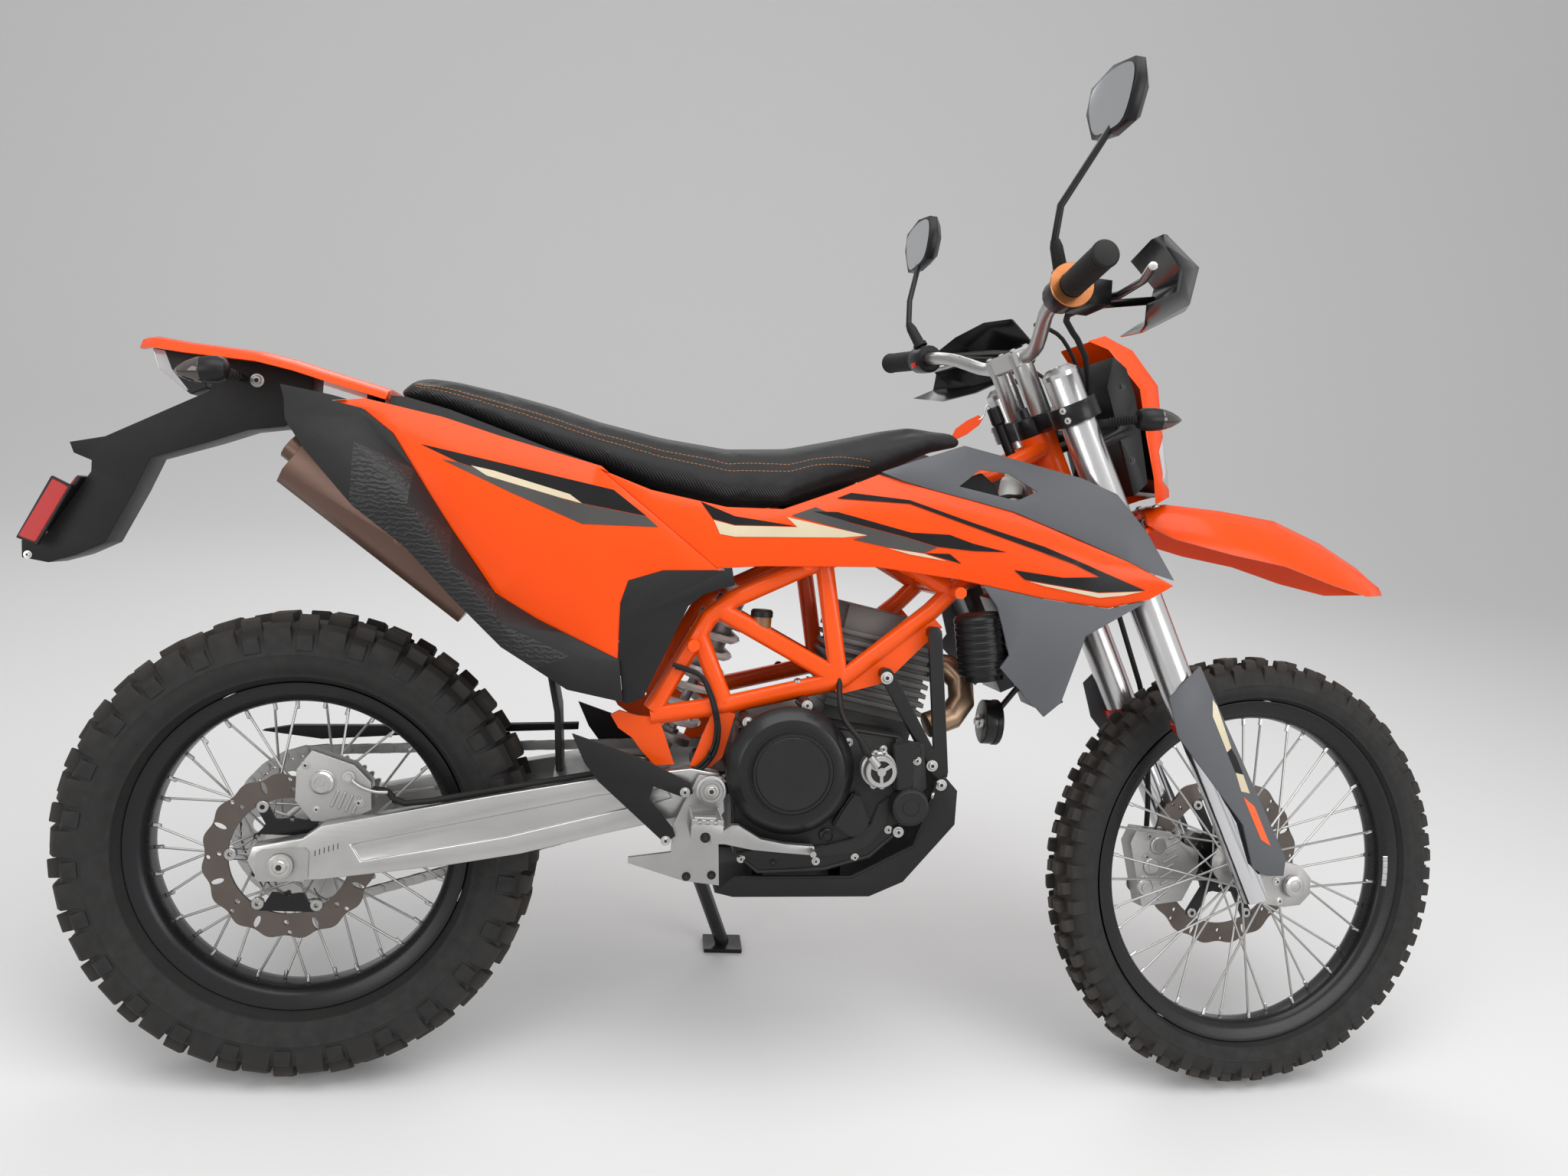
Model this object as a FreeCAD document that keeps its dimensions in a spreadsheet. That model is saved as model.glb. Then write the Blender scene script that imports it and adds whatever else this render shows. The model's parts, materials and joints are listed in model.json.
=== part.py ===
# An enduro dirt bike leaning on its side stand, in millimetres.
# The machine is drawn upright: X forward, Y left, Z up, with the rear axle above the origin.
# What steers is drawn straight ahead, then turned about the steering axis, and at the end
# the whole machine leans over until both tyres and the stand's foot meet the ground.
# Round forms are drawn with narrow flats, so that the machine stays light to handle.
import FreeCAD, Part
import math
import os
from types import SimpleNamespace
from FreeCAD import Placement, Rotation, Vector

SIZES = {
    # Stance
    "wheelbase": 1505, "seat_height": 975, "rake_angle": 26.5, "lean_angle": 13.03,
    "steer_angle": 6.85, "fork_length": 880, "axle_lead": 52, "clamp_offset": 20,
    "fork_spacing": 206,
    # Clearances and the flats of round forms
    "seat_gap": 0.3, "tail_gap": 1.6, "overrun": 5, "flat_length": 9, "fewest_sides": 8, "most_sides": 48,
    # Tyres and rims
    "front_radius": 352, "front_tyre_width": 90, "rear_radius": 345, "rear_tyre_width": 140,
    "front_rim_radius": 281, "front_rim_width": 56, "rear_rim_radius": 242.5,
    "rear_rim_width": 74, "rim_depth": 30, "rim_wall": 4.5, "bead_depth": 15, "bead_gap": 0.6,
    "lug_height": 14, "lug_pitches": 24,
    # Hubs, spokes and discs
    "front_hub_width": 80, "front_hub_radius": 24, "front_flange_radius": 36,
    "rear_hub_width": 96, "rear_hub_radius": 30, "rear_flange_radius": 48,
    "flange_thickness": 5, "spoke_thickness": 3.6, "spoke_end_gap": 0.9,
    "front_disc_radius": 146, "front_disc_place": 62, "rear_disc_radius": 120,
    "rear_disc_place": 82, "disc_thickness": 5, "disc_band": 36, "disc_wave": 5,
    "axle_radius": 10, "front_axle_reach": 128, "rear_axle_reach": 140,
    "axle_head_radius": 17, "axle_head_depth": 9,
    # Chain drive
    "chain_place": 86, "chain_width": 16, "chain_height": 15,
    "chain_pitch": 15.875, "rear_teeth": 48, "front_teeth": 16, "sprocket_thickness": 5.5,
    # Fork
    "upper_tube_radius": 27, "slider_radius": 24, "ring_radius": 30.5, "ring_place": 313,
    "ring_depth": 16, "lug_width": 44, "lug_radius": 34, "fork_guard_wall": 3,
    "upper_clamp_place": 820, "lower_clamp_place": 615, "clamp_depth": 30, "clamp_wall": 11,
    "stem_radius": 17, "fork_cap_radius": 20, "fork_cap_height": 10,
    # Handlebar and what it carries
    "bar_radius": 11, "bar_half_width": 406, "grip_radius": 17, "grip_length": 122,
    "riser_radius": 17, "riser_spacing": 80, "switch_radius": 24, "switch_length": 40,
    "lever_radius": 6, "master_length": 70, "master_width": 34, "handguard_wall": 5,
    "mirror_stem_radius": 5, "mirror_length": 138, "mirror_height": 92, "mirror_depth": 14,
    # Frame
    "tube_radius": 14, "frame_half_width": 105, "head_tube_radius": 29,
    "plate_wall": 8, "boss_radius": 9,
    # Engine
    "case_half_width": 95, "case_left_width": 70, "case_cover_depth": 55, "clutch_radius": 92,
    "clutch_chamfer": 16, "clutch_depth": 28, "clutch_disc_radius": 57, "clutch_disc_depth": 7,
    "filter_radius": 27, "filter_depth": 20, "slave_radius": 22, "slave_depth": 30,
    "alternator_radius": 84, "alternator_depth": 52, "cylinder_width": 150,
    "cylinder_length": 140, "cylinder_height": 156, "fin_gap": 7, "fin_depth": 8,
    "bar_thickness": 9, "bar_width": 20,
    # Bodywork
    "panel_wall": 4, "rear_half_width": 146, "guard_half_width": 190, "shroud_half_width": 172,
    "seat_half_width": 112, "tail_half_width": 98, "tail_thickness": 12, "mask_half_width": 92,
    "light_half_width": 88, "fender_width": 150, "fender_wall": 4,
    "skid_half_width": 140, "skid_wall": 5, "holder_width": 64, "reflector_width": 96,
    # Exhaust and cooling
    "pipe_radius": 20, "silencer_width": 72, "silencer_height": 98, "silencer_place": 97,
    "silencer_corner": 20, "radiator_depth": 34, "radiator_width": 100,
    "radiator_height": 180, "radiator_inner": 50, "radiator_setback": 178,
    "canister_radius": 26, "horn_radius": 34, "horn_depth": 24,
    # Swingarm, shock and brakes
    "arm_inner": 98, "arm_wall": 30, "pivot_radius": 12, "spring_radius": 36, "wire_radius": 6,
    "spring_turns": 6, "shock_radius": 22, "shock_shaft_radius": 8, "collar_depth": 12,
    "caliper_wall": 13, "caliper_gap": 1,
    # Pegs, levers and side stand
    "peg_bracket_place": 142, "peg_bracket_wall": 8, "peg_length": 84, "peg_width": 44,
    "peg_height": 20, "pivot_cap_radius": 21, "pedal_width": 14, "heel_wall": 6,
    "stand_radius": 13, "foot_length": 70, "foot_width": 50, "foot_depth": 8,
    "stand_foot_x": 676, "stand_foot_y": 361, "stand_pivot_x": 572, "stand_pivot_y": 172,
    "stand_pivot_z": 345, "stand_eye_radius": 16, "stand_eye_width": 30, "stand_pin_radius": 6,
    "stand_lug_wall": 8,
    # Hoses
    "hose_radius": 4.5, "hose_bend": 45,
    # Further sizes of single pieces
    "spoke_pairs": 9, "channel_taper": 0.3, "front_lug_length": 20, "rear_lug_length": 24,
    "cross_tube_radius": 11, "upper_tube_length": 567, "bar_place": 130, "bar_bend": 40,
    "ear_radius": 17, "ear_reach": 60, "neck_height": 36, "fin_count": 8,
    "airbox_half_width": 60, "reflector_depth": 6, "indicator_place": 112,
    "indicator_length": 52, "indicator_radius": 15, "indicator_stem_radius": 6,
    "hanger_wall": 8, "radiator_place": 430, "horn_place": 60, "canister_place": 125,
    "canister_length": 90, "pocket_depth": 5, "flap_half_width": 55, "lens_inset": 1,
    "light_stay_place": 760, "light_stay_reach": 110, "light_stay_inset": 30,
    "stay_length": 150, "stay_width": 80, "stay_wall": 8, "tongue_length": 36,
}

# Outline points, as shares of the wheelbase along X and of the seat height along Z.
SHROUD_SHARES = [(0.268, 0.95), (0.316, 0.926), (0.389, 0.909), (0.443, 0.912), (0.494, 0.945),
                 (0.534, 0.974), (0.589, 0.956), (0.666, 0.933), (0.724, 0.903), (0.783, 0.871),
                 (0.832, 0.839), (0.809, 0.816), (0.767, 0.798), (0.701, 0.806), (0.617, 0.826),
                 (0.535, 0.836), (0.429, 0.826), (0.383, 0.818)]
CREST_SHARES = [(0.536, 0.978), (0.571, 1.0), (0.618, 1.028), (0.658, 1.016), (0.736, 0.992),
                (0.771, 0.972), (0.803, 0.913), (0.832, 0.847), (0.783, 0.865), (0.724, 0.897),
                (0.666, 0.926), (0.589, 0.95)]
CREST_WINDOW_SHARES = [(0.612, 0.965), (0.633, 0.993), (0.662, 0.99), (0.69, 0.966),
                       (0.67, 0.95)]
SCOOP_SHARES = [(0.638, 0.825), (0.655, 0.79), (0.67, 0.718), (0.662, 0.699), (0.709, 0.629),
                (0.725, 0.652), (0.744, 0.755), (0.803, 0.81), (0.767, 0.81), (0.701, 0.82)]
REAR_PANEL_SHARES = [(0.021, 1.018), (0.049, 1.01), (0.078, 0.978), (0.102, 0.925), (0.136, 0.85),
                     (0.179, 0.762), (0.219, 0.728), (0.295, 0.677), (0.294, 0.759),
                     (0.3, 0.792), (0.332, 0.81), (0.39, 0.816), (0.268, 0.955),
                     (0.175, 0.986), (0.121, 1.007), (0.049, 1.025)]
GUARD_SHARES = [(-0.027, 1.036), (0.02, 1.026), (0.07, 1.01), (0.1, 0.978), (0.12, 0.925),
                (0.15, 0.85), (0.19, 0.78), (0.24, 0.74), (0.295, 0.69), (0.302, 0.615),
                (0.25, 0.631), (0.189, 0.689), (0.143, 0.755), (0.1, 0.821), (0.053, 0.872),
                (0.007, 0.945), (-0.013, 0.985)]
SIDE_COVER_SHARES = [(0.285, 0.63), (0.285, 0.82), (0.397, 0.822), (0.401, 0.795),
                     (0.372, 0.779), (0.358, 0.76), (0.321, 0.622), (0.306, 0.612)]
SKID_SHARES = [(0.402, 0.336), (0.42, 0.361), (0.535, 0.366), (0.596, 0.417), (0.614, 0.517),
               (0.621, 0.526), (0.635, 0.504), (0.635, 0.452), (0.587, 0.361), (0.554, 0.337),
               (0.42, 0.33)]
SWINGARM_SHARES = [(-0.031, 0.358), (-0.027, 0.379), (0.017, 0.393), (0.033, 0.412),
                   (0.194, 0.468), (0.286, 0.498), (0.372, 0.518), (0.4, 0.512),
                   (0.406, 0.482), (0.399, 0.451), (0.374, 0.448), (0.286, 0.412),
                   (0.216, 0.381), (0.151, 0.361), (0.036, 0.334), (0.005, 0.33),
                   (-0.024, 0.338)]
ARM_POCKET_SHARES = [(0.06, 0.386), (0.194, 0.437), (0.286, 0.472), (0.35, 0.488),
                     (0.355, 0.472), (0.28, 0.44), (0.2, 0.405), (0.07, 0.362)]
BRACE_SHARES = [(0.24, 0.445), (0.24, 0.49), (0.355, 0.49), (0.355, 0.445)]
FLAP_SHARES = [(0.242, 0.4905), (0.248, 0.4905), (0.243, 0.58), (0.232, 0.65), (0.226, 0.65),
               (0.237, 0.58)]
CHAIN_GUARD_SHARES = [(-0.06, 0.506), (-0.03, 0.516), (0.07, 0.523), (0.2, 0.536),
                      (0.26, 0.542), (0.26, 0.532), (0.1, 0.512), (0.0, 0.497)]
HEEL_SHARES = [(0.257, 0.567), (0.322, 0.536), (0.371, 0.502), (0.374, 0.487), (0.364, 0.481),
               (0.336, 0.495), (0.333, 0.476), (0.357, 0.434), (0.36, 0.423), (0.35, 0.412),
               (0.284, 0.499), (0.27, 0.526)]
PEG_BRACKET_SHARES = [(0.379, 0.514), (0.401, 0.512), (0.405, 0.461), (0.4, 0.448), (0.405, 0.35),
                      (0.371, 0.355), (0.317, 0.379), (0.317, 0.387), (0.357, 0.397),
                      (0.357, 0.437), (0.369, 0.48)]
PEDAL_SHARES = [(0.393, 0.432), (0.403, 0.436), (0.412, 0.446), (0.418, 0.446), (0.44, 0.427),
                (0.464, 0.421), (0.492, 0.419), (0.493, 0.406), (0.464, 0.408), (0.433, 0.411),
                (0.406, 0.418), (0.393, 0.417)]
GEAR_LEVER_SHARES = [(0.438, 0.415), (0.455, 0.43), (0.52, 0.456), (0.52, 0.444), (0.462, 0.415),
                     (0.456, 0.397), (0.44, 0.396)]
HOLDER_SHARES = [(-0.039, 1.08), (-0.095, 1.09), (-0.103, 1.024), (-0.194, 0.946),
                 (-0.225, 0.934), (-0.221, 0.919), (-0.205, 0.91), (-0.205, 0.894),
                 (-0.245, 0.792), (-0.263, 0.788), (-0.262, 0.763), (-0.239, 0.758),
                 (-0.215, 0.771), (-0.19, 0.792), (-0.166, 0.871), (-0.153, 0.92),
                 (-0.1, 0.95), (-0.067, 0.971), (-0.033, 0.981), (-0.01, 1.02), (-0.01, 1.06)]
REFLECTOR_EDGE_SHARES = [(-0.209, 0.884), (-0.241, 0.802)]
LAMP_SHARES = [(-0.157, 1.09), (-0.118, 1.09), (-0.107, 1.028), (-0.122, 1.017), (-0.151, 1.051)]
CASE_SHARES = [(0.412, 0.587), (0.41, 0.515), (0.413, 0.425), (0.417, 0.398), (0.441, 0.371),
               (0.506, 0.379), (0.55, 0.4), (0.573, 0.433), (0.599, 0.504), (0.593, 0.559),
               (0.571, 0.585), (0.527, 0.592), (0.465, 0.606)]
PUMP_SHARES = [(0.566, 0.583), (0.594, 0.577), (0.6, 0.51), (0.59, 0.5), (0.567, 0.51)]
TANK_SHARES = [(0.03, 0.998), (0.09, 0.93), (0.2, 0.78), (0.25, 0.74), (0.262, 0.735),
               (0.262, 1.1), (0.075, 1.1), (0.07, 1.0)]
AIRBOX_SHARES = [(0.25, 0.84), (0.25, 1.1), (0.52, 1.1), (0.52, 0.86), (0.5, 0.84)]
GUSSET_SHARES = [(0.506, 0.648), (0.512, 0.638), (0.552, 0.657), (0.563, 0.668), (0.612, 0.75),
                 (0.604, 0.762)]
REAR_PLATE_SHARES = [(0.292, 0.59), (0.3, 0.571), (0.314, 0.557), (0.322, 0.541), (0.337, 0.518),
                     (0.356, 0.52), (0.338, 0.59), (0.318, 0.59), (0.3, 0.597)]
FRONT_PLATE_SHARES = [(0.392, 0.609), (0.412, 0.6), (0.402, 0.534), (0.391, 0.518),
                      (0.371, 0.519), (0.384, 0.576)]
BRACKET_BAR_SHARES = [[(0.556, 0.675), (0.613, 0.535)], [(0.601, 0.742), (0.618, 0.529)]]
SILENCER_SHARES = [(0.163, 0.755), (-0.006, 0.94)]
HEADER_SHARES = [(0.6165, 0.682), (0.636, 0.68), (0.648, 0.662), (0.648, 0.63), (0.636, 0.607),
                 (0.61, 0.592)]
# How far out the header pipe runs at each of those points, as shares of the frame's half width.
HEADER_SIDE_SHARES = [0.2, 0.28, 0.42, 0.56, 0.66, 0.72]
# Places of single things on the machine, in the same shares.
PLACE_SHARES = {
    "pivot": (0.391, 0.492), "clutch": (0.465, 0.528), "slave": (0.55, 0.537),
    "filter": (0.584, 0.482), "alternator": (0.54, 0.476), "front_sprocket": (0.433, 0.482),
    "cylinder": (0.548, 0.59), "shock_foot": (0.342, 0.505), "shock_head": (0.411, 0.766),
    "peg": (0.385, 0.451), "rear_indicator": (-0.074, 1.046), "front_boss": (0.47, 0.833),
    "rear_boss": (0.3, 0.86), "canister_low": (0.655, 0.684), "canister_high": (0.645, 0.775),
    "horn": (0.671, 0.6), "gear_shaft": (0.447, 0.406),
}
# Frame tubes of one side, as runs of points, and how far out each point lies as a share of
# the frame's half width.
FRAME_SHARES = [
    [(0.33, 0.59, 1), (0.403, 0.613, 1), (0.516, 0.66, 1), (0.6, 0.773, 1), (0.62, 0.806, 1)],
    [(0.331, 0.6, 1), (0.366, 0.702, 1), (0.38, 0.743, 1), (0.402, 0.772, 1), (0.469, 0.826, 1),
     (0.54, 0.868, 0.85)],
    [(0.372, 0.715, 1), (0.4, 0.617, 1)],
    [(0.39, 0.755, 1), (0.51, 0.664, 1)],
    [(0.489, 0.838, 1), (0.512, 0.664, 1)],
    [(0.62, 0.806, 1), (0.66, 0.865, 0.9), (0.7544, 0.9376, 0.2)],
    [(0.54, 0.868, 0.85), (0.62, 0.96, 0.6), (0.7212, 1.0404, 0.2)],
    [(0.54, 0.868, 0.85), (0.62, 0.806, 1)],
]
CROSS_SHARES = [(0.411, 0.779), (0.54, 0.868), (0.62, 0.806)]

# Bulged panels: stations along the wheelbase, each with points of height and half width.
SHROUD_STATIONS = [
    (0.25, [(0.98, 0.66), (0.9, 0.74), (0.78, 0.8)]),
    (0.38, [(0.96, 0.68), (0.87, 0.78), (0.78, 0.82)]),
    (0.5, [(0.98, 0.72), (0.9, 0.84), (0.78, 0.88)]),
    (0.62, [(0.98, 0.82), (0.9, 0.93), (0.78, 0.93)]),
    (0.74, [(0.94, 0.9), (0.86, 1.0), (0.77, 0.97)]),
    (0.86, [(0.88, 0.98), (0.83, 1.0), (0.77, 0.98)]),
]
CREST_STATIONS = [
    (0.51, [(0.92, 0.82), (0.97, 0.78), (1.05, 0.66)]),
    (0.62, [(0.9, 0.93), (0.97, 0.84), (1.05, 0.68)]),
    (0.7, [(0.88, 0.97), (0.95, 0.9), (1.04, 0.74)]),
    (0.78, [(0.84, 1.0), (0.93, 0.96), (1.01, 0.81)]),
    (0.86, [(0.8, 1.0), (0.88, 0.98), (0.97, 0.88)]),
]
SCOOP_STATIONS = [
    (0.62, [(0.85, 0.93), (0.77, 0.96), (0.61, 0.96)]),
    (0.68, [(0.85, 0.95), (0.76, 1.0), (0.61, 1.0)]),
    (0.74, [(0.84, 0.97), (0.76, 1.04), (0.61, 1.02)]),
    (0.83, [(0.84, 0.98), (0.77, 1.04), (0.61, 1.03)]),
]
REAR_STATIONS = [
    (0.0, [(1.05, 0.74), (1.01, 0.8), (0.95, 0.9)]),
    (0.08, [(1.04, 0.76), (0.99, 0.88), (0.88, 1.0)]),
    (0.16, [(1.02, 0.78), (0.92, 0.95), (0.74, 1.0)]),
    (0.26, [(0.98, 0.79), (0.86, 0.96), (0.66, 1.0)]),
    (0.34, [(0.96, 0.8), (0.84, 0.95), (0.64, 0.985)]),
    (0.41, [(0.96, 0.8), (0.84, 0.93), (0.64, 0.96)]),
]
GUARD_STATIONS = [
    (-0.04, [(1.06, 0.5), (1.02, 0.6), (0.99, 0.8), (0.92, 0.88)]),
    (0.05, [(1.03, 0.62), (1.0, 0.7), (0.96, 0.94), (0.84, 1.0)]),
    (0.1, [(0.98, 0.72), (0.93, 0.76), (0.88, 0.99), (0.76, 1.0)]),
    (0.14, [(0.87, 0.76), (0.845, 0.77), (0.8, 0.99), (0.7, 0.99)]),
    (0.19, [(0.78, 0.765), (0.755, 0.77), (0.72, 0.97), (0.64, 0.96)]),
    (0.25, [(0.74, 0.765), (0.71, 0.77), (0.68, 0.86), (0.6, 0.86)]),
    (0.31, [(0.7, 0.76), (0.67, 0.765), (0.65, 0.775), (0.59, 0.775)]),
]
SIDE_COVER_STATIONS = [
    (0.28, [(0.84, 0.96), (0.72, 1.0), (0.59, 1.0)]),
    (0.42, [(0.84, 0.94), (0.72, 0.95), (0.59, 0.95)]),
]
# The seat: place, top, lower edge and half width of each station.
SEAT_STATIONS = [
    (0.07, 1.05, 1.036, 0.62), (0.084, 1.07, 1.033, 0.8), (0.125, 1.065, 1.02, 0.93),
    (0.176, 1.053, 0.996, 0.98), (0.22, 1.04, 0.975, 1.0), (0.264, 1.023, 0.957, 1.0),
    (0.325, 1.007, 0.93, 1.0), (0.389, 0.998, 0.911, 1.0), (0.449, 1.006, 0.914, 0.97),
    (0.494, 1.024, 0.947, 0.86), (0.546, 1.046, 0.98, 0.74), (0.598, 1.063, 1.022, 0.6),
    (0.622, 1.062, 1.032, 0.5), (0.632, 1.05, 1.037, 0.42),
]
SEAT_SECTION_SHARES = [(-0.92, 0.0), (-1.0, 0.3), (-0.96, 0.62), (-0.78, 0.88), (-0.4, 0.985),
                       (0.0, 1.0), (0.4, 0.985), (0.78, 0.88), (0.96, 0.62), (1.0, 0.3),
                       (0.92, 0.0)]
TAIL_STATIONS = [(-0.162, 1.094, 0.55), (-0.15, 1.096, 0.72), (-0.118, 1.091, 0.82),
                 (-0.052, 1.086, 0.95), (-0.019, 1.077, 1.0), (0.013, 1.065, 1.0),
                 (0.065, 1.047, 0.95)]
TAIL_SECTION_SHARES = [(-1.0, -1.6), (-0.8, -0.15), (-0.35, 0.0), (0.35, 0.0), (0.8, -0.15),
                       (1.0, -1.6)]

# The direction of the stand's leg when it is folded.
STAND_FOLDED_SHARES = (-0.97, 0.12, 0.2)

# Pieces that steer: shares of the fork length, counted from the front axle.
FENDER_STATIONS = [(-0.276, 0.657, 0.63, 0.6), (-0.233, 0.672, 0.607, 0.88),
                   (-0.119, 0.668, 0.586, 1.0), (-0.006, 0.658, 0.572, 1.0),
                   (0.099, 0.623, 0.545, 0.92), (0.19, 0.582, 0.528, 0.74),
                   (0.24, 0.555, 0.532, 0.45), (0.2625, 0.543, 0.534, 0.18)]
MASK_STATIONS = [(-0.365, 0.97, -0.414, 0.95, 0.5), (-0.31, 0.944, -0.385, 0.933, 0.72),
                 (-0.267, 0.884, -0.332, 0.865, 0.95), (-0.256, 0.802, -0.317, 0.782, 1.0),
                 (-0.236, 0.735, -0.29, 0.712, 0.88), (-0.222, 0.69, -0.27, 0.668, 0.66)]
LENS_SHARES = [(-0.7, 0.71), (-0.78, 0.76), (-0.6, 0.81), (0.6, 0.81), (0.78, 0.76),
               (0.7, 0.71), (0.35, 0.69), (-0.35, 0.69)]
LIGHT_SHARES = [(-0.391, 0.915), (-0.365, 0.897), (-0.345, 0.852), (-0.33, 0.79),
                (-0.31, 0.7), (-0.335, 0.675), (-0.40, 0.861)]
HANDGUARD_STATIONS = [
    (0.5, [(-0.437, 1.043), (-0.392, 1.003), (-0.403, 0.952), (-0.449, 0.918)]),
    (0.7, [(-0.455, 1.052), (-0.383, 1.009), (-0.394, 0.947), (-0.466, 0.905)]),
    (0.88, [(-0.483, 1.034), (-0.426, 0.992), (-0.438, 0.935), (-0.506, 0.895)]),
    (1.03, [(-0.52, 0.992), (-0.495, 0.964), (-0.5, 0.93), (-0.545, 0.907)]),
]
FORK_GUARD_SHARES = [(-0.255, 0.261), (-0.276, 0.327), (-0.219, 0.385), (-0.193, 0.339),
                     (-0.025, 0.051), (-0.028, 0.02), (-0.062, 0.02), (-0.091, 0.033),
                     (-0.116, 0.11)]
LUG_SHARES = [(-1.9, 0.7), (-1.3, 1.25), (-0.5, 1.1), (0.45, 0.9), (1.0, 0.35), (1.0, -0.4),
              (0.5, -0.9), (-0.4, -1.0), (-1.6, -0.8)]
BAR_SHARES = [(-0.611, 0.975, 1.0), (-0.585, 0.95, 0.5), (-0.565, 0.935, 0.38),
              (-0.545, 0.911, 0.25), (-0.54, 0.905, 0.16)]
LEVER_SHARES = [(-0.53, 0.957, 0.6), (-0.505, 0.962, 0.68), (-0.512, 0.965, 0.86),
                (-0.535, 0.967, 1.0)]
MIRROR_STEM_SHARES = [(-0.6, 0.98, 0.66), (-0.624, 1.03, 0.7), (-0.622, 1.08, 0.72),
                      (-0.58, 1.175, 0.8)]
MIRROR_HEAD_SHARES = [(-0.6, -0.9), (-0.95, 0.1), (-0.85, 0.75), (0.0, 1.0), (0.85, 0.8),
                      (1.0, 0.1), (0.7, -0.8), (0.0, -1.0)]
CALIPER_SHARES = [(-0.209, 0.032), (-0.195, 0.062), (-0.125, 0.055), (-0.09, 0.03),
                  (-0.06, 0.02), (-0.06, -0.02), (-0.091, -0.078), (-0.177, -0.089)]
REAR_CALIPER_SHARES = [(0.004, 0.485), (0.017, 0.514), (0.056, 0.495), (0.072, 0.471),
                       (0.074, 0.43), (0.051, 0.41), (0.02, 0.41), (0.004, 0.44)]
INDICATOR_SHARES = [(-0.43, 0.79, 0.95), (-0.37, 0.8, 1.25), (-0.33, 0.803, 1.32),
                    (-0.289, 0.805, 1.3)]
TAIL_POST_SHARES = (0.045, 0.985)
FOOT_SHARES = (0.45, 0.53)
HANGER_SHARES = [(0.095, 0.83), (0.135, 0.79), (0.2, 0.83), (0.16, 0.9)]
GUARD_TAB_SHARES = [(0.16, 0.44), (0.16, 0.53), (0.185, 0.532), (0.185, 0.44)]
PEDAL_HINGE_SHARES = (0.399, 0.425)
GUARD_FOOT_SHARES = (-0.05, 0.03)
MIRROR_PLACE_SHARES = [(-0.568, 1.236), (-0.6, 1.208)]
# Hoses, as places with a third share that counts sideways.
FRONT_HOSE_SHARES = [(-0.549, 0.9426, -1.0956), (-0.549, 0.9426, -0.9), (-0.46, 0.907, -0.58),
                     (-0.401, 0.793, -0.19), (-0.381, 0.714, 0.19), (-0.333, 0.649, 0.3),
                     (-0.29, 0.5666, 0.34), (-0.177, 0.288, 0.34), (-0.1594, 0.115, 0.36),
                     (-0.1594, 0.0599, 0.36)]
REAR_HOSE_SHARES = [(0.33, 0.518, 1.05), (0.286, 0.50315, 1.0), (0.194, 0.47315, 1.0), (0.1, 0.4405, 1.0),
                    (0.088, 0.4576, 0.78), (0.0732, 0.4576, 0.74)]
# The cylinder leans ahead.
LEAN_AHEAD_SHARES = (0.174, 0.0, 0.985)


def make_sheet(document):
    sheet = document.addObject("Spreadsheet::Sheet", "Sizes")
    for row, (name, value) in enumerate(SIZES.items(), start=1):
        sheet.set(f"A{row}", name)
        sheet.set(f"B{row}", str(value))
        sheet.setAlias(f"B{row}", name)
    document.recompute()
    return sheet


DOC = FreeCAD.newDocument("EnduroBike")
SHEET = make_sheet(DOC)
S = SimpleNamespace(**{name: float(SHEET.get(name)) for name in SIZES})
NODES = {}

RAKE = math.radians(S.rake_angle)
AX = Vector(-math.sin(RAKE), 0, math.cos(RAKE))
PERP = Vector(math.cos(RAKE), 0, math.sin(RAKE))
AHEAD = Vector(1, 0, 0)
SIDE = Vector(0, 1, 0)
UP = Vector(0, 0, 1)
REAR_AXLE = UP * S.rear_radius
FRONT_AXLE = AHEAD * S.wheelbase + UP * S.front_radius
STEER_POINT = FRONT_AXLE - PERP * (S.axle_lead + S.clamp_offset)
LEG_Y = S.fork_spacing / 2
FAR = S.wheelbase
LEAN_AHEAD = Vector(*LEAN_AHEAD_SHARES).normalize()


def body_at(shares, y=0.0):
    return Vector(S.wheelbase * shares[0], y, S.seat_height * shares[1])


def place(name, y=0.0):
    return body_at(PLACE_SHARES[name], y)


def fork_at(shares, y=0.0):
    return FRONT_AXLE + Vector(S.fork_length * shares[0], y, S.fork_length * shares[1])


def on_leg(along, y=0.0, ahead=0.0):
    """A point on the fork leg's line, counted up from the axle."""
    return FRONT_AXLE + AX * along + PERP * (ahead - S.axle_lead) + SIDE * y


def at_y(point, y):
    return Vector(point.x, y, point.z)


def between(start, end, share):
    return start + (end - start) * share


def mirrored(shape):
    """The same piece on the machine's other side."""
    return shape.mirror(Vector(0, 0, 0), SIDE)


def both_sides(shape):
    return Part.makeCompound([shape, mirrored(shape)])


def fuse(shapes):
    return shapes[0].multiFuse(shapes[1:])


def polygon(points):
    return Part.makePolygon(list(points) + [points[0]])


def plate(points, y_from, y_to):
    """An outline in the XZ plane, thick from one Y to the other."""
    face = Part.Face(polygon([at_y(p, y_from) for p in points]))
    return face.extrude(SIDE * (y_to - y_from))


def outline_plate(shares, y_from, y_to):
    return plate([body_at(p) for p in shares], y_from, y_to)


def grown(shares, y_from, y_to):
    """The same plate, larger all round by the gap that seated pieces keep."""
    face = Part.Face(polygon([body_at(p, y_from) for p in shares]))
    return face.makeOffset2D(S.seat_gap, join=2).extrude(SIDE * (y_to - y_from))


def sides_for(radius):
    pairs = round(math.pi * radius / S.flat_length)
    return int(max(S.fewest_sides, min(S.most_sides, 2 * pairs)))


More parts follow.
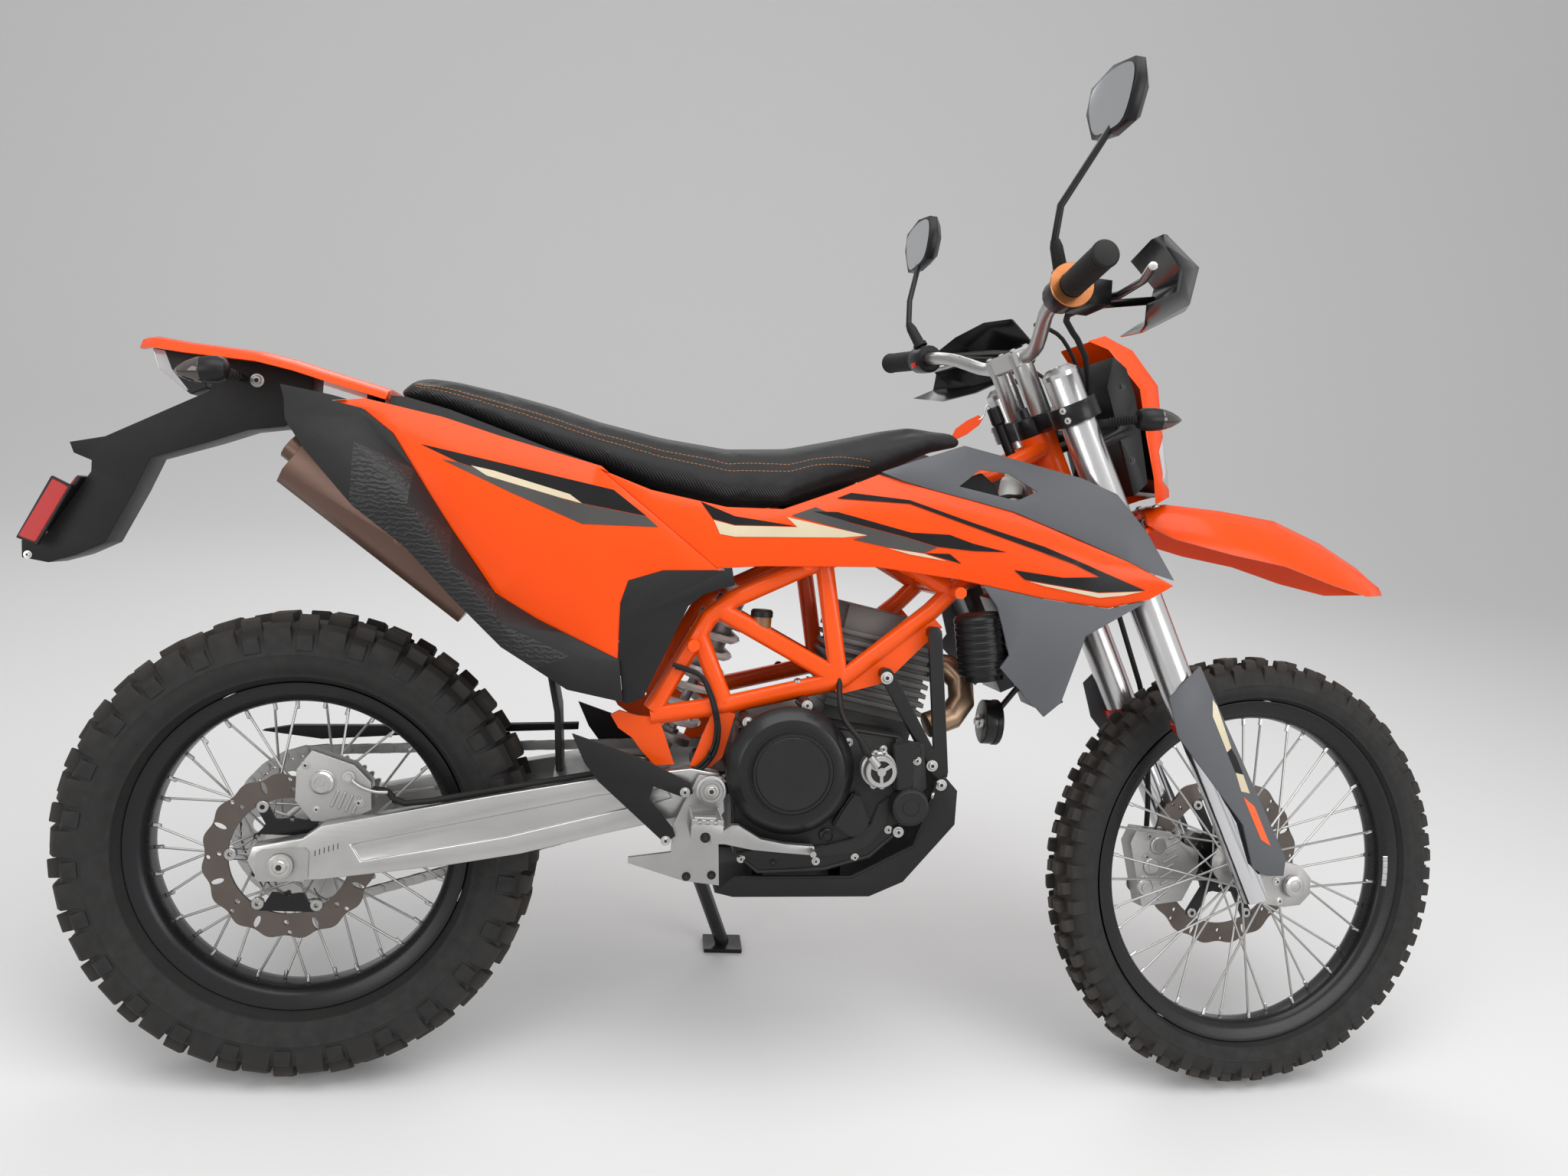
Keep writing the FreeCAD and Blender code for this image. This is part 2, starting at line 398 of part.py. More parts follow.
def ring(centre, along, radius, count):
    """Corners of a regular polygon square to a line."""
    along = Vector(along).normalize()
    helper = SIDE if abs(along.y) < abs(along.x) + abs(along.z) else AHEAD
    first = helper.cross(along).normalize()
    second = along.cross(first)
    step = 2 * math.pi / count
    angles = [step * (index + 0.5) for index in range(count)]
    return [centre + first * (radius * math.cos(a)) + second * (radius * math.sin(a)) for a in angles]


def solid_of(faces):
    """A solid bounded by flat faces, each given by its corners."""
    shell = Part.makeShell([Part.Face(polygon(points)) for points in faces])
    shell.sewShape()
    solid = Part.Solid(shell.Shells[0] if shell.Shells else shell)
    if solid.Volume < 0:
        solid.reverse()
    return solid


def skin(sections, flat=False):
    """Facets over sections that have the same number of corners, closed at both ends."""
    faces = [sections[0], sections[-1]]
    for near, far in zip(sections, sections[1:]):
        for index in range(len(near)):
            after = (index + 1) % len(near)
            a, b, c, d = near[index], near[after], far[after], far[index]
            if flat:
                faces.append([a, b, c, d])
            elif a.z >= b.z:
                faces += [[a, b, d], [b, c, d]]
            else:
                faces += [[a, b, c], [a, c, d]]
    return solid_of(faces)


def rod(start, end, radius, outside=False):
    """A round bar with narrow flats; a bore's flats lie outside its radius."""
    count = sides_for(radius)
    reach = radius / math.cos(math.pi / count) if outside else radius
    return Part.Face(polygon(ring(start, end - start, reach, count))).extrude(end - start)


def disc_at(centre, radius, y_from, y_to, outside=False):
    return rod(at_y(centre, y_from), at_y(centre, y_to), radius, outside)


def stack(centre, steps):
    """Coaxial steps along Y, as (y, radius) pairs, with sloping flats between them."""
    count = sides_for(max(radius for _, radius in steps))
    return skin([ring(at_y(centre, y), SIDE, radius, count) for y, radius in steps], True)


def eased(points, reach):
    """The run with its corners eased into short straights."""
    run = [points[0]]
    for before, corner, after in zip(points, points[1:], points[2:]):
        back = before - corner
        ahead = after - corner
        near = corner + back * min(reach / back.Length, 0.45)
        far = corner + ahead * min(reach / ahead.Length, 0.45)
        for share in (0, 0.5, 1):
            on_way = between(near, corner, share)
            run.append(between(on_way, between(corner, far, share), share))
    return run + [points[-1]]


def tube(points, radius, count=None):
    """A round tube along a run of points, mitred at its corners."""
    sections = [ring(points[0], points[1] - points[0], radius, count or sides_for(radius))]
    for index in range(1, len(points)):
        going = (points[index] - points[index - 1]).normalize()
        cut = Vector(going)
        if index + 1 < len(points):
            cut = (going + (points[index + 1] - points[index]).normalize()).normalize()
        sections.append([p + going * ((points[index] - p).dot(cut) / going.dot(cut)) for p in sections[-1]])
    return skin(sections, True)


def turned(profile, centre, count):
    """A closed profile of (y, radius) pairs, carried round an axle in flats."""
    step = 2 * math.pi / count
    rounds = []
    for index in range(count):
        out = Vector(math.cos(step * (index + 0.5)), 0, math.sin(step * (index + 0.5)))
        rounds.append([centre + out * radius + SIDE * y for y, radius in profile])
    faces = []
    for index in range(count):
        near = rounds[index]
        far = rounds[(index + 1) % count]
        for corner in range(len(profile)):
            after = (corner + 1) % len(profile)
            faces.append([near[corner], near[after], far[after], far[corner]])
    return solid_of(faces)


def below_line(shape, line):
    """What is left of a shape under a line that runs from rear to front."""
    high = [line[-1] + UP * FAR, line[0] + UP * FAR]
    return shape.cut(plate(line + high, -FAR, FAR))


def bulge(stations, half_width, shallow, deep=None):
    """The space inside a bulged surface between two depths, or in to the middle."""
    sections = []
    for x, points in stations:
        outer = [body_at((x, z), shallow - half_width * out) for z, out in points]
        inner = [body_at((x, z), 0 if deep is None else deep - half_width * out) for z, out in points]
        sections.append(outer + inner[::-1])
    return skin(sections)


def panel(stations, half_width, outline, neighbours):
    """A bulged panel of the right side, cut to its outline, with shut lines to its neighbours."""
    body = bulge(stations, half_width, 0, S.panel_wall).common(outline_plate(outline, -FAR, 0))
    for shares in neighbours:
        body = body.cut(grown(shares, -FAR, 0))
    return max(body.Solids, key=lambda solid: solid.Volume)


def boss(start, end, radius, stations, half_width):
    """A stand-off that ends just behind a bulged panel."""
    inside = bulge(stations, half_width, S.panel_wall + S.seat_gap)
    pieces = rod(start, end, radius).common(inside).Solids
    return max(pieces, key=lambda solid: solid.Volume)


def arch(centre_top, edge_z, half, wall):
    """The ring of an arched sheet across the machine, from its crown and its edge height."""
    rise = centre_top.z - edge_z
    outer = [(-1, 0), (-0.8, 0.7), (-0.45, 1), (0.45, 1), (0.8, 0.7), (1, 0)]
    ring_out = [Vector(centre_top.x, half * y, edge_z + rise * z) for y, z in outer]
    ring_in = [Vector(p.x, p.y - math.copysign(wall, p.y), p.z - (wall if index not in (0, 5) else 0))
               for index, p in enumerate(ring_out)]
    return ring_out + ring_in[::-1]


def node(name, shape):
    feature = DOC.addObject("Part::Feature", name)
    feature.Shape = shape
    feature.Label = name
    NODES[name] = feature
    return feature


def primitive(kind, name, where, **sizes):
    """A primitive whose sizes follow the sheet."""
    item = DOC.addObject(kind, name)
    for size, expression in sizes.items():
        item.setExpression(size, expression)
    item.Placement = where
    return item


def joined(name, items):
    """A node made of primitives joined together."""
    whole = DOC.addObject("Part::MultiFuse", name)
    whole.Shapes = items
    whole.Label = name
    NODES[name] = whole
    return whole


def pointing(start, along):
    return Placement(start, Rotation(UP, along))


def channel_half(radius, rim_radius, rim_width):
    """Half the width inside a rim's channel at a radius."""
    top = rim_width / 2 - S.rim_wall
    share = (rim_radius - radius) / (S.rim_depth - S.rim_wall)
    return top * (1 - share * S.channel_taper)


def tread_tips(outer, width):
    """Half widths and radii that the lugs reach, as (y, radius) pairs."""
    return [(width * 0.17, outer), (width * 0.47, outer - S.lug_height * 1.9)]


def lug(centre, angle, low, high, half_length):
    """A block that stands on the tread between two (y, radius) edges on each face."""
    out = Vector(math.cos(angle), 0, math.sin(angle))
    along = Vector(-math.sin(angle), 0, math.cos(angle))
    rings = []
    for edge in (low, high):
        corners = [(y, radius, side) for (y, radius), side in zip(edge + edge[::-1], (-1, -1, 1, 1))]
        rings.append([centre + SIDE * y + out * radius + along * (half_length * side)
                      for y, radius, side in corners])
    return skin(rings)


def tyre(name, centre, outer, width, rim_radius, rim_width, lug_length):
    """A knobbly tyre: a flat-sided carcass with rows of blocks fused to it."""
    half = width / 2
    bead = rim_radius - S.bead_depth
    bead_half = channel_half(bead, rim_radius, rim_width) - S.bead_gap
    seat = channel_half(rim_radius, rim_radius, rim_width) - S.bead_gap
    carcass = outer - S.lug_height
    height = carcass - rim_radius
    profile = [(-bead_half, bead), (-seat, rim_radius + S.bead_gap), (-half * 0.92, rim_radius + height * 0.45),
               (-half * 0.86, carcass - height * 0.2), (-half * 0.4, carcass)]
    profile += [(-y, radius) for y, radius in reversed(profile)]
    body = turned(profile, centre, int(S.most_sides))
    step = math.pi / S.lug_pitches
    (crown, top), (shoulder, edge) = tread_tips(outer, width)
    tip = math.sqrt(top ** 2 - (lug_length / 2) ** 2)
    root = carcass - S.lug_height / 2
    blocks = []
    for pitch in range(int(S.lug_pitches)):
        angle = 2 * step * pitch
        blocks.append(lug(centre, angle, [(-crown, root), (crown, root)],
                          [(-crown, tip), (crown, tip)], lug_length / 2))
        for side in (-1, 1):
            low = [(side * crown * 1.6, root - S.lug_height / 2), (side * half * 0.8, root - height * 0.32)]
            high = [(side * crown * 1.9, tip - S.lug_height * 0.4), (side * shoulder, edge)]
            if side < 0:
                low, high = low[::-1], high[::-1]
            blocks.append(lug(centre, angle + step, low, high, lug_length / 2))
    return node(name, fuse([body] + blocks))


def rim(name, centre, radius, width):
    half = width / 2
    well = radius - S.rim_depth
    inside = channel_half(well + S.rim_wall, radius, width)
    profile = [(-half, radius), (-half + S.rim_wall, radius), (-inside, well + S.rim_wall)]
    profile += [(-y, r) for y, r in reversed(profile)]
    profile += [(inside + S.rim_wall / 2, well), (-inside - S.rim_wall / 2, well)]
    return node(name, turned(profile, centre, int(S.most_sides)))


def spokes(centre, flange_radius, flange_y, rim_inner):
    """Crossed spokes from both flanges, as square rods that end just short of the rim."""
    rods = []
    step = 360 / (2 * S.spoke_pairs)
    half = S.spoke_thickness / 2
    for side in (-1, 1):
        for index in range(int(2 * S.spoke_pairs)):
            lean = 1 if index % 2 else -1
            angle = math.radians(step * index + side * step / 4)
            root_angle = angle + lean * math.radians(3 * step)
            out = Vector(math.cos(root_angle), 0, math.sin(root_angle))
            root = centre + out * (flange_radius - S.spoke_thickness)
            root.y = side * (flange_y + lean * half)
            tip = centre + Vector(math.cos(angle), 0, math.sin(angle)) * (rim_inner - S.spoke_end_gap)
            tip.y = side * S.spoke_thickness * 2
            box = Part.makeBox(S.spoke_thickness, S.spoke_thickness, (tip - root).Length,
                               Vector(-half, -half, 0))
            box.Placement = pointing(root, tip - root)
            rods.append(box)
    return rods


def brake_disc(centre, radius, y, lobes):
    """A wave disc: a ring with a scalloped edge, joined to its carrier by arms."""
    half = S.disc_thickness / 2
    count = lobes * 6
    rim_points = []
    for index in range(count):
        angle = 2 * math.pi * index / count
        reach = radius - S.disc_wave * (1 + math.cos(angle * lobes)) / 2
        rim_points.append(centre + Vector(math.cos(angle), 0, math.sin(angle)) * reach)
    band = plate(rim_points, y - half, y + half)
    band = band.cut(disc_at(centre, radius - S.disc_band, y - S.overrun, y + S.overrun))
    arms = []
    for index in range(6):
        angle = 2 * math.pi * index / 6
        out = Vector(math.cos(angle), 0, math.sin(angle))
        box = Part.makeBox(radius - S.disc_band / 2, S.disc_thickness, S.disc_band / 2,
                           Vector(0, -half, -S.disc_band / 4))
        box.Placement = Placement(at_y(centre, y), Rotation(AHEAD, out))
        arms.append(box)
    return fuse([band] + arms)


def hub(name, centre, width, radius, flange_radius, rim_inner, disc_radius, disc_y, extra):
    half = width / 2
    t = S.flange_thickness
    body = disc_at(centre, radius, -half, half)
    bore = disc_at(centre, S.axle_radius + S.seat_gap, -FAR, FAR, True)
    flanges = [disc_at(centre, flange_radius, -half, t - half), disc_at(centre, flange_radius, half - t, half)]
    neck = disc_at(centre, radius, min(0, disc_y), max(0, disc_y))
    shapes = [body, neck] + flanges + spokes(centre, flange_radius, half - t / 2, rim_inner)
    shapes += [brake_disc(centre, disc_radius, disc_y, 8)] + extra
    return node(name, fuse(shapes).cut(bore))


def wheels():
    front_inner = (S.front_rim_radius - S.rim_depth) * math.cos(math.pi / S.most_sides)
    rear_inner = (S.rear_rim_radius - S.rim_depth) * math.cos(math.pi / S.most_sides)
    tyre("front_tyre", FRONT_AXLE, S.front_radius, S.front_tyre_width, S.front_rim_radius,
         S.front_rim_width, S.front_lug_length)
    tyre("rear_tyre", REAR_AXLE, S.rear_radius, S.rear_tyre_width, S.rear_rim_radius,
         S.rear_rim_width, S.rear_lug_length)
    rim("front_rim", FRONT_AXLE, S.front_rim_radius, S.front_rim_width)
    rim("rear_rim", REAR_AXLE, S.rear_rim_radius, S.rear_rim_width)
    hub("front_hub", FRONT_AXLE, S.front_hub_width, S.front_hub_radius, S.front_flange_radius,
        front_inner, S.front_disc_radius, S.front_disc_place, [])
    half = S.sprocket_thickness / 2
    body = disc_at(REAR_AXLE, chain_inner(S.rear_teeth), S.chain_place - half, S.chain_place + half)
    carrier = disc_at(REAR_AXLE, S.rear_flange_radius, S.rear_hub_width / 2 - S.flange_thickness,
                      S.chain_place)
    hub("rear_hub", REAR_AXLE, S.rear_hub_width, S.rear_hub_radius, S.rear_flange_radius, rear_inner,
        S.rear_disc_radius, -S.rear_disc_place, [body, carrier])


def pitch_radius(teeth):
    return S.chain_pitch / (2 * math.sin(math.pi / teeth))


def chain_inner(teeth):
    """The radius that fits inside the chain's loop round a sprocket."""
    return pitch_radius(teeth) * math.cos(math.pi / teeth) - S.chain_height / 2 - S.seat_gap


def chain():
    """A closed loop round both sprockets, with a corner at each tooth it meets."""
    front = place("front_sprocket")
    span = front - REAR_AXLE
    big = pitch_radius(S.rear_teeth)
    small = pitch_radius(S.front_teeth)
    along = Vector(span).normalize()
    upward = Vector(-along.z, 0, along.x)
    wrap = math.acos((big - small) / span.Length)

    def loop(grow):
        points = []
        front_steps = int(S.front_teeth / 2)
        rear_steps = int(S.rear_teeth / 2)
        for index in range(front_steps + 1):
            angle = wrap * (1 - 2 * index / front_steps)
            points.append(front + (along * math.cos(angle) + upward * math.sin(angle)) * (small + grow))
        for index in range(rear_steps + 1):
            angle = -wrap - (2 * math.pi - 2 * wrap) * index / rear_steps
            points.append(REAR_AXLE + (along * math.cos(angle) + upward * math.sin(angle)) * (big + grow))
        return points

    low = S.chain_place - S.chain_width / 2
    high = S.chain_place + S.chain_width / 2
    band = plate(loop(S.chain_height / 2), low, high)
    node("chain", band.cut(plate(loop(-S.chain_height / 2), low - S.overrun, high + S.overrun)))


def frame():
    """Trellis side frames, head tube, cross tubes and the plates and stand-offs they carry."""
    y = S.frame_half_width
    outer = y + S.plate_wall
    parts = [tube([body_at((x, z), -y * out) for x, z, out in run], S.tube_radius) for run in FRAME_SHARES]
    for outline in (REAR_PLATE_SHARES, FRONT_PLATE_SHARES, GUSSET_SHARES):
        parts.append(outline_plate(outline, -outer, -y))
    parts.append(boss(place("front_boss", -y), place("front_boss", -FAR), S.boss_radius,
                      SHROUD_STATIONS, S.shroud_half_width))
    knee = body_at(FRAME_SHARES[0][-1], -y)
    parts.append(boss(knee, knee - SIDE * FAR, S.boss_radius, SHROUD_STATIONS, S.shroud_half_width))
    node_b = body_at(FRAME_SHARES[1][1], -y)
    parts.append(boss(node_b, node_b - SIDE * FAR, S.boss_radius, SIDE_COVER_STATIONS, S.rear_half_width))
    top_run = [body_at((x, z), -y * out) for x, z, out in FRAME_SHARES[6]]
    parts.append(boss(between(top_run[0], top_run[1], 0.7), body_at((0.585, 0.985), -S.shroud_half_width),
                      S.boss_radius, CREST_STATIONS, S.shroud_half_width))
    side = fuse(parts)
    gap = S.clamp_depth / 2 + S.seat_gap
    head_low = STEER_POINT + AX * (S.lower_clamp_place + gap)
    head_high = STEER_POINT + AX * (S.upper_clamp_place - gap)
    head = rod(head_low, head_high, S.head_tube_radius)
    cross = [rod(body_at(p, -y), body_at(p, y), S.cross_tube_radius) for p in CROSS_SHARES]
    bore = rod(head_low - AX * S.overrun, head_high + AX * S.overrun, S.stem_radius + S.seat_gap, True)
    arm = grown(SWINGARM_SHARES, -FAR, FAR)
    node("trellis_frame", fuse([side, mirrored(side), head] + cross).cut(bore).cut(arm))


def engine_case():
    case = outline_plate(CASE_SHARES, -S.case_half_width, S.case_left_width)
    sprocket = disc_at(place("front_sprocket"), chain_inner(S.front_teeth), S.case_left_width,
                       S.chain_place + S.chain_width / 2)
    reach = S.arm_inner - S.seat_gap
    pivot = place("pivot")
    ear = disc_at(pivot, S.ear_radius, -reach, reach)
    web = plate([pivot - UP * S.ear_radius, pivot + UP * S.ear_radius,
                 pivot + Vector(S.ear_reach, 0, S.ear_radius), pivot + Vector(S.ear_reach, 0, -S.ear_radius)],
                -S.case_half_width, S.case_left_width)
    hole = disc_at(pivot, S.pivot_radius + S.seat_gap, -FAR, FAR, True)
    low = place("cylinder")
    neck = Part.makeBox(S.cylinder_length, S.cylinder_width, S.neck_height,
                        Vector(-S.cylinder_length / 2, -S.cylinder_width / 2, -S.neck_height))
    neck.Placement = pointing(low + LEAN_AHEAD * S.tube_radius, LEAN_AHEAD)
    rear_low, front_low = body_at(SKID_SHARES[-1]), body_at(SKID_SHARES[-2])
    feet = []
    for x in FOOT_SHARES:
        for side in (-1, 1):
            top = body_at((x, CASE_SHARES[5][1]), side * S.case_left_width * 0.7) + UP * S.boss_radius
            share = (top.x + S.boss_radius + S.skid_wall - rear_low.x) / (front_low.x - rear_low.x)
            floor = between(rear_low, front_low, share).z + S.skid_wall + S.seat_gap
            feet.append(rod(Vector(top.x, top.y, floor), top, S.boss_radius))
    node("engine_case", fuse([case, sprocket, ear, web, neck] + feet).cut(hole))


def engine_covers():
    inner = -S.case_half_width - S.seat_gap
    outer = inner - S.case_cover_depth
    cover = outline_plate(CASE_SHARES, outer, inner)
    face = outer - S.clutch_depth
    clutch = stack(place("clutch"), [(outer, S.clutch_radius), (face + S.clutch_chamfer, S.clutch_radius),
                                     (face, S.clutch_radius - S.clutch_chamfer)])
    inset = stack(place("clutch"), [(face, S.clutch_disc_radius), (face - S.clutch_disc_depth, S.clutch_disc_radius)])
    slave = stack(place("slave"), [(outer, S.slave_radius), (outer - S.slave_depth, S.slave_radius),
                                   (outer - S.slave_depth - S.panel_wall, S.slave_radius * 0.7)])
    oil = disc_at(place("filter"), S.filter_radius, outer - S.filter_depth, outer)
    pump = outline_plate(PUMP_SHARES, outer - S.filter_depth / 2, outer)
    right = fuse([cover, clutch, inset, slave, oil, pump])
    start = S.case_left_width + S.seat_gap
    left = stack(place("alternator"), [(start, S.alternator_radius),
                                       (start + S.alternator_depth * 0.7, S.alternator_radius),
                                       (start + S.alternator_depth, S.alternator_radius * 0.8)])
    node("engine_covers", Part.makeCompound([right, left]))


def cylinder_and_pipe():
    """The finned cylinder with its exhaust port, and the pipe bolted to it."""
    start = place("cylinder") + LEAN_AHEAD * (S.tube_radius + S.seat_gap)
    length = S.cylinder_length
    width = S.cylinder_width
    core = Part.makeBox(length, width, S.cylinder_height, Vector(-length / 2, -width / 2, 0))
    core.Placement = pointing(start, LEAN_AHEAD)
    shapes = [core]
    pitch = 2 * S.fin_gap
    for index in range(1, int(S.fin_count) + 1):
        fin = Part.makeBox(length + 2 * S.fin_depth, width + 2 * S.fin_depth, S.fin_gap,
                           Vector(-length / 2 - S.fin_depth, -width / 2 - S.fin_depth, 0))
        fin.Placement = pointing(start + LEAN_AHEAD * (pitch * index), LEAN_AHEAD)
        shapes.append(fin)
    run = [body_at(p, -S.frame_half_width * out) for p, out in zip(HEADER_SHARES, HEADER_SIDE_SHARES)]
    back = (run[0] - run[1]).normalize()
    middle = at_y(between(start, start + LEAN_AHEAD * S.cylinder_height, 0.5), run[0].y)
    reach = run[0].x - middle.x
    shapes.append(rod(run[0] + back * reach, run[0] + back * S.seat_gap, S.pipe_radius))
    node("cylinder", fuse(shapes))
    node("header_pipe", tube(run, S.pipe_radius))


def engine_brackets():
    """Flat bars bolted from the frame to the skid plate."""
    low = -S.bar_place - S.bar_thickness
    bars = []
    for start, end in BRACKET_BAR_SHARES:
        a = body_at(start)
        b = body_at(end)
        across = (b - a).cross(SIDE).normalize() * (S.bar_width / 2)
        bars.append(plate([a - across, a + across, b + across, b - across], low, -S.bar_place))
        bars.append(disc_at(a, S.boss_radius, -S.bar_place, -S.frame_half_width - S.plate_wall - S.seat_gap))
        bars.append(disc_at(a, S.bar_width / 2, low, -S.bar_place))
        bars.append(disc_at(b, S.bar_width / 2, low, -S.bar_place))
    right = fuse(bars).cut(grown(SKID_SHARES, -FAR, FAR))
    right = max(right.Solids, key=lambda solid: solid.Volume)
    node("engine_brackets", both_sides(right))


def seat_line():
    """The underside of the seat, less the gap its carriers keep."""
    return [body_at((x, low)) - UP * S.seat_gap for x, _, low, _ in SEAT_STATIONS]


def tail_line():
    return [body_at((x, top)) - UP * (S.tail_thickness + S.tail_gap) for x, top, _ in TAIL_STATIONS]


def seat():
    sections = []
    for x, top, low, out in SEAT_STATIONS:
        half = S.seat_half_width * out
        sections.append([body_at((x, low + (top - low) * z), half * y) for y, z in SEAT_SECTION_SHARES])
    node("seat", skin(sections))


def tail():
    """Orange tail, the tank and air box under the seat, the plate holder and the lamps."""
    wall = S.tail_thickness
    drop = 1.6 * wall
    rings = []
    for x, top, out in TAIL_STATIONS:
        crown = body_at((x, top))
        rings.append(arch(crown, crown.z - drop, S.tail_half_width * out, wall))
    node("tail_fender", skin(rings))
    line = tail_line() + seat_line()[1:]
    inside = bulge(REAR_STATIONS, S.rear_half_width, S.panel_wall + S.seat_gap)
    tank = outline_plate(TANK_SHARES, -FAR, 0).common(inside)
    tank = fuse([tank, mirrored(tank)])
    posts = [rod(body_at(TAIL_POST_SHARES, side * S.holder_width / 3),
                 body_at(TAIL_POST_SHARES, side * S.holder_width / 3) + UP * S.seat_half_width, S.boss_radius)
             for side in (-1, 1)]
    tank = below_line(fuse([tank] + posts), line)
    box = below_line(outline_plate(AIRBOX_SHARES, -S.airbox_half_width, S.airbox_half_width), seat_line())
    node("tail_tank", fuse([tank, box]))
    half = S.holder_width / 2
    holder = below_line(outline_plate(HOLDER_SHARES, -half, half), tail_line())
    node("plate_holder", max(holder.Solids, key=lambda solid: solid.Volume))
    start, end = [body_at(p) for p in REFLECTOR_EDGE_SHARES]
    out = (end - start).cross(SIDE).normalize()
    if out.x > 0:
        out = out * -1
    near = out * S.seat_gap
    deep = out * (S.seat_gap + S.reflector_depth)
    reach = S.reflector_width / 2
    lamps = [plate([start + near, end + near, end + deep, start + deep], -reach, reach)]
    light = below_line(outline_plate(LAMP_SHARES, -reach * 0.5, reach * 0.5), tail_line())
    light = light.cut(grown(HOLDER_SHARES, -FAR, FAR))
    lamps.append(max(light.Solids, key=lambda solid: solid.Volume))
    for side in (-1, 1):
        root = place("rear_indicator", side * (half + S.seat_gap))
        knee = at_y(root, side * S.indicator_place)
        tip = at_y(root, side * (S.indicator_place + S.indicator_length))
        stem = rod(root, knee, S.indicator_stem_radius)
        lens = rod(knee, tip, S.indicator_radius)
        lamps.append(fuse([stem, lens]))
    node("rear_lamps", Part.makeCompound(lamps))


def panels():
    """Bulged body panels with narrow shut lines between them."""
    w = S.shroud_half_width
    r = S.rear_half_width
    node("shrouds", both_sides(panel(SHROUD_STATIONS, w, SHROUD_SHARES, [])))
    crest = panel(CREST_STATIONS, w, CREST_SHARES, [SHROUD_SHARES])
    crest = crest.cut(outline_plate(CREST_WINDOW_SHARES, -FAR, 0))
    scoop = panel(SCOOP_STATIONS, w, SCOOP_SHARES, [SHROUD_SHARES])
    node("grey_shrouds", Part.makeCompound([crest, mirrored(crest), scoop, mirrored(scoop)]))
    node("rear_panels", both_sides(panel(REAR_STATIONS, r, REAR_PANEL_SHARES, [SHROUD_SHARES])))
    guard = panel(GUARD_STATIONS, S.guard_half_width, GUARD_SHARES, [REAR_PANEL_SHARES, SHROUD_SHARES])
    cover = panel(SIDE_COVER_STATIONS, r, SIDE_COVER_SHARES,
                  [SHROUD_SHARES, REAR_PANEL_SHARES, GUARD_SHARES])
    node("side_covers", Part.makeCompound([guard, mirrored(guard), cover, mirrored(cover)]))
    tray = outline_plate(SKID_SHARES, -S.skid_half_width, S.skid_half_width)
    inner = S.skid_half_width - S.skid_wall
    hollow = plate([body_at(p) + Vector(-S.skid_wall, 0, S.skid_wall) for p in SKID_SHARES], -inner, inner)
    tray = tray.cut(hollow)
    node("skid_plate", max(tray.Solids, key=lambda solid: solid.Volume))


def silencer():
    """A flat-sided silencer on a hanger, with a stand-off for its guard."""
    start, end = [body_at(p, -S.silencer_place) for p in SILENCER_SHARES]
    along = end - start
    across = along.cross(SIDE).normalize()
    w = S.silencer_width / 2
    h = S.silencer_height / 2
    c = S.silencer_corner
    corners = [(-w, c - h), (c - w, -h), (w - c, -h), (w, c - h), (w, h - c), (w - c, h), (c - w, h), (-w, h - c)]
    can = Part.Face(polygon([start + SIDE * y + across * z for y, z in corners])).extrude(along)
    outlet = rod(end - along * 0.1, end + along.normalize() * S.pipe_radius, S.pipe_radius)
    hanger = outline_plate(HANGER_SHARES, -S.silencer_place, S.hanger_wall - S.silencer_place)
    hanger = hanger.cut(grown(TANK_SHARES, -FAR, FAR))
    middle = between(start, end, 0.4)
    prop = boss(middle, middle - SIDE * FAR, S.boss_radius, GUARD_STATIONS, S.guard_half_width)
    whole = fuse([can, outlet, hanger, prop])
    node("silencer", max(whole.Solids, key=lambda solid: solid.Volume))


def cooling():
    """Radiators either side of the frame, with the horn below and the canister behind."""
    low = STEER_POINT + AX * S.radiator_place - PERP * S.radiator_setback
    depth = S.radiator_depth
    core = Part.makeBox(depth, S.radiator_width, S.radiator_height,
                        Vector(-depth / 2, -S.radiator_inner - S.radiator_width, 0))
    core.Placement = pointing(low, AX)
    outer = S.radiator_inner + S.radiator_width
    middle = low + AX * (S.radiator_height * 0.45) - SIDE * (outer - depth)
    prop = boss(middle, middle - SIDE * FAR, S.boss_radius, SCOOP_STATIONS, S.shroud_half_width)
    right = fuse([core, prop])
    left = mirrored(right)
    horn_at = place("horn", -S.horn_place)
    horn = rod(horn_at, horn_at + AHEAD * S.horn_depth, S.horn_radius)
    strap = rod(horn_at + AHEAD * (S.horn_depth / 2), low - SIDE * S.horn_place + AX * depth, S.boss_radius / 2)
    start = place("canister_low", -S.canister_place)
    end = place("canister_high", -S.canister_place)
    held = low + AX * (S.radiator_height * 0.35) - SIDE * S.canister_place
    holder = rod(between(start, end, 0.5), held, S.boss_radius)
    can_radius = S.canister_radius + S.seat_gap
    holder = holder.cut(Part.makeCylinder(can_radius, 2 * S.canister_length, start * 2 - end, end - start))
    right = fuse([right, horn, strap, holder])
    right = max(right.Solids, key=lambda solid: solid.Volume)
    node("radiators", Part.makeCompound([right, left]))
    can = primitive("Part::Cylinder", "CanisterBody", pointing(start, end - start), Radius="Sizes.canister_radius",
                    Height="Sizes.canister_length")
    cap = primitive("Part::Cylinder", "CanisterCap", pointing(start, start - end),
                    Radius="Sizes.canister_radius * 0.8", Height="Sizes.boss_radius")
    joined("canister", [can, cap])


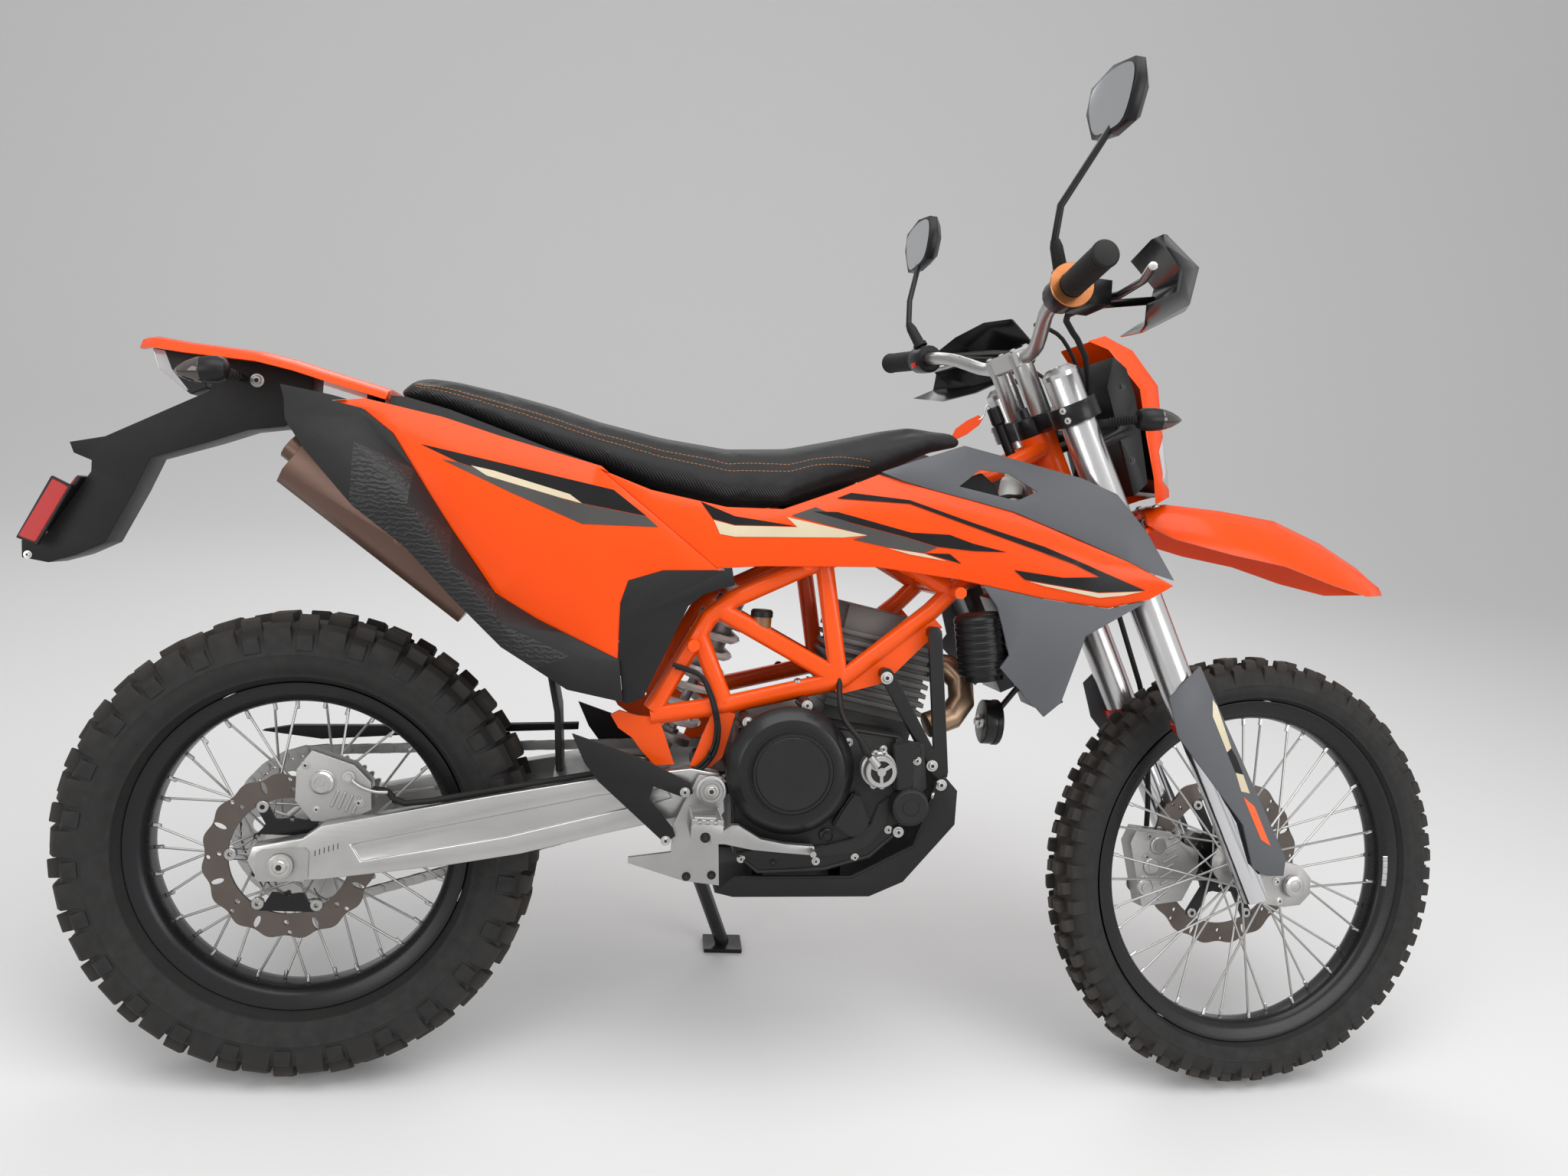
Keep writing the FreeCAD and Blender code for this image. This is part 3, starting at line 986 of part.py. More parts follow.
def drive_side(stand_pin):
    """Swingarm, rear axle, shock, brake, chain guard, pegs and levers."""
    inner = S.arm_inner
    outer = inner + S.arm_wall
    arm = outline_plate(SWINGARM_SHARES, -outer, -inner)
    arm = arm.cut(outline_plate(ARM_POCKET_SHARES, -FAR, S.pocket_depth - outer))
    brace = outline_plate(BRACE_SHARES, -inner - S.overrun, inner + S.overrun)
    axle_hole = disc_at(REAR_AXLE, S.axle_radius + S.seat_gap, -FAR, FAR, True)
    pivot = disc_at(place("pivot"), S.pivot_radius, -outer, outer)
    node("swingarm", fuse([fuse([arm, mirrored(arm), brace]).cut(axle_hole), pivot]))
    reach = S.rear_axle_reach
    turn = Rotation(UP, SIDE)
    axle = primitive("Part::Cylinder", "RearAxleBar", Placement(at_y(REAR_AXLE, -reach), turn),
                     Radius="Sizes.axle_radius", Height="Sizes.rear_axle_reach * 2")
    seat_y = outer + S.seat_gap
    heads = [primitive("Part::Cylinder", f"RearAxleNut{index}", Placement(at_y(REAR_AXLE, y), turn),
                       Radius="Sizes.axle_head_radius", Height="Sizes.axle_head_depth")
             for index, y in enumerate((seat_y, -seat_y - S.axle_head_depth))]
    joined("rear_axle", [axle] + heads)
    chain()
    shock()
    disc_space = disc_at(REAR_AXLE, S.rear_disc_radius + S.caliper_gap, -S.rear_disc_place - S.disc_thickness,
                         S.disc_thickness - S.rear_disc_place, True)
    depth = inner - S.seat_gap
    caliper = outline_plate(REAR_CALIPER_SHARES, -depth, S.caliper_wall - S.rear_disc_place)
    node("rear_caliper", caliper.cut(disc_space))
    top = outline_plate(CHAIN_GUARD_SHARES, S.chain_place - S.chain_width / 2, depth)
    tab = outline_plate(GUARD_TAB_SHARES, depth - S.panel_wall * 0.8, depth)
    node("chain_guards", fuse([top, tab]))
    node("mud_flap", outline_plate(FLAP_SHARES, -S.flap_half_width, S.flap_half_width))
    bracket_in = -S.peg_bracket_place
    bracket_out = bracket_in - S.peg_bracket_wall
    pivot_at = place("pivot")
    bracket = outline_plate(PEG_BRACKET_SHARES, bracket_out, bracket_in)
    spacer = disc_at(pivot_at, S.boss_radius * 2, bracket_in, -seat_y)
    cap = disc_at(pivot_at, S.pivot_cap_radius, bracket_out - S.peg_bracket_wall, bracket_out)
    peg_at = place("peg")
    half = Vector(S.peg_width / 2, 0, S.peg_height / 2)
    peg = Part.makeBox(S.peg_width, S.peg_length, S.peg_height,
                       at_y(peg_at, bracket_out - S.peg_length) - half)
    slots = [Part.makeBox(S.peg_width * 0.7, S.peg_height * 0.6, S.peg_height * 0.5,
                          at_y(peg_at, bracket_out - S.peg_length * share) + Vector(-half.x * 0.7, 0, 0))
             for share in (0.3, 0.62, 0.92)]
    right = fuse([bracket, spacer, cap, peg]).cut(Part.makeCompound(slots))
    node("foot_pegs", Part.makeCompound([right, fuse([mirrored(right), stand_pin])]))
    start = bracket_out - S.seat_gap - S.peg_bracket_wall
    pedal = outline_plate(PEDAL_SHARES, start - S.pedal_width, start)
    hinge = disc_at(body_at(PEDAL_HINGE_SHARES), S.boss_radius, start, bracket_out - S.seat_gap)
    gear = outline_plate(GEAR_LEVER_SHARES, -start, S.pedal_width - start)
    shaft = disc_at(place("gear_shaft"), S.boss_radius, S.case_left_width + S.seat_gap, -start)
    node("foot_levers", Part.makeCompound([fuse([pedal, hinge]), fuse([gear, shaft])]))
    heel = outline_plate(HEEL_SHARES, bracket_out - S.seat_gap - S.heel_wall, bracket_out - S.seat_gap)
    node("heel_guards", both_sides(heel.cut(disc_at(pivot_at, S.pivot_cap_radius + S.seat_gap, -FAR, 0, True))))


def shock():
    """A damper between the swingarm's brace and a frame cross tube, with its spring."""
    head_mid = body_at(CROSS_SHARES[0])
    foot_mid = place("shock_foot")
    along = (head_mid - foot_mid).normalize()
    head = head_mid - along * (S.cross_tube_radius + S.seat_gap)
    spring_low = between(foot_mid, head, 0.2)
    spring_high = between(foot_mid, head, 0.82)
    body = rod(between(foot_mid, head, 0.5), head, S.shock_radius)
    shaft = rod(foot_mid, head, S.shock_shaft_radius)
    foot = rod(foot_mid, spring_low, S.shock_radius * 0.6)
    rest = S.wire_radius + S.seat_gap
    low_collar = rod(spring_low - along * (S.collar_depth + rest), spring_low - along * rest, S.spring_radius)
    high_collar = rod(spring_high + along * rest, spring_high + along * (S.collar_depth + rest), S.spring_radius)
    whole = fuse([body, shaft, foot, low_collar, high_collar])
    node("rear_shock", whole.cut(grown(BRACE_SHARES, -FAR, FAR)))
    steps = int(S.spring_turns * 8)
    first = SIDE
    second = along.cross(first)
    points = []
    for index in range(steps + 1):
        angle = 2 * math.pi * S.spring_turns * index / steps
        out = first * math.cos(angle) + second * math.sin(angle)
        points.append(between(spring_low, spring_high, index / steps) + out * (S.spring_radius - S.wire_radius / 2))
    node("shock_spring", tube(points, S.wire_radius, int(S.fewest_sides) - 2))


def fork():
    """Clamps, upper tubes with their seal rings, lower legs with axle lugs, guards and brake."""
    y = LEG_Y
    items = []
    for side in (-1, 1):
        for label, low, radius, height in (
                ("Tube", S.ring_place, "upper_tube_radius", "upper_tube_length"),
                ("Ring", S.ring_place - S.ring_depth, "ring_radius", "ring_depth"),
                ("Cap", S.ring_place + S.upper_tube_length, "fork_cap_radius", "fork_cap_height")):
            name = label + ("Left" if side > 0 else "Right")
            items.append(primitive("Part::Cylinder", name, pointing(on_leg(low, side * y), AX),
                                   Radius=f"Sizes.{radius}", Height=f"Sizes.{height}"))
    joined("fork_tubes", items)
    seal = S.ring_place - S.ring_depth - S.seat_gap
    slider = rod(on_leg(0, -y), on_leg(seal, -y), S.slider_radius)
    corners = [FRONT_AXLE + Vector(u, 0, v) * S.lug_radius for u, v in LUG_SHARES]
    foot = plate(corners, -y - S.lug_width / 2, S.lug_width / 2 - y)
    hole = disc_at(FRONT_AXLE, S.axle_radius + S.seat_gap, -FAR, 0, True)
    node("fork_sliders", both_sides(fuse([slider, foot]).cut(hole)))
    reach = S.front_axle_reach
    axle = primitive("Part::Cylinder", "FrontAxleBar", Placement(at_y(FRONT_AXLE, -reach), Rotation(UP, SIDE)),
                     Radius="Sizes.axle_radius", Height="Sizes.front_axle_reach * 2")
    lug_end = y + S.lug_width / 2 + S.seat_gap
    heads = [primitive("Part::Cylinder", f"FrontAxleNut{index}", Placement(at_y(FRONT_AXLE, place_y), Rotation(UP, SIDE)),
                       Radius="Sizes.axle_head_radius", Height="Sizes.axle_head_depth")
             for index, place_y in enumerate((lug_end, -lug_end - S.axle_head_depth))]
    joined("front_axle", [axle] + heads)
    guard_y = y + S.ring_radius + S.seat_gap
    guard = plate([fork_at(p) for p in FORK_GUARD_SHARES], -guard_y - S.fork_guard_wall, -guard_y)
    foot_at = fork_at(GUARD_FOOT_SHARES)
    prop = disc_at(foot_at, S.boss_radius * 0.8, -guard_y, -y - S.lug_width / 2 - S.seat_gap)
    node("fork_guards", both_sides(fuse([guard, prop])))
    clamps = []
    for where in (S.upper_clamp_place, S.lower_clamp_place):
        low = where - S.clamp_depth / 2
        high = where + S.clamp_depth / 2
        legs = [rod(on_leg(low, side * y), on_leg(high, side * y), S.upper_tube_radius + S.clamp_wall)
                for side in (-1, 1)]
        stem = rod(STEER_POINT + AX * low, STEER_POINT + AX * high, S.head_tube_radius)
        bridge = Part.makeBox(2 * S.head_tube_radius, 2 * y, S.clamp_depth, Vector(-S.head_tube_radius, -y, 0))
        bridge.Placement = pointing(on_leg(low), AX)
        holes = [rod(on_leg(low - S.overrun, side * y), on_leg(high + S.overrun, side * y),
                     S.upper_tube_radius + S.seat_gap, True) for side in (-1, 1)]
        clamps.append(fuse(legs + [stem, bridge]).cut(Part.makeCompound(holes)))
    column = rod(STEER_POINT + AX * S.lower_clamp_place,
                 STEER_POINT + AX * (S.upper_clamp_place + S.clamp_depth), S.stem_radius)
    node("triple_clamps", fuse(clamps + [column]))
    depth = y - S.lug_width / 2 - S.seat_gap
    caliper = plate([fork_at(p) for p in CALIPER_SHARES], S.front_disc_place - S.caliper_wall, depth)
    space = disc_at(FRONT_AXLE, S.front_disc_radius + S.caliper_gap, S.front_disc_place - S.disc_thickness,
                    S.front_disc_place + S.disc_thickness, True)
    leg = rod(on_leg(-S.lug_radius, y), on_leg(seal, y), S.slider_radius + S.seat_gap, True)
    caliper = caliper.cut(space).cut(leg)
    node("front_caliper", max(caliper.Solids, key=lambda solid: solid.Volume))


def bar_point(share):
    """A point on the bar's straight outer run, by its share of the half width."""
    (x0, z0, y0), (x1, z1, y1) = BAR_SHARES[:2]
    t = (y0 - share) / (y0 - y1)
    return fork_at((x0 + (x1 - x0) * t, z0 + (z1 - z0) * t), -share * S.bar_half_width)


def handlebar():
    """The bar in its risers, grips, controls with levers, hand guards and mirrors."""
    half = [fork_at((x, z), -S.bar_half_width * out) for x, z, out in BAR_SHARES]
    run = half + [at_y(p, -p.y) for p in reversed(half)]
    centre = between(half[-1], run[len(half)], 0.5)
    top = STEER_POINT + AX * (S.upper_clamp_place + S.clamp_depth / 2 + S.seat_gap)
    height = (centre - top).dot(AX)
    risers = []
    for side in (-1, 1):
        foot = top + SIDE * (side * S.riser_spacing / 2)
        risers.append(rod(foot, foot + AX * (height + S.bar_radius), S.riser_radius))
    column = rod(top - AX * S.overrun, top + AX * height, S.stem_radius + S.seat_gap, True)
    node("handlebar", fuse([tube(eased(run, S.bar_bend), S.bar_radius)] + [r.cut(column) for r in risers]))
    along = (half[1] - half[0]).normalize()
    space = rod(half[0] - along * S.overrun, half[1], S.bar_radius + S.seat_gap)
    grip = rod(half[0], half[0] + along * S.grip_length, S.grip_radius)
    node("grips", both_sides(grip.cut(space)))
    start = half[0] + along * (S.grip_length + S.seat_gap)
    pod = rod(start, start + along * S.switch_length, S.switch_radius)
    lever_run = [fork_at((x, z), -S.bar_half_width * out) for x, z, out in LEVER_SHARES]
    perch_at = between(start, start + along * S.switch_length, 0.6)
    perch = rod(perch_at, lever_run[0], S.lever_radius * 1.5)
    left = fuse([pod, perch, tube(lever_run, S.lever_radius)]).cut(space)
    master = Part.makeBox(S.master_width, S.master_length, S.master_width,
                          lever_run[0] - Vector(S.master_width, S.master_length * 0.75, S.master_width / 2))
    right = fuse([left, master]).cut(space)
    node("bar_controls", Part.makeCompound([right, mirrored(left)]))
    guard_rings = []
    for out, points in HANDGUARD_STATIONS:
        face = [fork_at(p, -S.bar_half_width * out) for p in points]
        guard_rings.append(face + [p - AHEAD * S.handguard_wall for p in reversed(face)])
    shell = skin(guard_rings)
    inner = [p for p in guard_rings[0][:4]]
    reach = between(inner[1], inner[2], 0.4)
    stay = rod(at_y(bar_point(0.5), reach.y + S.overrun), reach + Vector(-S.handguard_wall / 2, -S.overrun, 0),
               S.lever_radius)
    bar_space = tube(eased(run, S.bar_bend), S.bar_radius + S.seat_gap)
    node("handguards", both_sides(fuse([shell, stay.cut(bar_space)])))
    mirrors(pod)


def mirrors(pod):
    whole = []
    (along, pod_start) = bar_line()
    clear = rod(pod_start - along * S.overrun, pod_start + along * (S.switch_length + S.overrun),
                S.switch_radius + S.seat_gap)
    for side, head_shares in ((-1, MIRROR_PLACE_SHARES[0]), (1, MIRROR_PLACE_SHARES[1])):
        out = MIRROR_STEM_SHARES[-1][2]
        centre = fork_at(head_shares, -S.bar_half_width * out)
        run = [fork_at((x, z), -S.bar_half_width * share) for x, z, share in MIRROR_STEM_SHARES[:-1]]
        run.append(centre - UP * (S.mirror_height * 0.3) + AHEAD * (S.mirror_depth / 2))
        stem = tube(run, S.mirror_stem_radius).cut(clear)
        rings = []
        for back, scale in ((0, 1), (S.mirror_depth, 1), (2 * S.mirror_depth, 0.7)):
            rings.append([centre + Vector(back, S.mirror_length / 2 * u * scale, S.mirror_height / 2 * v * scale)
                          for u, v in MIRROR_HEAD_SHARES])
        piece = fuse([stem, skin(rings)])
        whole.append(piece if side < 0 else mirrored(piece))
    node("mirrors", Part.makeCompound(whole))


def bar_line():
    half = [fork_at((x, z), -S.bar_half_width * out) for x, z, out in BAR_SHARES[:2]]
    along = (half[1] - half[0]).normalize()
    return along, half[0] + along * (S.grip_length + S.seat_gap)


def mask_space(back, ahead):
    """The space of the mask between two depths behind its face."""
    rings = []
    for front_x, front_z, edge_x, edge_z, out in MASK_STATIONS:
        w = S.mask_half_width * out
        front = fork_at((front_x, front_z))
        edge = fork_at((edge_x, edge_z))
        near = between(front, edge, 0.25)
        face = [at_y(edge, -w), at_y(near, -w * 0.7), at_y(front, -w * 0.35), at_y(front, w * 0.35),
                at_y(near, w * 0.7), at_y(edge, w)]
        out_way = (front - edge).normalize()
        rings.append([p - out_way * back for p in face] + [p + out_way * ahead for p in reversed(face)])
    return skin(rings)


def front_end():
    """The mask with its lamp, the front fender on its stay, and the indicators."""
    lens_points = [Vector(FRONT_AXLE.x, S.mask_half_width * y, FRONT_AXLE.z + S.fork_length * z)
                   for y, z in LENS_SHARES]
    face = Part.Face(polygon([p - AHEAD * S.fork_length * 0.5 for p in lens_points]))
    window = face.makeOffset2D(S.seat_gap, join=2).extrude(AHEAD * S.fork_length)
    mask = mask_space(S.panel_wall, 0).cut(window)
    node("headlight_mask", max(mask.Solids, key=lambda solid: solid.Volume))
    body = plate([fork_at(p) for p in LIGHT_SHARES], -S.light_half_width, S.light_half_width)
    body = body.cut(mask_space(S.panel_wall + S.seat_gap, FAR))
    lens = face.extrude(AHEAD * S.fork_length * 0.3).common(
        Part.makeBox(FAR, FAR, FAR, fork_at(LIGHT_SHARES[5]) - Vector(0, FAR / 2, S.fork_length)))
    lens = lens.cut(mask_space(S.lens_inset, FAR))
    stays = []
    for side in (-1, 1):
        stays.append(rod(on_leg(S.light_stay_place, side * LEG_Y),
                         on_leg(S.light_stay_place, side * LEG_Y, S.light_stay_reach) - SIDE * (side * S.light_stay_inset),
                         S.boss_radius))
    whole = fuse([body, lens] + stays)
    for side in (-1, 1):
        whole = whole.cut(rod(on_leg(S.ring_place, side * LEG_Y), on_leg(S.fork_length, side * LEG_Y),
                              S.upper_tube_radius + S.seat_gap, True))
    node("headlight", max(whole.Solids, key=lambda solid: solid.Volume))
    half = S.fender_width / 2
    rings = [arch(fork_at((x, top)), fork_at((x, edge)).z, half * out, S.fender_wall)
             for x, top, edge, out in FENDER_STATIONS]
    sheet = skin(rings)
    under = S.lower_clamp_place - S.clamp_depth / 2 - S.seat_gap
    stay = Part.makeBox(S.stay_length, S.stay_width, S.stay_wall, Vector(-S.head_tube_radius, -S.stay_width / 2,
                                                                      -S.stay_wall))
    stay.Placement = pointing(on_leg(under), AX)
    tip = on_leg(under, 0, S.stay_length - S.head_tube_radius - S.stay_wall)
    crown = between(fork_at(FENDER_STATIONS[0][:2]), fork_at(FENDER_STATIONS[1][:2]), 0.8)
    post = rod(tip - UP * (S.stay_wall / 2), Vector(tip.x, 0, crown.z - S.fender_wall / 2), S.boss_radius)
    node("front_fender", fuse([sheet, stay, post]))
    run = [fork_at((x, z), -S.indicator_place * out) for x, z, out in INDICATOR_SHARES]
    stem = rod(run[0], run[1], S.indicator_stem_radius)
    lens = rod(run[1], between(run[1], run[3], 0.9), S.indicator_radius)
    lamp = fuse([stem, lens]).cut(rod(on_leg(S.ring_place, -LEG_Y), on_leg(S.fork_length, -LEG_Y),
                                      S.upper_tube_radius + S.seat_gap, True))
    lamp = max(lamp.Solids, key=lambda solid: solid.Volume)
    node("front_indicators", both_sides(lamp))


def hoses():
    """Brake hoses along their whole way."""
    run = [fork_at((x, z), S.fork_spacing * y) for x, z, y in FRONT_HOSE_SHARES]
    node("front_brake_hose", tube(eased(run, S.hose_bend), S.hose_radius))
    outer = S.arm_inner + S.arm_wall / 2
    rear = [body_at((x, z), -outer * y) for x, z, y in REAR_HOSE_SHARES]
    node("rear_brake_hose", tube(eased(rear, S.hose_bend), S.hose_radius))


def tyre_drop(tips, axis):
    """How far a spun tread reaches below its centre when its axle is tilted."""
    level = math.sqrt(1 - axis.z ** 2)
    return max(radius * level + abs(y * axis.z) for y, radius in tips)


def standing():
    """Lean, and pitch a little, until both tyres meet the ground."""
    lean = Placement(Vector(), Rotation(AHEAD, -S.lean_angle))
    steer = steer_placement(S.steer_angle)
    rear_axis = lean.Rotation.multVec(SIDE)
    front_axis = lean.multiply(steer).Rotation.multVec(SIDE)
    rear_centre = lean.multVec(REAR_AXLE)
    front_centre = lean.multiply(steer).multVec(FRONT_AXLE)
    rear_low = rear_centre.z - tyre_drop(tread_tips(S.rear_radius, S.rear_tyre_width), rear_axis)
    front_low = front_centre.z - tyre_drop(tread_tips(S.front_radius, S.front_tyre_width), front_axis)
    pitch = math.degrees(math.asin((front_low - rear_low) / (front_centre.x - rear_centre.x)))
    tilt = Placement(Vector(), Rotation(SIDE, pitch))
    lift = Placement(Vector(0, 0, -rear_low), Rotation())
    return lift.multiply(tilt).multiply(lean)


def steer_placement(angle):
    return Placement(Vector(), Rotation(AX, angle), STEER_POINT)


def side_stand(ground):
    """A leg on a slanted pin, with a foot that lies flat on the ground."""
    to_machine = ground.inverse()
    foot_place = Vector(S.stand_foot_x, S.stand_foot_y, 0)
    foot = to_machine.multVec(foot_place + UP * S.foot_depth)
    pivot = Vector(S.stand_pivot_x, S.stand_pivot_y, S.stand_pivot_z)
    down = (foot - pivot).normalize()
    folded = Vector(*STAND_FOLDED_SHARES).normalize()
    axis = down.cross(folded).normalize()
    half = S.stand_eye_width / 2
    eye = rod(pivot - axis * half, pivot + axis * half, S.stand_eye_radius)
    hole = rod(pivot - axis * S.stand_eye_width, pivot + axis * S.stand_eye_width,
               S.stand_pin_radius + S.seat_gap, True)
    leg = rod(pivot, foot, S.stand_radius).cut(hole)
    pad = Part.makeBox(S.foot_length, S.foot_width, S.foot_depth,
                       foot_place - Vector(S.foot_length / 2, S.foot_width / 2, 0))
    pad.Placement = to_machine.multiply(pad.Placement)
    node("side_stand", fuse([eye.cut(hole), leg, pad]))
    near = half + S.seat_gap
    wall = S.stand_lug_wall
    pin = rod(pivot - axis * (near + wall), pivot + axis * near, S.stand_pin_radius)
    cap = rod(pivot + axis * near, pivot + axis * (near + wall / 2), S.stand_eye_radius)
    lug_disc = rod(pivot - axis * (near + wall), pivot - axis * near, S.stand_eye_radius)
    inward = (axis * axis.y - SIDE).normalize()
    across = axis.cross(inward) * S.stand_radius
    root = pivot - axis * (near + wall)
    end = root + inward * S.tongue_length
    tongue = Part.Face(polygon([root - across, root + across, end + across, end - across])).extrude(axis * wall)
    return pivot, axis, math.degrees(down.getAngle(folded)), fuse([lug_disc, pin, cap, tongue])


STEERED = ["triple_clamps", "fork_tubes", "fork_sliders", "front_axle", "fork_guards", "handlebar", "grips",
           "bar_controls", "handguards", "mirrors", "headlight_mask", "headlight", "front_fender",
           "front_indicators", "front_caliper", "front_brake_hose", "front_tyre", "front_rim", "front_hub"]


def reference_points(ground, pivot, axis, travel):
    steered = ground.multiply(steer_placement(S.steer_angle))
    points = {"rear_axle": ground.multVec(REAR_AXLE), "front_axle": steered.multVec(FRONT_AXLE),
              "steer_point": ground.multVec(STEER_POINT), "stand_pivot": ground.multVec(pivot),
              "rear_axis": ground.Rotation.multVec(SIDE), "front_axis": steered.Rotation.multVec(SIDE),
              "steer_axis": ground.Rotation.multVec(AX), "stand_axis": ground.Rotation.multVec(axis)}
    for name, point in points.items():
        print("point", name, *(f"{value:.4f}" for value in point))
    print("point stand_travel", f"{travel:.2f}")


def main():
    wheels()
    frame()
    engine_case()
    engine_covers()
    cylinder_and_pipe()
    engine_brackets()
    seat()
    tail()
    panels()
    silencer()
    cooling()
    ground = standing()
    pivot, axis, travel, stand_pin = side_stand(ground)
    drive_side(stand_pin)
    fork()
    handlebar()
    front_end()
    hoses()
    DOC.recompute()
    steer = steer_placement(S.steer_angle)
    for name, feature in NODES.items():
        turn = ground.multiply(steer) if name in STEERED else ground
        feature.Placement = turn.multiply(feature.Placement)
    box = Part.makeCompound([feature.Shape for feature in NODES.values()]).BoundBox
    shift = Placement(Vector(-box.Center.x, -box.Center.y, -box.ZMin), Rotation())
    for feature in NODES.values():
        feature.Placement = shift.multiply(feature.Placement)
    DOC.recompute()
    reference_points(shift.multiply(ground), pivot, axis, travel)
    os.makedirs("parts", exist_ok=True)
    for entry in DOC.Objects:
        if "Invalid" in entry.State or "Error" in entry.State:
            raise RuntimeError(f"{entry.Label} did not build")
    for name, feature in NODES.items():
        shape = feature.Shape
        if shape.isNull() or not shape.isValid():
            raise RuntimeError(f"{name} is not a valid shape")
        shape.exportStep(f"parts/{name}.step")


main()
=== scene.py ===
# %% [markdown]
# # Dressing an enduro dirt bike
# The solid parts of the machine come ready made, each in its true place. This lesson turns
# them into something that looks real: a camera and soft light first, then finishes, then
# the pieces that need a finer shape, such as tyres, seat, stickers, bolts and stitches.

# %% Load the solid parts
import json
import math

import bmesh
import bpy
from mathutils import Matrix, Vector
from mathutils.bvhtree import BVHTree
from mathutils.kdtree import KDTree


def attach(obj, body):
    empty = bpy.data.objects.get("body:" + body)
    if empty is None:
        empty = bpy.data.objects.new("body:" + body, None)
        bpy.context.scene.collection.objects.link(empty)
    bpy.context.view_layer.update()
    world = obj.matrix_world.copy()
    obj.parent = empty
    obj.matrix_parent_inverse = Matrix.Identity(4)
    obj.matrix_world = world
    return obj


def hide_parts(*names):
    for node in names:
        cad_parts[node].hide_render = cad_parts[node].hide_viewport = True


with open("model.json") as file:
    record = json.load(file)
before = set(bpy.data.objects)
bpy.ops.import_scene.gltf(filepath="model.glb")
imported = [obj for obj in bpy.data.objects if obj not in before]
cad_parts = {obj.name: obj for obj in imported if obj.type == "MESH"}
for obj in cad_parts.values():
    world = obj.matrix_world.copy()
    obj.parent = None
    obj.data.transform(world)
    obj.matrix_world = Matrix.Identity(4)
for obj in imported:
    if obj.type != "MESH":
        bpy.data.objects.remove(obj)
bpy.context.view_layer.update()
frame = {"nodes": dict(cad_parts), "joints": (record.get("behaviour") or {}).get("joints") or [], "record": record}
nodes = frame["nodes"]
joints = {joint["name"]: joint for joint in frame["joints"]}
scene = bpy.context.scene
print("solid parts:", len(nodes))

# %% [markdown]
# The machine leans on its stand, so its parts are hard to place by eye. The joints tell
# where its own axes point. With them a place can be given on the upright machine, ahead,
# left and up from the ground under the rear axle, and a matrix moves it to the leaning one.
# What steers gets a second matrix, which turns it about the steering axis as well.

# %% The machine's own axes
WHEELBASE, SEAT_HEIGHT, FORK_LENGTH = 1.505, 0.975, 0.880
FORK_HALF, FORK_OFFSET = 0.103, 0.052
FRONT_RADIUS, REAR_RADIUS = 0.352, 0.345
RAKE, STEER = math.radians(26.5), math.radians(6.85)
SIDEWAYS, OUTWARD = Vector((0, 1, 0)), Vector((0, -1, 0))
ALONG_FORK = Vector((-math.sin(RAKE), 0, math.cos(RAKE)))
AHEAD_OF_FORK = Vector((math.cos(RAKE), 0, math.sin(RAKE)))

rear_axle = Vector(joints["rear_wheel_spin"]["pos_m"])
leftward = Vector(joints["rear_wheel_spin"]["axis"]).normalized()
steer_axis = Vector(joints["steering"]["axis"]).normalized()
steer_point = Vector(joints["steering"]["pos_m"])
off_axis = leftward.cross(steer_axis).normalized()
forward = off_axis * math.cos(RAKE) - steer_axis * math.sin(RAKE)
upward = off_axis * math.sin(RAKE) + steer_axis * math.cos(RAKE)
LEANING = Matrix((forward, leftward, upward)).transposed().to_4x4()
LEANING.translation = rear_axle - upward * REAR_RADIUS
steer_turn = (Matrix.Translation(steer_point) @ Matrix.Rotation(STEER, 4, steer_axis)
              @ Matrix.Translation(-steer_point))
STEERED = steer_turn @ LEANING
REAR_AXLE = Vector((0, 0, REAR_RADIUS))
FRONT_AXLE = STEERED.inverted() @ Vector(joints["front_wheel_spin"]["pos_m"])
SPACES = {"chassis": LEANING, "steering": STEERED, "front_wheel": STEERED,
          "rear_wheel": LEANING, "side_stand": LEANING}


def spot(along, high, side=0.0):
    """A place on the machine, as shares of its wheelbase and its seat height."""
    return Vector((WHEELBASE * along, side, SEAT_HEIGHT * high))


def fork_spot(along, high, side=0.0):
    """A place on the front end, as shares of the fork length from the front axle."""
    return FRONT_AXLE + Vector((FORK_LENGTH * along, side, FORK_LENGTH * high))


def leg_spot(along, side=0.0, ahead=0.0):
    """A place on the fork leg's line, in metres up from the axle."""
    return (FRONT_AXLE + ALONG_FORK * along + AHEAD_OF_FORK * (ahead - FORK_OFFSET)
            + SIDEWAYS * side)


print("front axle on the upright machine:", [round(value, 3) for value in FRONT_AXLE])

# %% [markdown]
# The camera stands where the photographer stood, a little ahead of the middle and at chest
# height, turned and tilted as the phone was. Its place is counted from the rear axle.

# %% The camera
CAMERA_FROM_AXLE = Vector((0.4286, -1.7155, 0.9223))
yaw, pitch, roll = (math.radians(angle) for angle in (8.3818, 15.5862, 5.8764))
looking = Vector((math.sin(yaw) * math.cos(pitch), math.cos(yaw) * math.cos(pitch),
                  -math.sin(pitch)))
level = Vector((math.cos(yaw), -math.sin(yaw), 0))
above = level.cross(looking)
right_edge = level * math.cos(roll) + above * math.sin(roll)
top_edge = above * math.cos(roll) - level * math.sin(roll)
camera_data = bpy.data.cameras.new("PhotoCamera")
camera_data.lens, camera_data.sensor_width = 28.0, 36.0
camera_data.clip_end = 60
camera = bpy.data.objects.new("PhotoCamera", camera_data)
scene.collection.objects.link(camera)
view = Matrix((right_edge, top_edge, -looking)).transposed().to_4x4()
view.translation = rear_axle + CAMERA_FROM_AXLE
camera.matrix_world = view
scene.camera = camera
print("camera at", [round(value, 3) for value in view.translation])

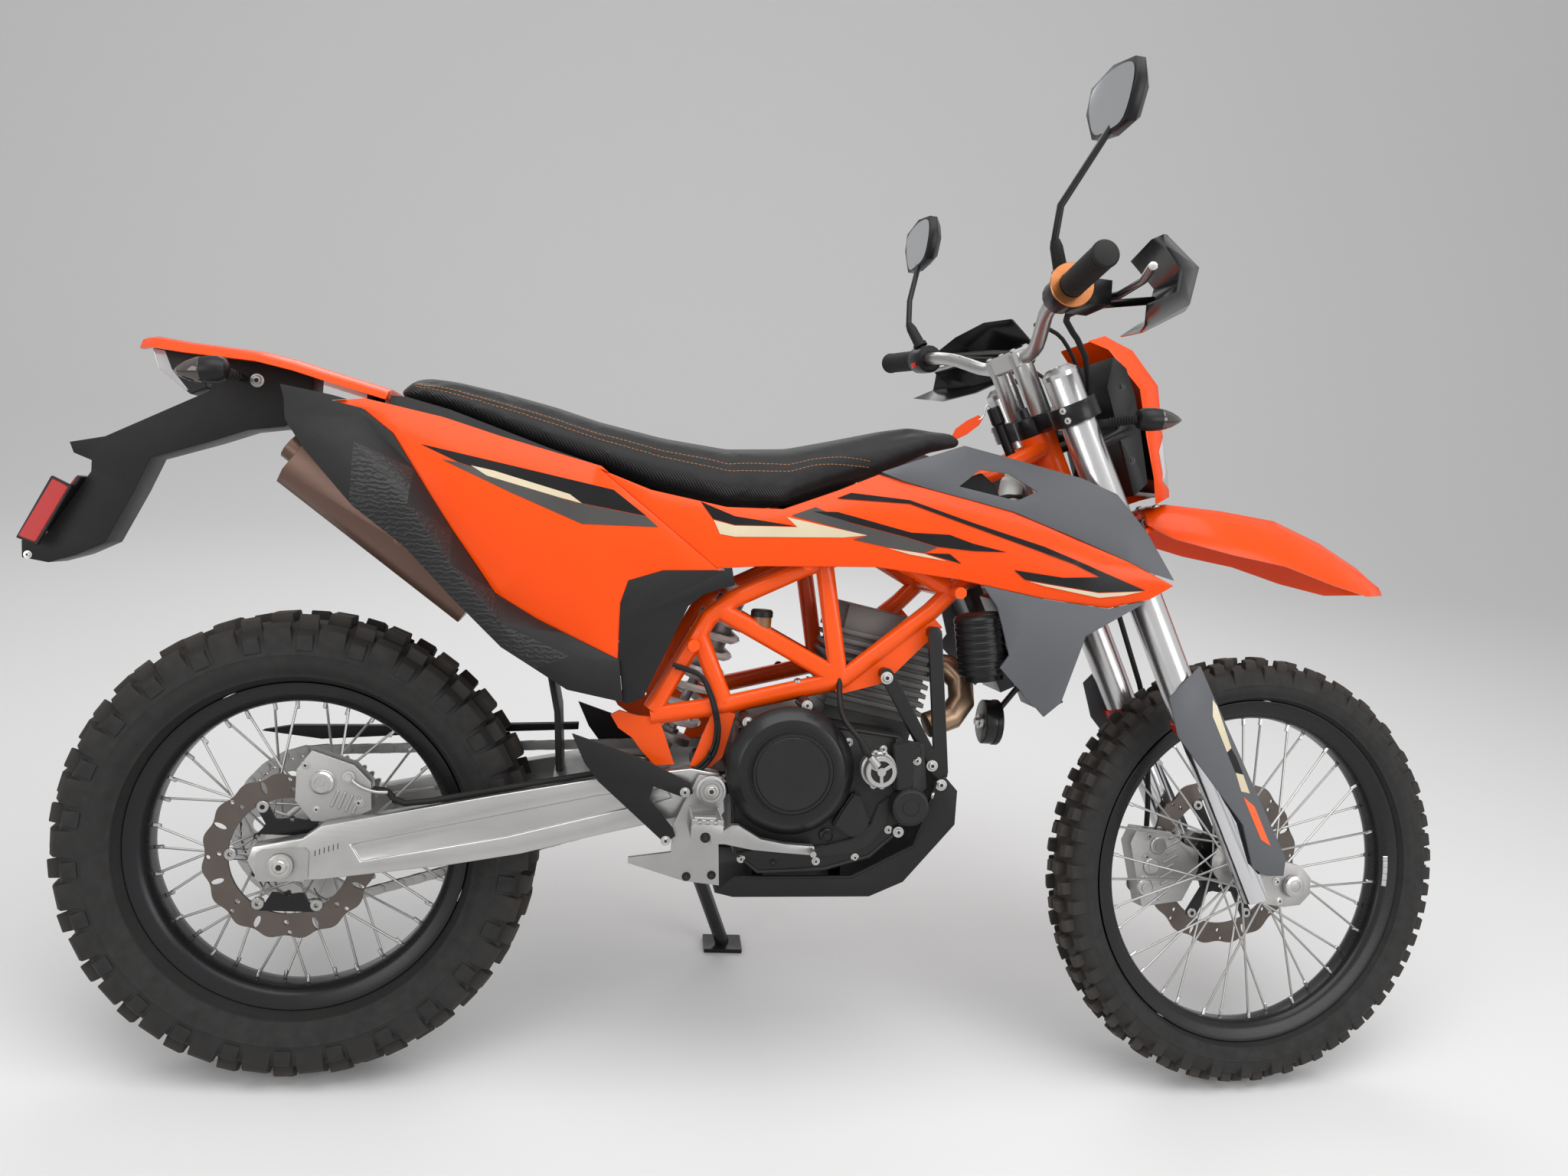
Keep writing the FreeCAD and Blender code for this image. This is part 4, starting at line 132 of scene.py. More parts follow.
# %% [markdown]
# Materials, the air of the studio and Geometry Nodes are all trees of nodes. Four short
# helpers build them: one fills an input with a number or with another node's output, so a
# whole node fits on one line.

# %% Helpers for nodes
FINISHES = {}


def put(tree, socket, value):
    """Gives a socket a value, or links another node's output to it."""
    if isinstance(value, bpy.types.NodeSocket):
        tree.links.new(value, socket)
    else:
        socket.default_value = value


def fill(tree, node, **inputs):
    """Fills a node's inputs by their names, with _ for a blank."""
    for name, value in inputs.items():
        put(tree, node.inputs[name.replace("_", " ")], value)
    return node


def add_node(tree, kind, settings=(), **inputs):
    """A new node with its settings, and its inputs filled."""
    node = tree.nodes.new(kind)
    for name, value in dict(settings).items():
        setattr(node, name, value)
    return fill(tree, node, **inputs)


def math_node(tree, operation, *values, kind="ShaderNodeMath"):
    """Works on its values in order, and gives the result."""
    node = add_node(tree, kind, {"operation": operation})
    for socket, value in zip(node.inputs, values):
        put(tree, socket, value)
    return node.outputs[0]


def new_material(name):
    """A new finish: its tree and its Principled shader, ready for more nodes."""
    material = bpy.data.materials.new(name)
    material.use_nodes = True
    FINISHES[name] = material
    return material.node_tree, material.node_tree.nodes["Principled BSDF"]


def smoothed(mesh):
    """The mesh with every face shaded smooth."""
    for face in mesh.polygons:
        face.use_smooth = True
    return mesh


print("a node fills its inputs by name, such as", "Base_Color".replace("_", " "))

# %% [markdown]
# A studio has a pale floor that runs up into a pale wall, and big soft lamps. The floor is
# one sheet with a rounded corner, so no horizon shows. The lamps are wide, because small
# ones give hard spots on glossy plastic. The background's paleness is its own colour and a
# little plain white that only the camera and the mirrors in the machine see.

# %% The studio
FLOOR_FRONT, FLOOR_BACK, FLOOR_HALF, WALL_TOP, CORNER = -9.0, 3.0, 14, 9.0, 2.5


def studio_floor():
    profile = [(FLOOR_FRONT, 0.0), (FLOOR_BACK, 0.0)]
    for step in range(1, 13):
        angle = math.radians(90 * step / 12)
        profile.append((FLOOR_BACK + CORNER * math.sin(angle), CORNER - CORNER * math.cos(angle)))
    profile.append((FLOOR_BACK + CORNER, WALL_TOP))
    points = [(x, y, z) for y, z in profile for x in (-FLOOR_HALF, FLOOR_HALF)]
    faces = [(2 * i, 2 * i + 1, 2 * i + 3, 2 * i + 2) for i in range(len(profile) - 1)]
    mesh = bpy.data.meshes.new("Floor")
    mesh.from_pydata(points, [], faces)
    floor = bpy.data.objects.new("Floor", smoothed(mesh))
    scene.collection.objects.link(floor)
    tree, shader = new_material("Pale paper floor")
    fill(tree, shader, Base_Color=(0.78, 0.78, 0.78, 1), Roughness=0.85, Specular_IOR_Level=0.2)
    mesh.materials.append(FINISHES["Pale paper floor"])


def softbox(name, place, aim, width, height, power):
    lamp = bpy.data.lights.new(name, "AREA")
    lamp.shape = "RECTANGLE"
    lamp.size, lamp.size_y, lamp.energy = width, height, power
    item = bpy.data.objects.new(name, lamp)
    item.location = place
    item.rotation_mode = "QUATERNION"
    item.rotation_quaternion = (Vector(aim) - Vector(place)).to_track_quat("-Z", "Y")
    scene.collection.objects.link(item)


def studio_air():
    """Soft light from all round, and a brighter wall for the camera, gloss and glass."""
    scene.world = bpy.data.worlds.new("Studio air")
    scene.world.use_nodes = True
    tree = scene.world.node_tree
    ray = tree.nodes.new("ShaderNodeLightPath").outputs
    shown = math_node(tree, "MAXIMUM", ray["Is Camera Ray"], ray["Is Glossy Ray"])
    shown = math_node(tree, "MAXIMUM", shown, ray["Is Transmission Ray"])
    strength = add_node(tree, "ShaderNodeMapRange", Value=shown, To_Min=0.5, To_Max=0.86)
    fill(tree, tree.nodes["Background"], Color=(1, 1, 1, 1), Strength=strength.outputs["Result"])


studio_floor()
studio_air()
softbox("Overhead softbox", (0.1, -0.9, 3.1), (0.0, 0.0, 0.4), 3.6, 2.0, 62)
softbox("Right softbox", (2.6, -3.2, 2.0), (0.2, 0.0, 0.5), 2.2, 1.8, 44)
softbox("Left softbox", (-2.9, -2.6, 1.8), (-0.2, 0.0, 0.5), 1.8, 1.8, 26)
softbox("Far softbox", (0.0, 2.6, 2.4), (0.0, 0.0, 0.6), 3.0, 1.2, 24)
scene.view_settings.view_transform = "Standard"

# %% [markdown]
# Real surfaces are never one flat colour. A few effects come back in many finishes: fine
# moulded grain, slow patches of tone, machining streaks, and dust that settles on what
# faces up. Each is built once as a node group with named inputs, and every finish sets its
# own values. The groups give out only colours and numbers; the shader stays in the material.

# %% Shared effects
NUMBER, COLOUR, ARROW = "NodeSocketFloat", "NodeSocketColor", "NodeSocketVector"


def new_group(name, inputs, outputs):
    """A shader group that reads a place and its other named inputs."""
    group = bpy.data.node_groups.new(name, "ShaderNodeTree")
    for label, kind, value in [("Place", ARROW, (0, 0, 0))] + inputs:
        socket = group.interface.new_socket(label, in_out="INPUT", socket_type=kind)
        socket.default_value = value
    for label, kind in outputs:
        group.interface.new_socket(label, in_out="OUTPUT", socket_type=kind)
    return group, group.nodes.new("NodeGroupInput").outputs, group.nodes.new("NodeGroupOutput")


def noise(tree, place, scale, detail):
    """Cloudy noise from 0 to 1 over the place."""
    return add_node(tree, "ShaderNodeTexNoise", Vector=place, Scale=scale,
                    Detail=detail).outputs["Fac"]


def grain_group():
    """Fine moulded grain: a height for a bump."""
    group, given, out = new_group("Moulded grain", [("Scale", NUMBER, 900.0)],
                                  [("Height", NUMBER)])
    cells = add_node(group, "ShaderNodeTexVoronoi", Vector=given["Place"], Scale=given["Scale"])
    fine = noise(group, given["Place"], given["Scale"], 3)
    fill(group, out, Height=math_node(group, "ADD", cells.outputs["Distance"], fine))
    return group


def patches_group():
    """Slow patches of tone: the colour a little lighter or darker from place to place."""
    group, given, out = new_group(
        "Tone patches", [("Colour", COLOUR, (0.5, 0.5, 0.5, 1)), ("Scale", NUMBER, 9.0),
                         ("Amount", NUMBER, 0.2)], [("Colour", COLOUR), ("Mask", NUMBER)])
    cloud = noise(group, given["Place"], given["Scale"], 5)
    centred = math_node(group, "SUBTRACT", cloud, 0.5)
    strength = math_node(group, "MULTIPLY", centred, given["Amount"])
    factor = math_node(group, "ADD", math_node(group, "MULTIPLY", strength, 2.0), 1.0)
    scaled = add_node(group, "ShaderNodeVectorMath", {"operation": "SCALE"}, Scale=factor)
    put(group, scaled.inputs[0], given["Colour"])
    fill(group, out, Colour=scaled.outputs["Vector"], Mask=cloud)
    return group


def streaks_group():
    """Machining or brushing streaks that run along the stretched direction."""
    group, given, out = new_group(
        "Streaks", [("Scale", NUMBER, 60.0), ("Stretch", ARROW, (0.05, 1, 1))],
        [("Height", NUMBER)])
    squeezed = math_node(group, "MULTIPLY", given["Place"], given["Stretch"],
                         kind="ShaderNodeVectorMath")
    fill(group, out, Height=noise(group, squeezed, given["Scale"], 4))
    return group


def dust_group():
    """Dust on what faces up: a mask that noise breaks up."""
    group, given, out = new_group("Settled dust", [("Scale", NUMBER, 40.0),
                                                   ("Amount", NUMBER, 0.3)], [("Mask", NUMBER)])
    surface = group.nodes.new("ShaderNodeNewGeometry")
    split = add_node(group, "ShaderNodeSeparateXYZ", Vector=surface.outputs["Normal"])
    facing = math_node(group, "MAXIMUM", split.outputs["Z"], 0.0)
    broken = math_node(group, "MULTIPLY", facing, noise(group, given["Place"], given["Scale"], 8))
    fill(group, out, Mask=math_node(group, "MULTIPLY", broken, given["Amount"]))
    return group


GRAIN, PATCHES, STREAKS, DUST = grain_group(), patches_group(), streaks_group(), dust_group()
print("effect groups:", [group.name for group in (GRAIN, PATCHES, STREAKS, DUST)])

# %% [markdown]
# Every finish now comes from one recipe: a colour with patches of tone, a roughness that
# varies with them, a bump from grain or streaks, and dust. The patterns read the machine's
# own axes through a Mapping node, so streaks follow the swingarm and not the leaning floor.

# %% The recipe for a finish
UPRIGHT = LEANING.inverted()
DUST_COLOUR = (0.15, 0.135, 0.12)


def own_axes(tree):
    """Object coordinates turned to the upright machine's axes."""
    coordinates = tree.nodes.new("ShaderNodeTexCoord")
    return add_node(tree, "ShaderNodeMapping", Vector=coordinates.outputs["Object"],
                    Rotation=UPRIGHT.to_euler(), Location=UPRIGHT.translation).outputs["Vector"]


def use_group(tree, group, place, **values):
    """The outputs of an effect with its own values."""
    return add_node(tree, "ShaderNodeGroup", {"node_tree": group}, Place=place, **values).outputs


def blend_colour(tree, mask, low, high):
    """From the low colour, another node's, to the high one, as the mask says."""
    mix = add_node(tree, "ShaderNodeMix", {"data_type": "RGBA"}, Factor=mask)
    put(tree, mix.inputs[6], low)
    put(tree, mix.inputs[7], (*high, 1))
    return mix.outputs[2]


def spread(tree, value, low, high):
    """Stretches noise, which stays near its middle, from low to high."""
    return add_node(tree, "ShaderNodeMapRange", Value=value, From_Min=0.25, From_Max=0.75,
                    To_Min=low, To_Max=high).outputs["Result"]


def bumped(tree, height, strength, distance, normal=None):
    """A normal that a height tilts, on top of an earlier one if there is one."""
    bump = add_node(tree, "ShaderNodeBump", Height=height, Strength=strength, Distance=distance)
    if normal:
        put(tree, bump.inputs["Normal"], normal)
    return bump.outputs["Normal"]


def finish(name, colour, rough, metal=0.0, coat=0.0, grain=0.0, grain_scale=900.0, tone=0.12,
           tone_scale=9.0, streak=0.0, streak_scale=60.0, stretch=(0.05, 1, 1), dust=0.0,
           level=0.5):
    """A finish from its colour, roughness and the strength of each effect."""
    tree, shader = new_material(name)
    place = own_axes(tree)
    patches = use_group(tree, PATCHES, place, Colour=(*colour, 1), Scale=tone_scale, Amount=tone)
    base, wear, normal = patches["Colour"], patches["Mask"], None
    if streak:
        lines = use_group(tree, STREAKS, place, Scale=streak_scale, Stretch=stretch)["Height"]
        wear = math_node(tree, "MULTIPLY", math_node(tree, "ADD", wear, lines), 0.5)
        normal = bumped(tree, lines, streak, 0.0004)
    if grain:
        pits = use_group(tree, GRAIN, place, Scale=grain_scale)["Height"]
        normal = bumped(tree, pits, grain, 0.0004, normal)
    if dust:
        mask = use_group(tree, DUST, place, Amount=dust)["Mask"]
        base = blend_colour(tree, mask, base, DUST_COLOUR)
    fill(tree, shader, Base_Color=base, Metallic=metal, Coat_Weight=coat, Coat_Roughness=0.06,
         Roughness=spread(tree, wear, rough * 0.82, min(1.0, rough * 1.2)),
         Specular_IOR_Level=level)
    if normal:
        put(tree, shader.inputs["Normal"], normal)


print("patterns are turned back by", [round(math.degrees(a), 1) for a in UPRIGHT.to_euler()])

# %% [markdown]
# Orange bodywork is dyed plastic with a clear shine; the frame is powder coated in nearly
# the same orange. Black parts differ more than they seem: the guard is grained and matt,
# the case is a painted casting, the levers and clamps are satin. Metals run from bare
# brushed aluminium to the chromed fork legs.

# %% The finishes
ORANGE = (0.88, 0.070, 0.0015)
finish("Orange plastic", ORANGE, 0.28, coat=0.1, tone=0.05, grain=0.05, grain_scale=500, level=0.22)
finish("Orange powder coat", (0.88, 0.085, 0.002), 0.3, coat=0.12, tone=0.06, grain=0.16,
       grain_scale=420, level=0.3)
finish("Satin grey plastic", (0.092, 0.096, 0.105), 0.4, tone=0.08, grain=0.2, grain_scale=1500,
       level=0.35)
finish("Grained black plastic", (0.009, 0.009, 0.0095), 0.46, grain=0.45, grain_scale=1300,
       dust=0.08, level=0.24)
finish("Smooth black plastic", (0.007, 0.007, 0.0075), 0.32, grain=0.12, grain_scale=1500,
       dust=0.05, level=0.26)
finish("Glossy black plastic", (0.004, 0.004, 0.0045), 0.2, coat=0.06, tone=0.1, dust=0.03,
       level=0.2)
finish("Black casting", (0.011, 0.0105, 0.0105), 0.4, grain=0.5, grain_scale=700, tone=0.2,
       dust=0.14, level=0.28)
finish("Black paint on steel", (0.008, 0.008, 0.0085), 0.3, coat=0.1, grain=0.15, grain_scale=700,
       dust=0.06, level=0.28)
finish("Bare aluminium", (0.46, 0.455, 0.45), 0.3, metal=0.92, tone=0.12, tone_scale=14,
       streak=0.35, streak_scale=240)
finish("Cast aluminium", (0.38, 0.375, 0.37), 0.4, metal=0.85, grain=0.4, grain_scale=800,
       tone=0.15, tone_scale=16)
finish("Anodised silver", (0.56, 0.555, 0.555), 0.24, metal=0.95, tone=0.05, streak=0.18,
       streak_scale=420, stretch=(1, 1, 0.1))
finish("Brushed steel", (0.42, 0.415, 0.405), 0.32, metal=0.9, tone=0.18, tone_scale=30, streak=0.3,
       streak_scale=300, stretch=(0.2, 1, 1))
finish("Chromed steel", (0.62, 0.62, 0.635), 0.1, metal=1.0, tone=0.05, grain=0.04, grain_scale=400)
finish("Grey engine casting", (0.135, 0.132, 0.128), 0.55, metal=0.55, grain=0.6, grain_scale=620,
       tone=0.22, tone_scale=18, dust=0.15)
finish("Disc steel", (0.115, 0.096, 0.085), 0.34, metal=0.7, tone=0.2, tone_scale=24, streak=0.3,
       streak_scale=260)
finish("Bronze coating", (0.13, 0.074, 0.055), 0.36, metal=0.55, tone=0.14, tone_scale=7,
       streak=0.16, streak_scale=130)
finish("Heated steel", (0.30, 0.20, 0.13), 0.34, metal=0.85, tone=0.35, tone_scale=12, streak=0.15)
finish("White enamel", (0.74, 0.74, 0.72), 0.28, coat=0.4, tone=0.05, dust=0.08)
finish("Black rubber", (0.010, 0.010, 0.0097), 0.62, grain=0.3, grain_scale=900, tone=0.2, dust=0.1,
       level=0.25)
finish("Black anodised aluminium", (0.011, 0.011, 0.0125), 0.28, metal=0.2, streak=0.1,
       streak_scale=300, level=0.35)
finish("Red seal ring", (0.55, 0.02, 0.012), 0.3, metal=0.4, tone=0.06, streak=0.1)
print("finishes:", len(FINISHES))

# %% [markdown]
# The solid parts arrive as loose triangles with hard edges. Their vertices stay as they are.
# A Weld modifier joins the triangles, a small Bevel rounds the corners that catch light on
# a real casting or moulding, and Edge Split keeps the sharp creases sharp while the rest is
# shaded smooth. So a tube of ten flats reads as round.

# %% Finishes and soft edges on the solid parts
NODE_FINISHES = {
    "Orange powder coat": "trellis_frame",
    "Orange plastic": "tail_fender rear_panels shrouds headlight_mask front_fender",
    "Satin grey plastic": "grey_shrouds fork_guards",
    "Grained black plastic": "side_covers tail_tank plate_holder skid_plate chain_guards "
                             "mud_flap heel_guards",
    "Smooth black plastic": "canister rear_lamps bar_controls mirrors headlight "
                            "front_indicators",
    "Glossy black plastic": "handguards",
    "Black casting": "engine_case engine_covers",
    "Grey engine casting": "cylinder",
    "Heated steel": "header_pipe",
    "Bronze coating": "silencer",
    "Black paint on steel": "engine_brackets radiators side_stand",
    "Bare aluminium": "swingarm handlebar",
    "Cast aluminium": "rear_shock rear_caliper foot_pegs foot_levers front_caliper",
    "Anodised silver": "fork_tubes",
    "Chromed steel": "fork_sliders",
    "Brushed steel": "rear_axle chain front_axle front_hub rear_hub",
    "White enamel": "shock_spring",
    "Black anodised aluminium": "triple_clamps front_rim rear_rim",
    "Black rubber": "rear_brake_hose front_brake_hose grips front_tyre rear_tyre seat",
}
USUAL_EDGE = 0.001
EDGE_WIDTHS = {
    0.0: "trellis_frame front_hub rear_hub chain shock_spring front_brake_hose "
         "rear_brake_hose",
    0.0005: "rear_axle front_axle",
    0.0006: "fork_sliders rear_shock canister fork_tubes",
    0.0012: "engine_covers side_covers",
    0.0016: "shrouds grey_shrouds rear_panels",
    0.0022: "swingarm",
}
edge_width = {node: width for width, names in EDGE_WIDTHS.items() for node in names.split()}


def painted(mesh, label):
    """The mesh with one finish all over."""
    mesh.materials.clear()
    mesh.materials.append(FINISHES[label])
    return mesh


def dress(node, label):
    item = nodes[node]
    mesh = item.data
    for entry in ("custom_normal", "sharp_edge", "sharp_face"):
        if entry in mesh.attributes:
            mesh.attributes.remove(mesh.attributes[entry])
    mesh.shade_smooth()
    painted(mesh, label)
    item.modifiers.new("Join triangles", "WELD").merge_threshold = 0.00002
    width = edge_width.get(node, USUAL_EDGE)
    if width:
        bevel = item.modifiers.new("Soft edges", "BEVEL")
        bevel.width = width
        bevel.segments = 2
        bevel.limit_method = "ANGLE"
        bevel.angle_limit = math.radians(48)
        bevel.use_clamp_overlap = True
        bevel.harden_normals = False
    item.modifiers.new("Creases", "EDGE_SPLIT").split_angle = math.radians(46)


for label, names in NODE_FINISHES.items():
    for node in names.split():
        dress(node, label)
print("dressed:", sum(len(names.split()) for names in NODE_FINISHES.values()))

# %% [markdown]
# Wheels come next. Everything on a wheel repeats round its axle, so it is made lying flat,
# with the axle along Z, and one matrix stands it up in its place. Bodies of revolution are
# a profile swept round in steps, and a block is a cube with its edges taken off.

# %% Tools for round things and blocks
WHEEL_TURN = Matrix(((1, 0, 0), (0, 0, -1), (0, 1, 0))).to_4x4()


def wheel_matrix(body, centre):
    """From a wheel lying flat to the wheel in its place: X ahead, Y up, Z to the right."""
    return SPACES[body] @ Matrix.Translation(centre) @ WHEEL_TURN


def add_piece(name, mesh, matrix, body, replaces=()):
    """Moves a mesh to its place and lets it ride on its body."""
    mesh.transform(matrix)
    item = bpy.data.objects.new(name, mesh)
    scene.collection.objects.link(item)
    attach(item, body)
    if replaces:
        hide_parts(*replaces)
    return item


def smooth_line(points, steps=4, closed=False):
    """A Catmull-Rom curve through the points."""
    count = len(points)
    out = []
    for index in range(count if closed else count - 1):
        around = [index + k for k in (-1, 0, 1, 2)]
        if not closed:
            around = [min(max(place, 0), count - 1) for place in around]
        a, b, c, d = (Vector(points[place % count]) for place in around)
        for step in range(steps):
            t = step / steps
            out.append(0.5 * (2 * b + (c - a) * t + (2 * a - 5 * b + 4 * c - d) * t ** 2
                              + (3 * b - a - 3 * c + d) * t ** 3))
    if not closed:
        out.append(Vector(points[-1]))
    return out


def swept_round(name, profile, steps, closed=True):
    """A mesh from a profile of (radius, z) points swept round Z."""
    points, faces = [], []
    count = len(profile)
    for step in range(steps):
        angle = 2 * math.pi * step / steps
        points += [(r * math.cos(angle), r * math.sin(angle), z) for r, z in profile]
    for step in range(steps):
        near, far = step * count, (step + 1) % steps * count
        for index in range(count if closed else count - 1):
            following = (index + 1) % count
            faces.append((near + index, far + index, far + following, near + following))
    mesh = bpy.data.meshes.new(name)
    mesh.from_pydata(points, [], faces)
    return tidy_mesh(mesh)


def tidy_mesh(mesh, crease=38):
    """Merges doubles, turns the faces outwards and marks the creases sharp."""
    work = bmesh.new()
    work.from_mesh(mesh)
    bmesh.ops.remove_doubles(work, verts=work.verts, dist=0.000005)
    bmesh.ops.recalc_face_normals(work, faces=work.faces)
    for face in work.faces:
        face.smooth = True
    for edge in work.edges:
        if len(edge.link_faces) == 2 and edge.calc_face_angle(0) > math.radians(crease):
            edge.smooth = False
    work.to_mesh(mesh)
    work.free()
    return mesh


def plain_mesh(name, work):
    """The mesh that was worked on, as a new plain mesh."""
    mesh = bpy.data.meshes.new(name)
    work.to_mesh(mesh)
    work.free()
    return mesh


def box_mesh(name, low, high, bevel=0.0, taper=None):
    """A block between two corners, its top (+X) face smaller when taper says so."""
    work = bmesh.new()
    bmesh.ops.create_cube(work, size=1)
    middle = [(a + b) / 2 for a, b in zip(low, high)]
    extent = [b - a for a, b in zip(low, high)]
    for vertex in work.verts:
        shrink = taper if taper and vertex.co.x > 0 else 1
        vertex.co = Vector((middle[0] + vertex.co.x * extent[0],
                            middle[1] + vertex.co.y * extent[1] * shrink,
                            middle[2] + vertex.co.z * extent[2] * shrink))
    if bevel:
        bmesh.ops.bevel(work, geom=work.edges[:] + work.verts[:], offset=bevel, segments=1,
                        affect="EDGES")
    return plain_mesh(name, work)


print("a wheel's axle after the turn:", [round(v) for v in WHEEL_TURN @ Vector((0, 0, 1))])

# %% [markdown]
# Two Geometry Nodes trees do the repeating on the wheels: one sets a shape round a circle,
# the other turns every edge of a mesh into a round rod. All trees share their inputs for
# the geometry and the finish, their way of setting a shape on points, and their ending.

# %% Trees that repeat a shape
WHOLE = "NodeSocketInt"
SHAPE = ("Shape", "NodeSocketObject", None)


def new_tree(name, inputs):
    """A tree for geometry with its named inputs, the last of them its finish."""
    tree = bpy.data.node_groups.new(name, "GeometryNodeTree")
    given = [("Geometry", "NodeSocketGeometry", None), *inputs,
             ("Material", "NodeSocketMaterial", None)]
    for label, kind, value in given:
        socket = tree.interface.new_socket(label, in_out="INPUT", socket_type=kind)
        if value is not None:
            socket.default_value = value
    tree.interface.new_socket("Geometry", in_out="OUTPUT", socket_type="NodeSocketGeometry")
    return tree, tree.nodes.new("NodeGroupInput").outputs, tree.nodes.new("NodeGroupOutput")


def end_tree(tree, given, out, result, keep=None):
    """Every tree ends the same way: real geometry that carries its material."""
    real = add_node(tree, "GeometryNodeRealizeInstances", Geometry=result)
    final = add_node(tree, "GeometryNodeSetMaterial", Geometry=real.outputs["Geometry"],
                     Material=given["Material"]).outputs["Geometry"]
    if keep:
        both = add_node(tree, "GeometryNodeJoinGeometry", Geometry=keep)
        final = fill(tree, both, Geometry=final).outputs["Geometry"]
    fill(tree, out, Geometry=final)
    return tree


def set_shapes(tree, given, out, points, way, facing, size=None, keep=None):
    """Sets the shape on every point, turned so that its axis looks the given way."""
    face = add_node(tree, "FunctionNodeAlignRotationToVector", facing, Vector=way)
    shape = add_node(tree, "GeometryNodeObjectInfo", Object=given["Shape"])
    many = add_node(tree, "GeometryNodeInstanceOnPoints", Points=points,
                    Instance=shape.outputs["Geometry"], Rotation=face.outputs["Rotation"])
    if size:
        fill(tree, many, Scale=size)
    return end_tree(tree, given, out, many.outputs["Instances"], keep)


def ring_tree():
    """Sets a shape round a circle, each one facing outwards."""
    tree, given, out = new_tree("Ring of shapes", [
        SHAPE, ("Count", WHOLE, 24), ("Radius", NUMBER, 0.1), ("Phase", NUMBER, 0.0),
        ("Height", NUMBER, 0.0)])
    circle = add_node(tree, "GeometryNodeMeshCircle", Vertices=given["Count"],
                      Radius=given["Radius"])
    turn = add_node(tree, "ShaderNodeCombineXYZ", Z=given["Phase"])
    lift = add_node(tree, "ShaderNodeCombineXYZ", Z=given["Height"])
    ring = add_node(tree, "GeometryNodeTransform", Geometry=circle.outputs["Mesh"],
                    Rotation=turn.outputs["Vector"], Translation=lift.outputs["Vector"])
    place = tree.nodes.new("GeometryNodeInputPosition").outputs["Position"]
    outwards = math_node(tree, "MULTIPLY", place, (1, 1, 0), kind="ShaderNodeVectorMath")
    return set_shapes(tree, given, out, ring.outputs["Geometry"], outwards,
                      {"axis": "X", "pivot_axis": "Z"}, keep=given["Geometry"])


def rod_tree():
    """Turns every edge of a mesh into a round rod."""
    tree, given, out = new_tree("Edges to rods", [("Radius", NUMBER, 0.002),
                                                  ("Sides", WHOLE, 8)])
    lines = add_node(tree, "GeometryNodeMeshToCurve", Mesh=given["Geometry"])
    circle = add_node(tree, "GeometryNodeCurvePrimitiveCircle", Resolution=given["Sides"],
                      Radius=given["Radius"])
    sweep = add_node(tree, "GeometryNodeCurveToMesh", Curve=lines.outputs["Curve"],
                     Profile_Curve=circle.outputs["Curve"], Fill_Caps=True)
    return end_tree(tree, given, out, sweep.outputs["Mesh"])


RING_TREE, ROD_TREE = ring_tree(), rod_tree()


def evaluated_mesh(item):
    """What an object's modifiers or splines make, as a plain mesh."""
    graph = bpy.context.evaluated_depsgraph_get()
    return bpy.data.meshes.new_from_object(item.evaluated_get(graph))


def grow(mesh, tree, label, **settings):
    """Runs a tree on a mesh and returns the result as a plain mesh."""
    base = bpy.data.objects.new("Base", mesh)
    scene.collection.objects.link(base)
    modifier = base.modifiers.new("Grow", "NODES")
    modifier.node_group = tree
    settings["Material"] = FINISHES[label]
    for entry in tree.interface.items_tree:
        if entry.in_out == "INPUT" and entry.name in settings:
            modifier[entry.identifier] = settings[entry.name]
    result = evaluated_mesh(base)
    bpy.data.objects.remove(base)
    return result


def shape_object(mesh):
    """A shape that only a tree uses: it isn't in the scene itself."""
    return bpy.data.objects.new(mesh.name, mesh)


def joined_mesh(name, meshes):
    """Several meshes as one, each keeping its own materials."""
    work = bmesh.new()
    slots = []
    for mesh in meshes:
        numbers = []
        for material in mesh.materials:
            if material not in slots:
                slots.append(material)
            numbers.append(slots.index(material))
        start = len(work.faces)
        work.from_mesh(mesh)
        work.faces.ensure_lookup_table()
        for face in work.faces[start:]:
            face.material_index = numbers[face.material_index] if numbers else 0
    whole = plain_mesh(name, work)
    for material in slots:
        whole.materials.append(material)
    return whole


print("trees:", RING_TREE.name, "and", ROD_TREE.name)

# %% [markdown]
# Tyre rubber is dark and matt. Dry mud stays on the tops of the blocks and fades on the
# sidewall, so the finish reads a value kept on each point of the tyre: how far it stands
# up into the tread.

# %% The tyre finish
def tyre_finish():
    tree, shader = new_material("Tyre rubber")
    place = own_axes(tree)
    patches = use_group(tree, PATCHES, place, Colour=(0.0175, 0.0165, 0.016, 1), Scale=22.0,
                        Amount=0.3)
    tread = add_node(tree, "ShaderNodeAttribute", {"attribute_name": "tread"})
    cloud = noise(tree, place, 60, 7)
    amount = math_node(tree, "MULTIPLY", tread.outputs["Fac"], cloud)
    mask = math_node(tree, "MULTIPLY", math_node(tree, "POWER", amount, 1.6), 0.55)
    grain = use_group(tree, GRAIN, place, Scale=420.0)["Height"]
    fill(tree, shader, Roughness=spread(tree, cloud, 0.6, 0.85), Specular_IOR_Level=0.35,
         Base_Color=blend_colour(tree, mask, patches["Colour"], (0.16, 0.125, 0.095)),
         Normal=bumped(tree, grain, 0.4, 0.0006))


tyre_finish()
print("the tyre's dust reads the value:", "tread")

# %% [markdown]
# A tyre is a smooth carcass with rows of blocks. The carcass is a curve swept round; each
# row is one block set round the circle by the ring tree. The front tyre has many small
# blocks for grip in turns and the rear one has few large ones that push.

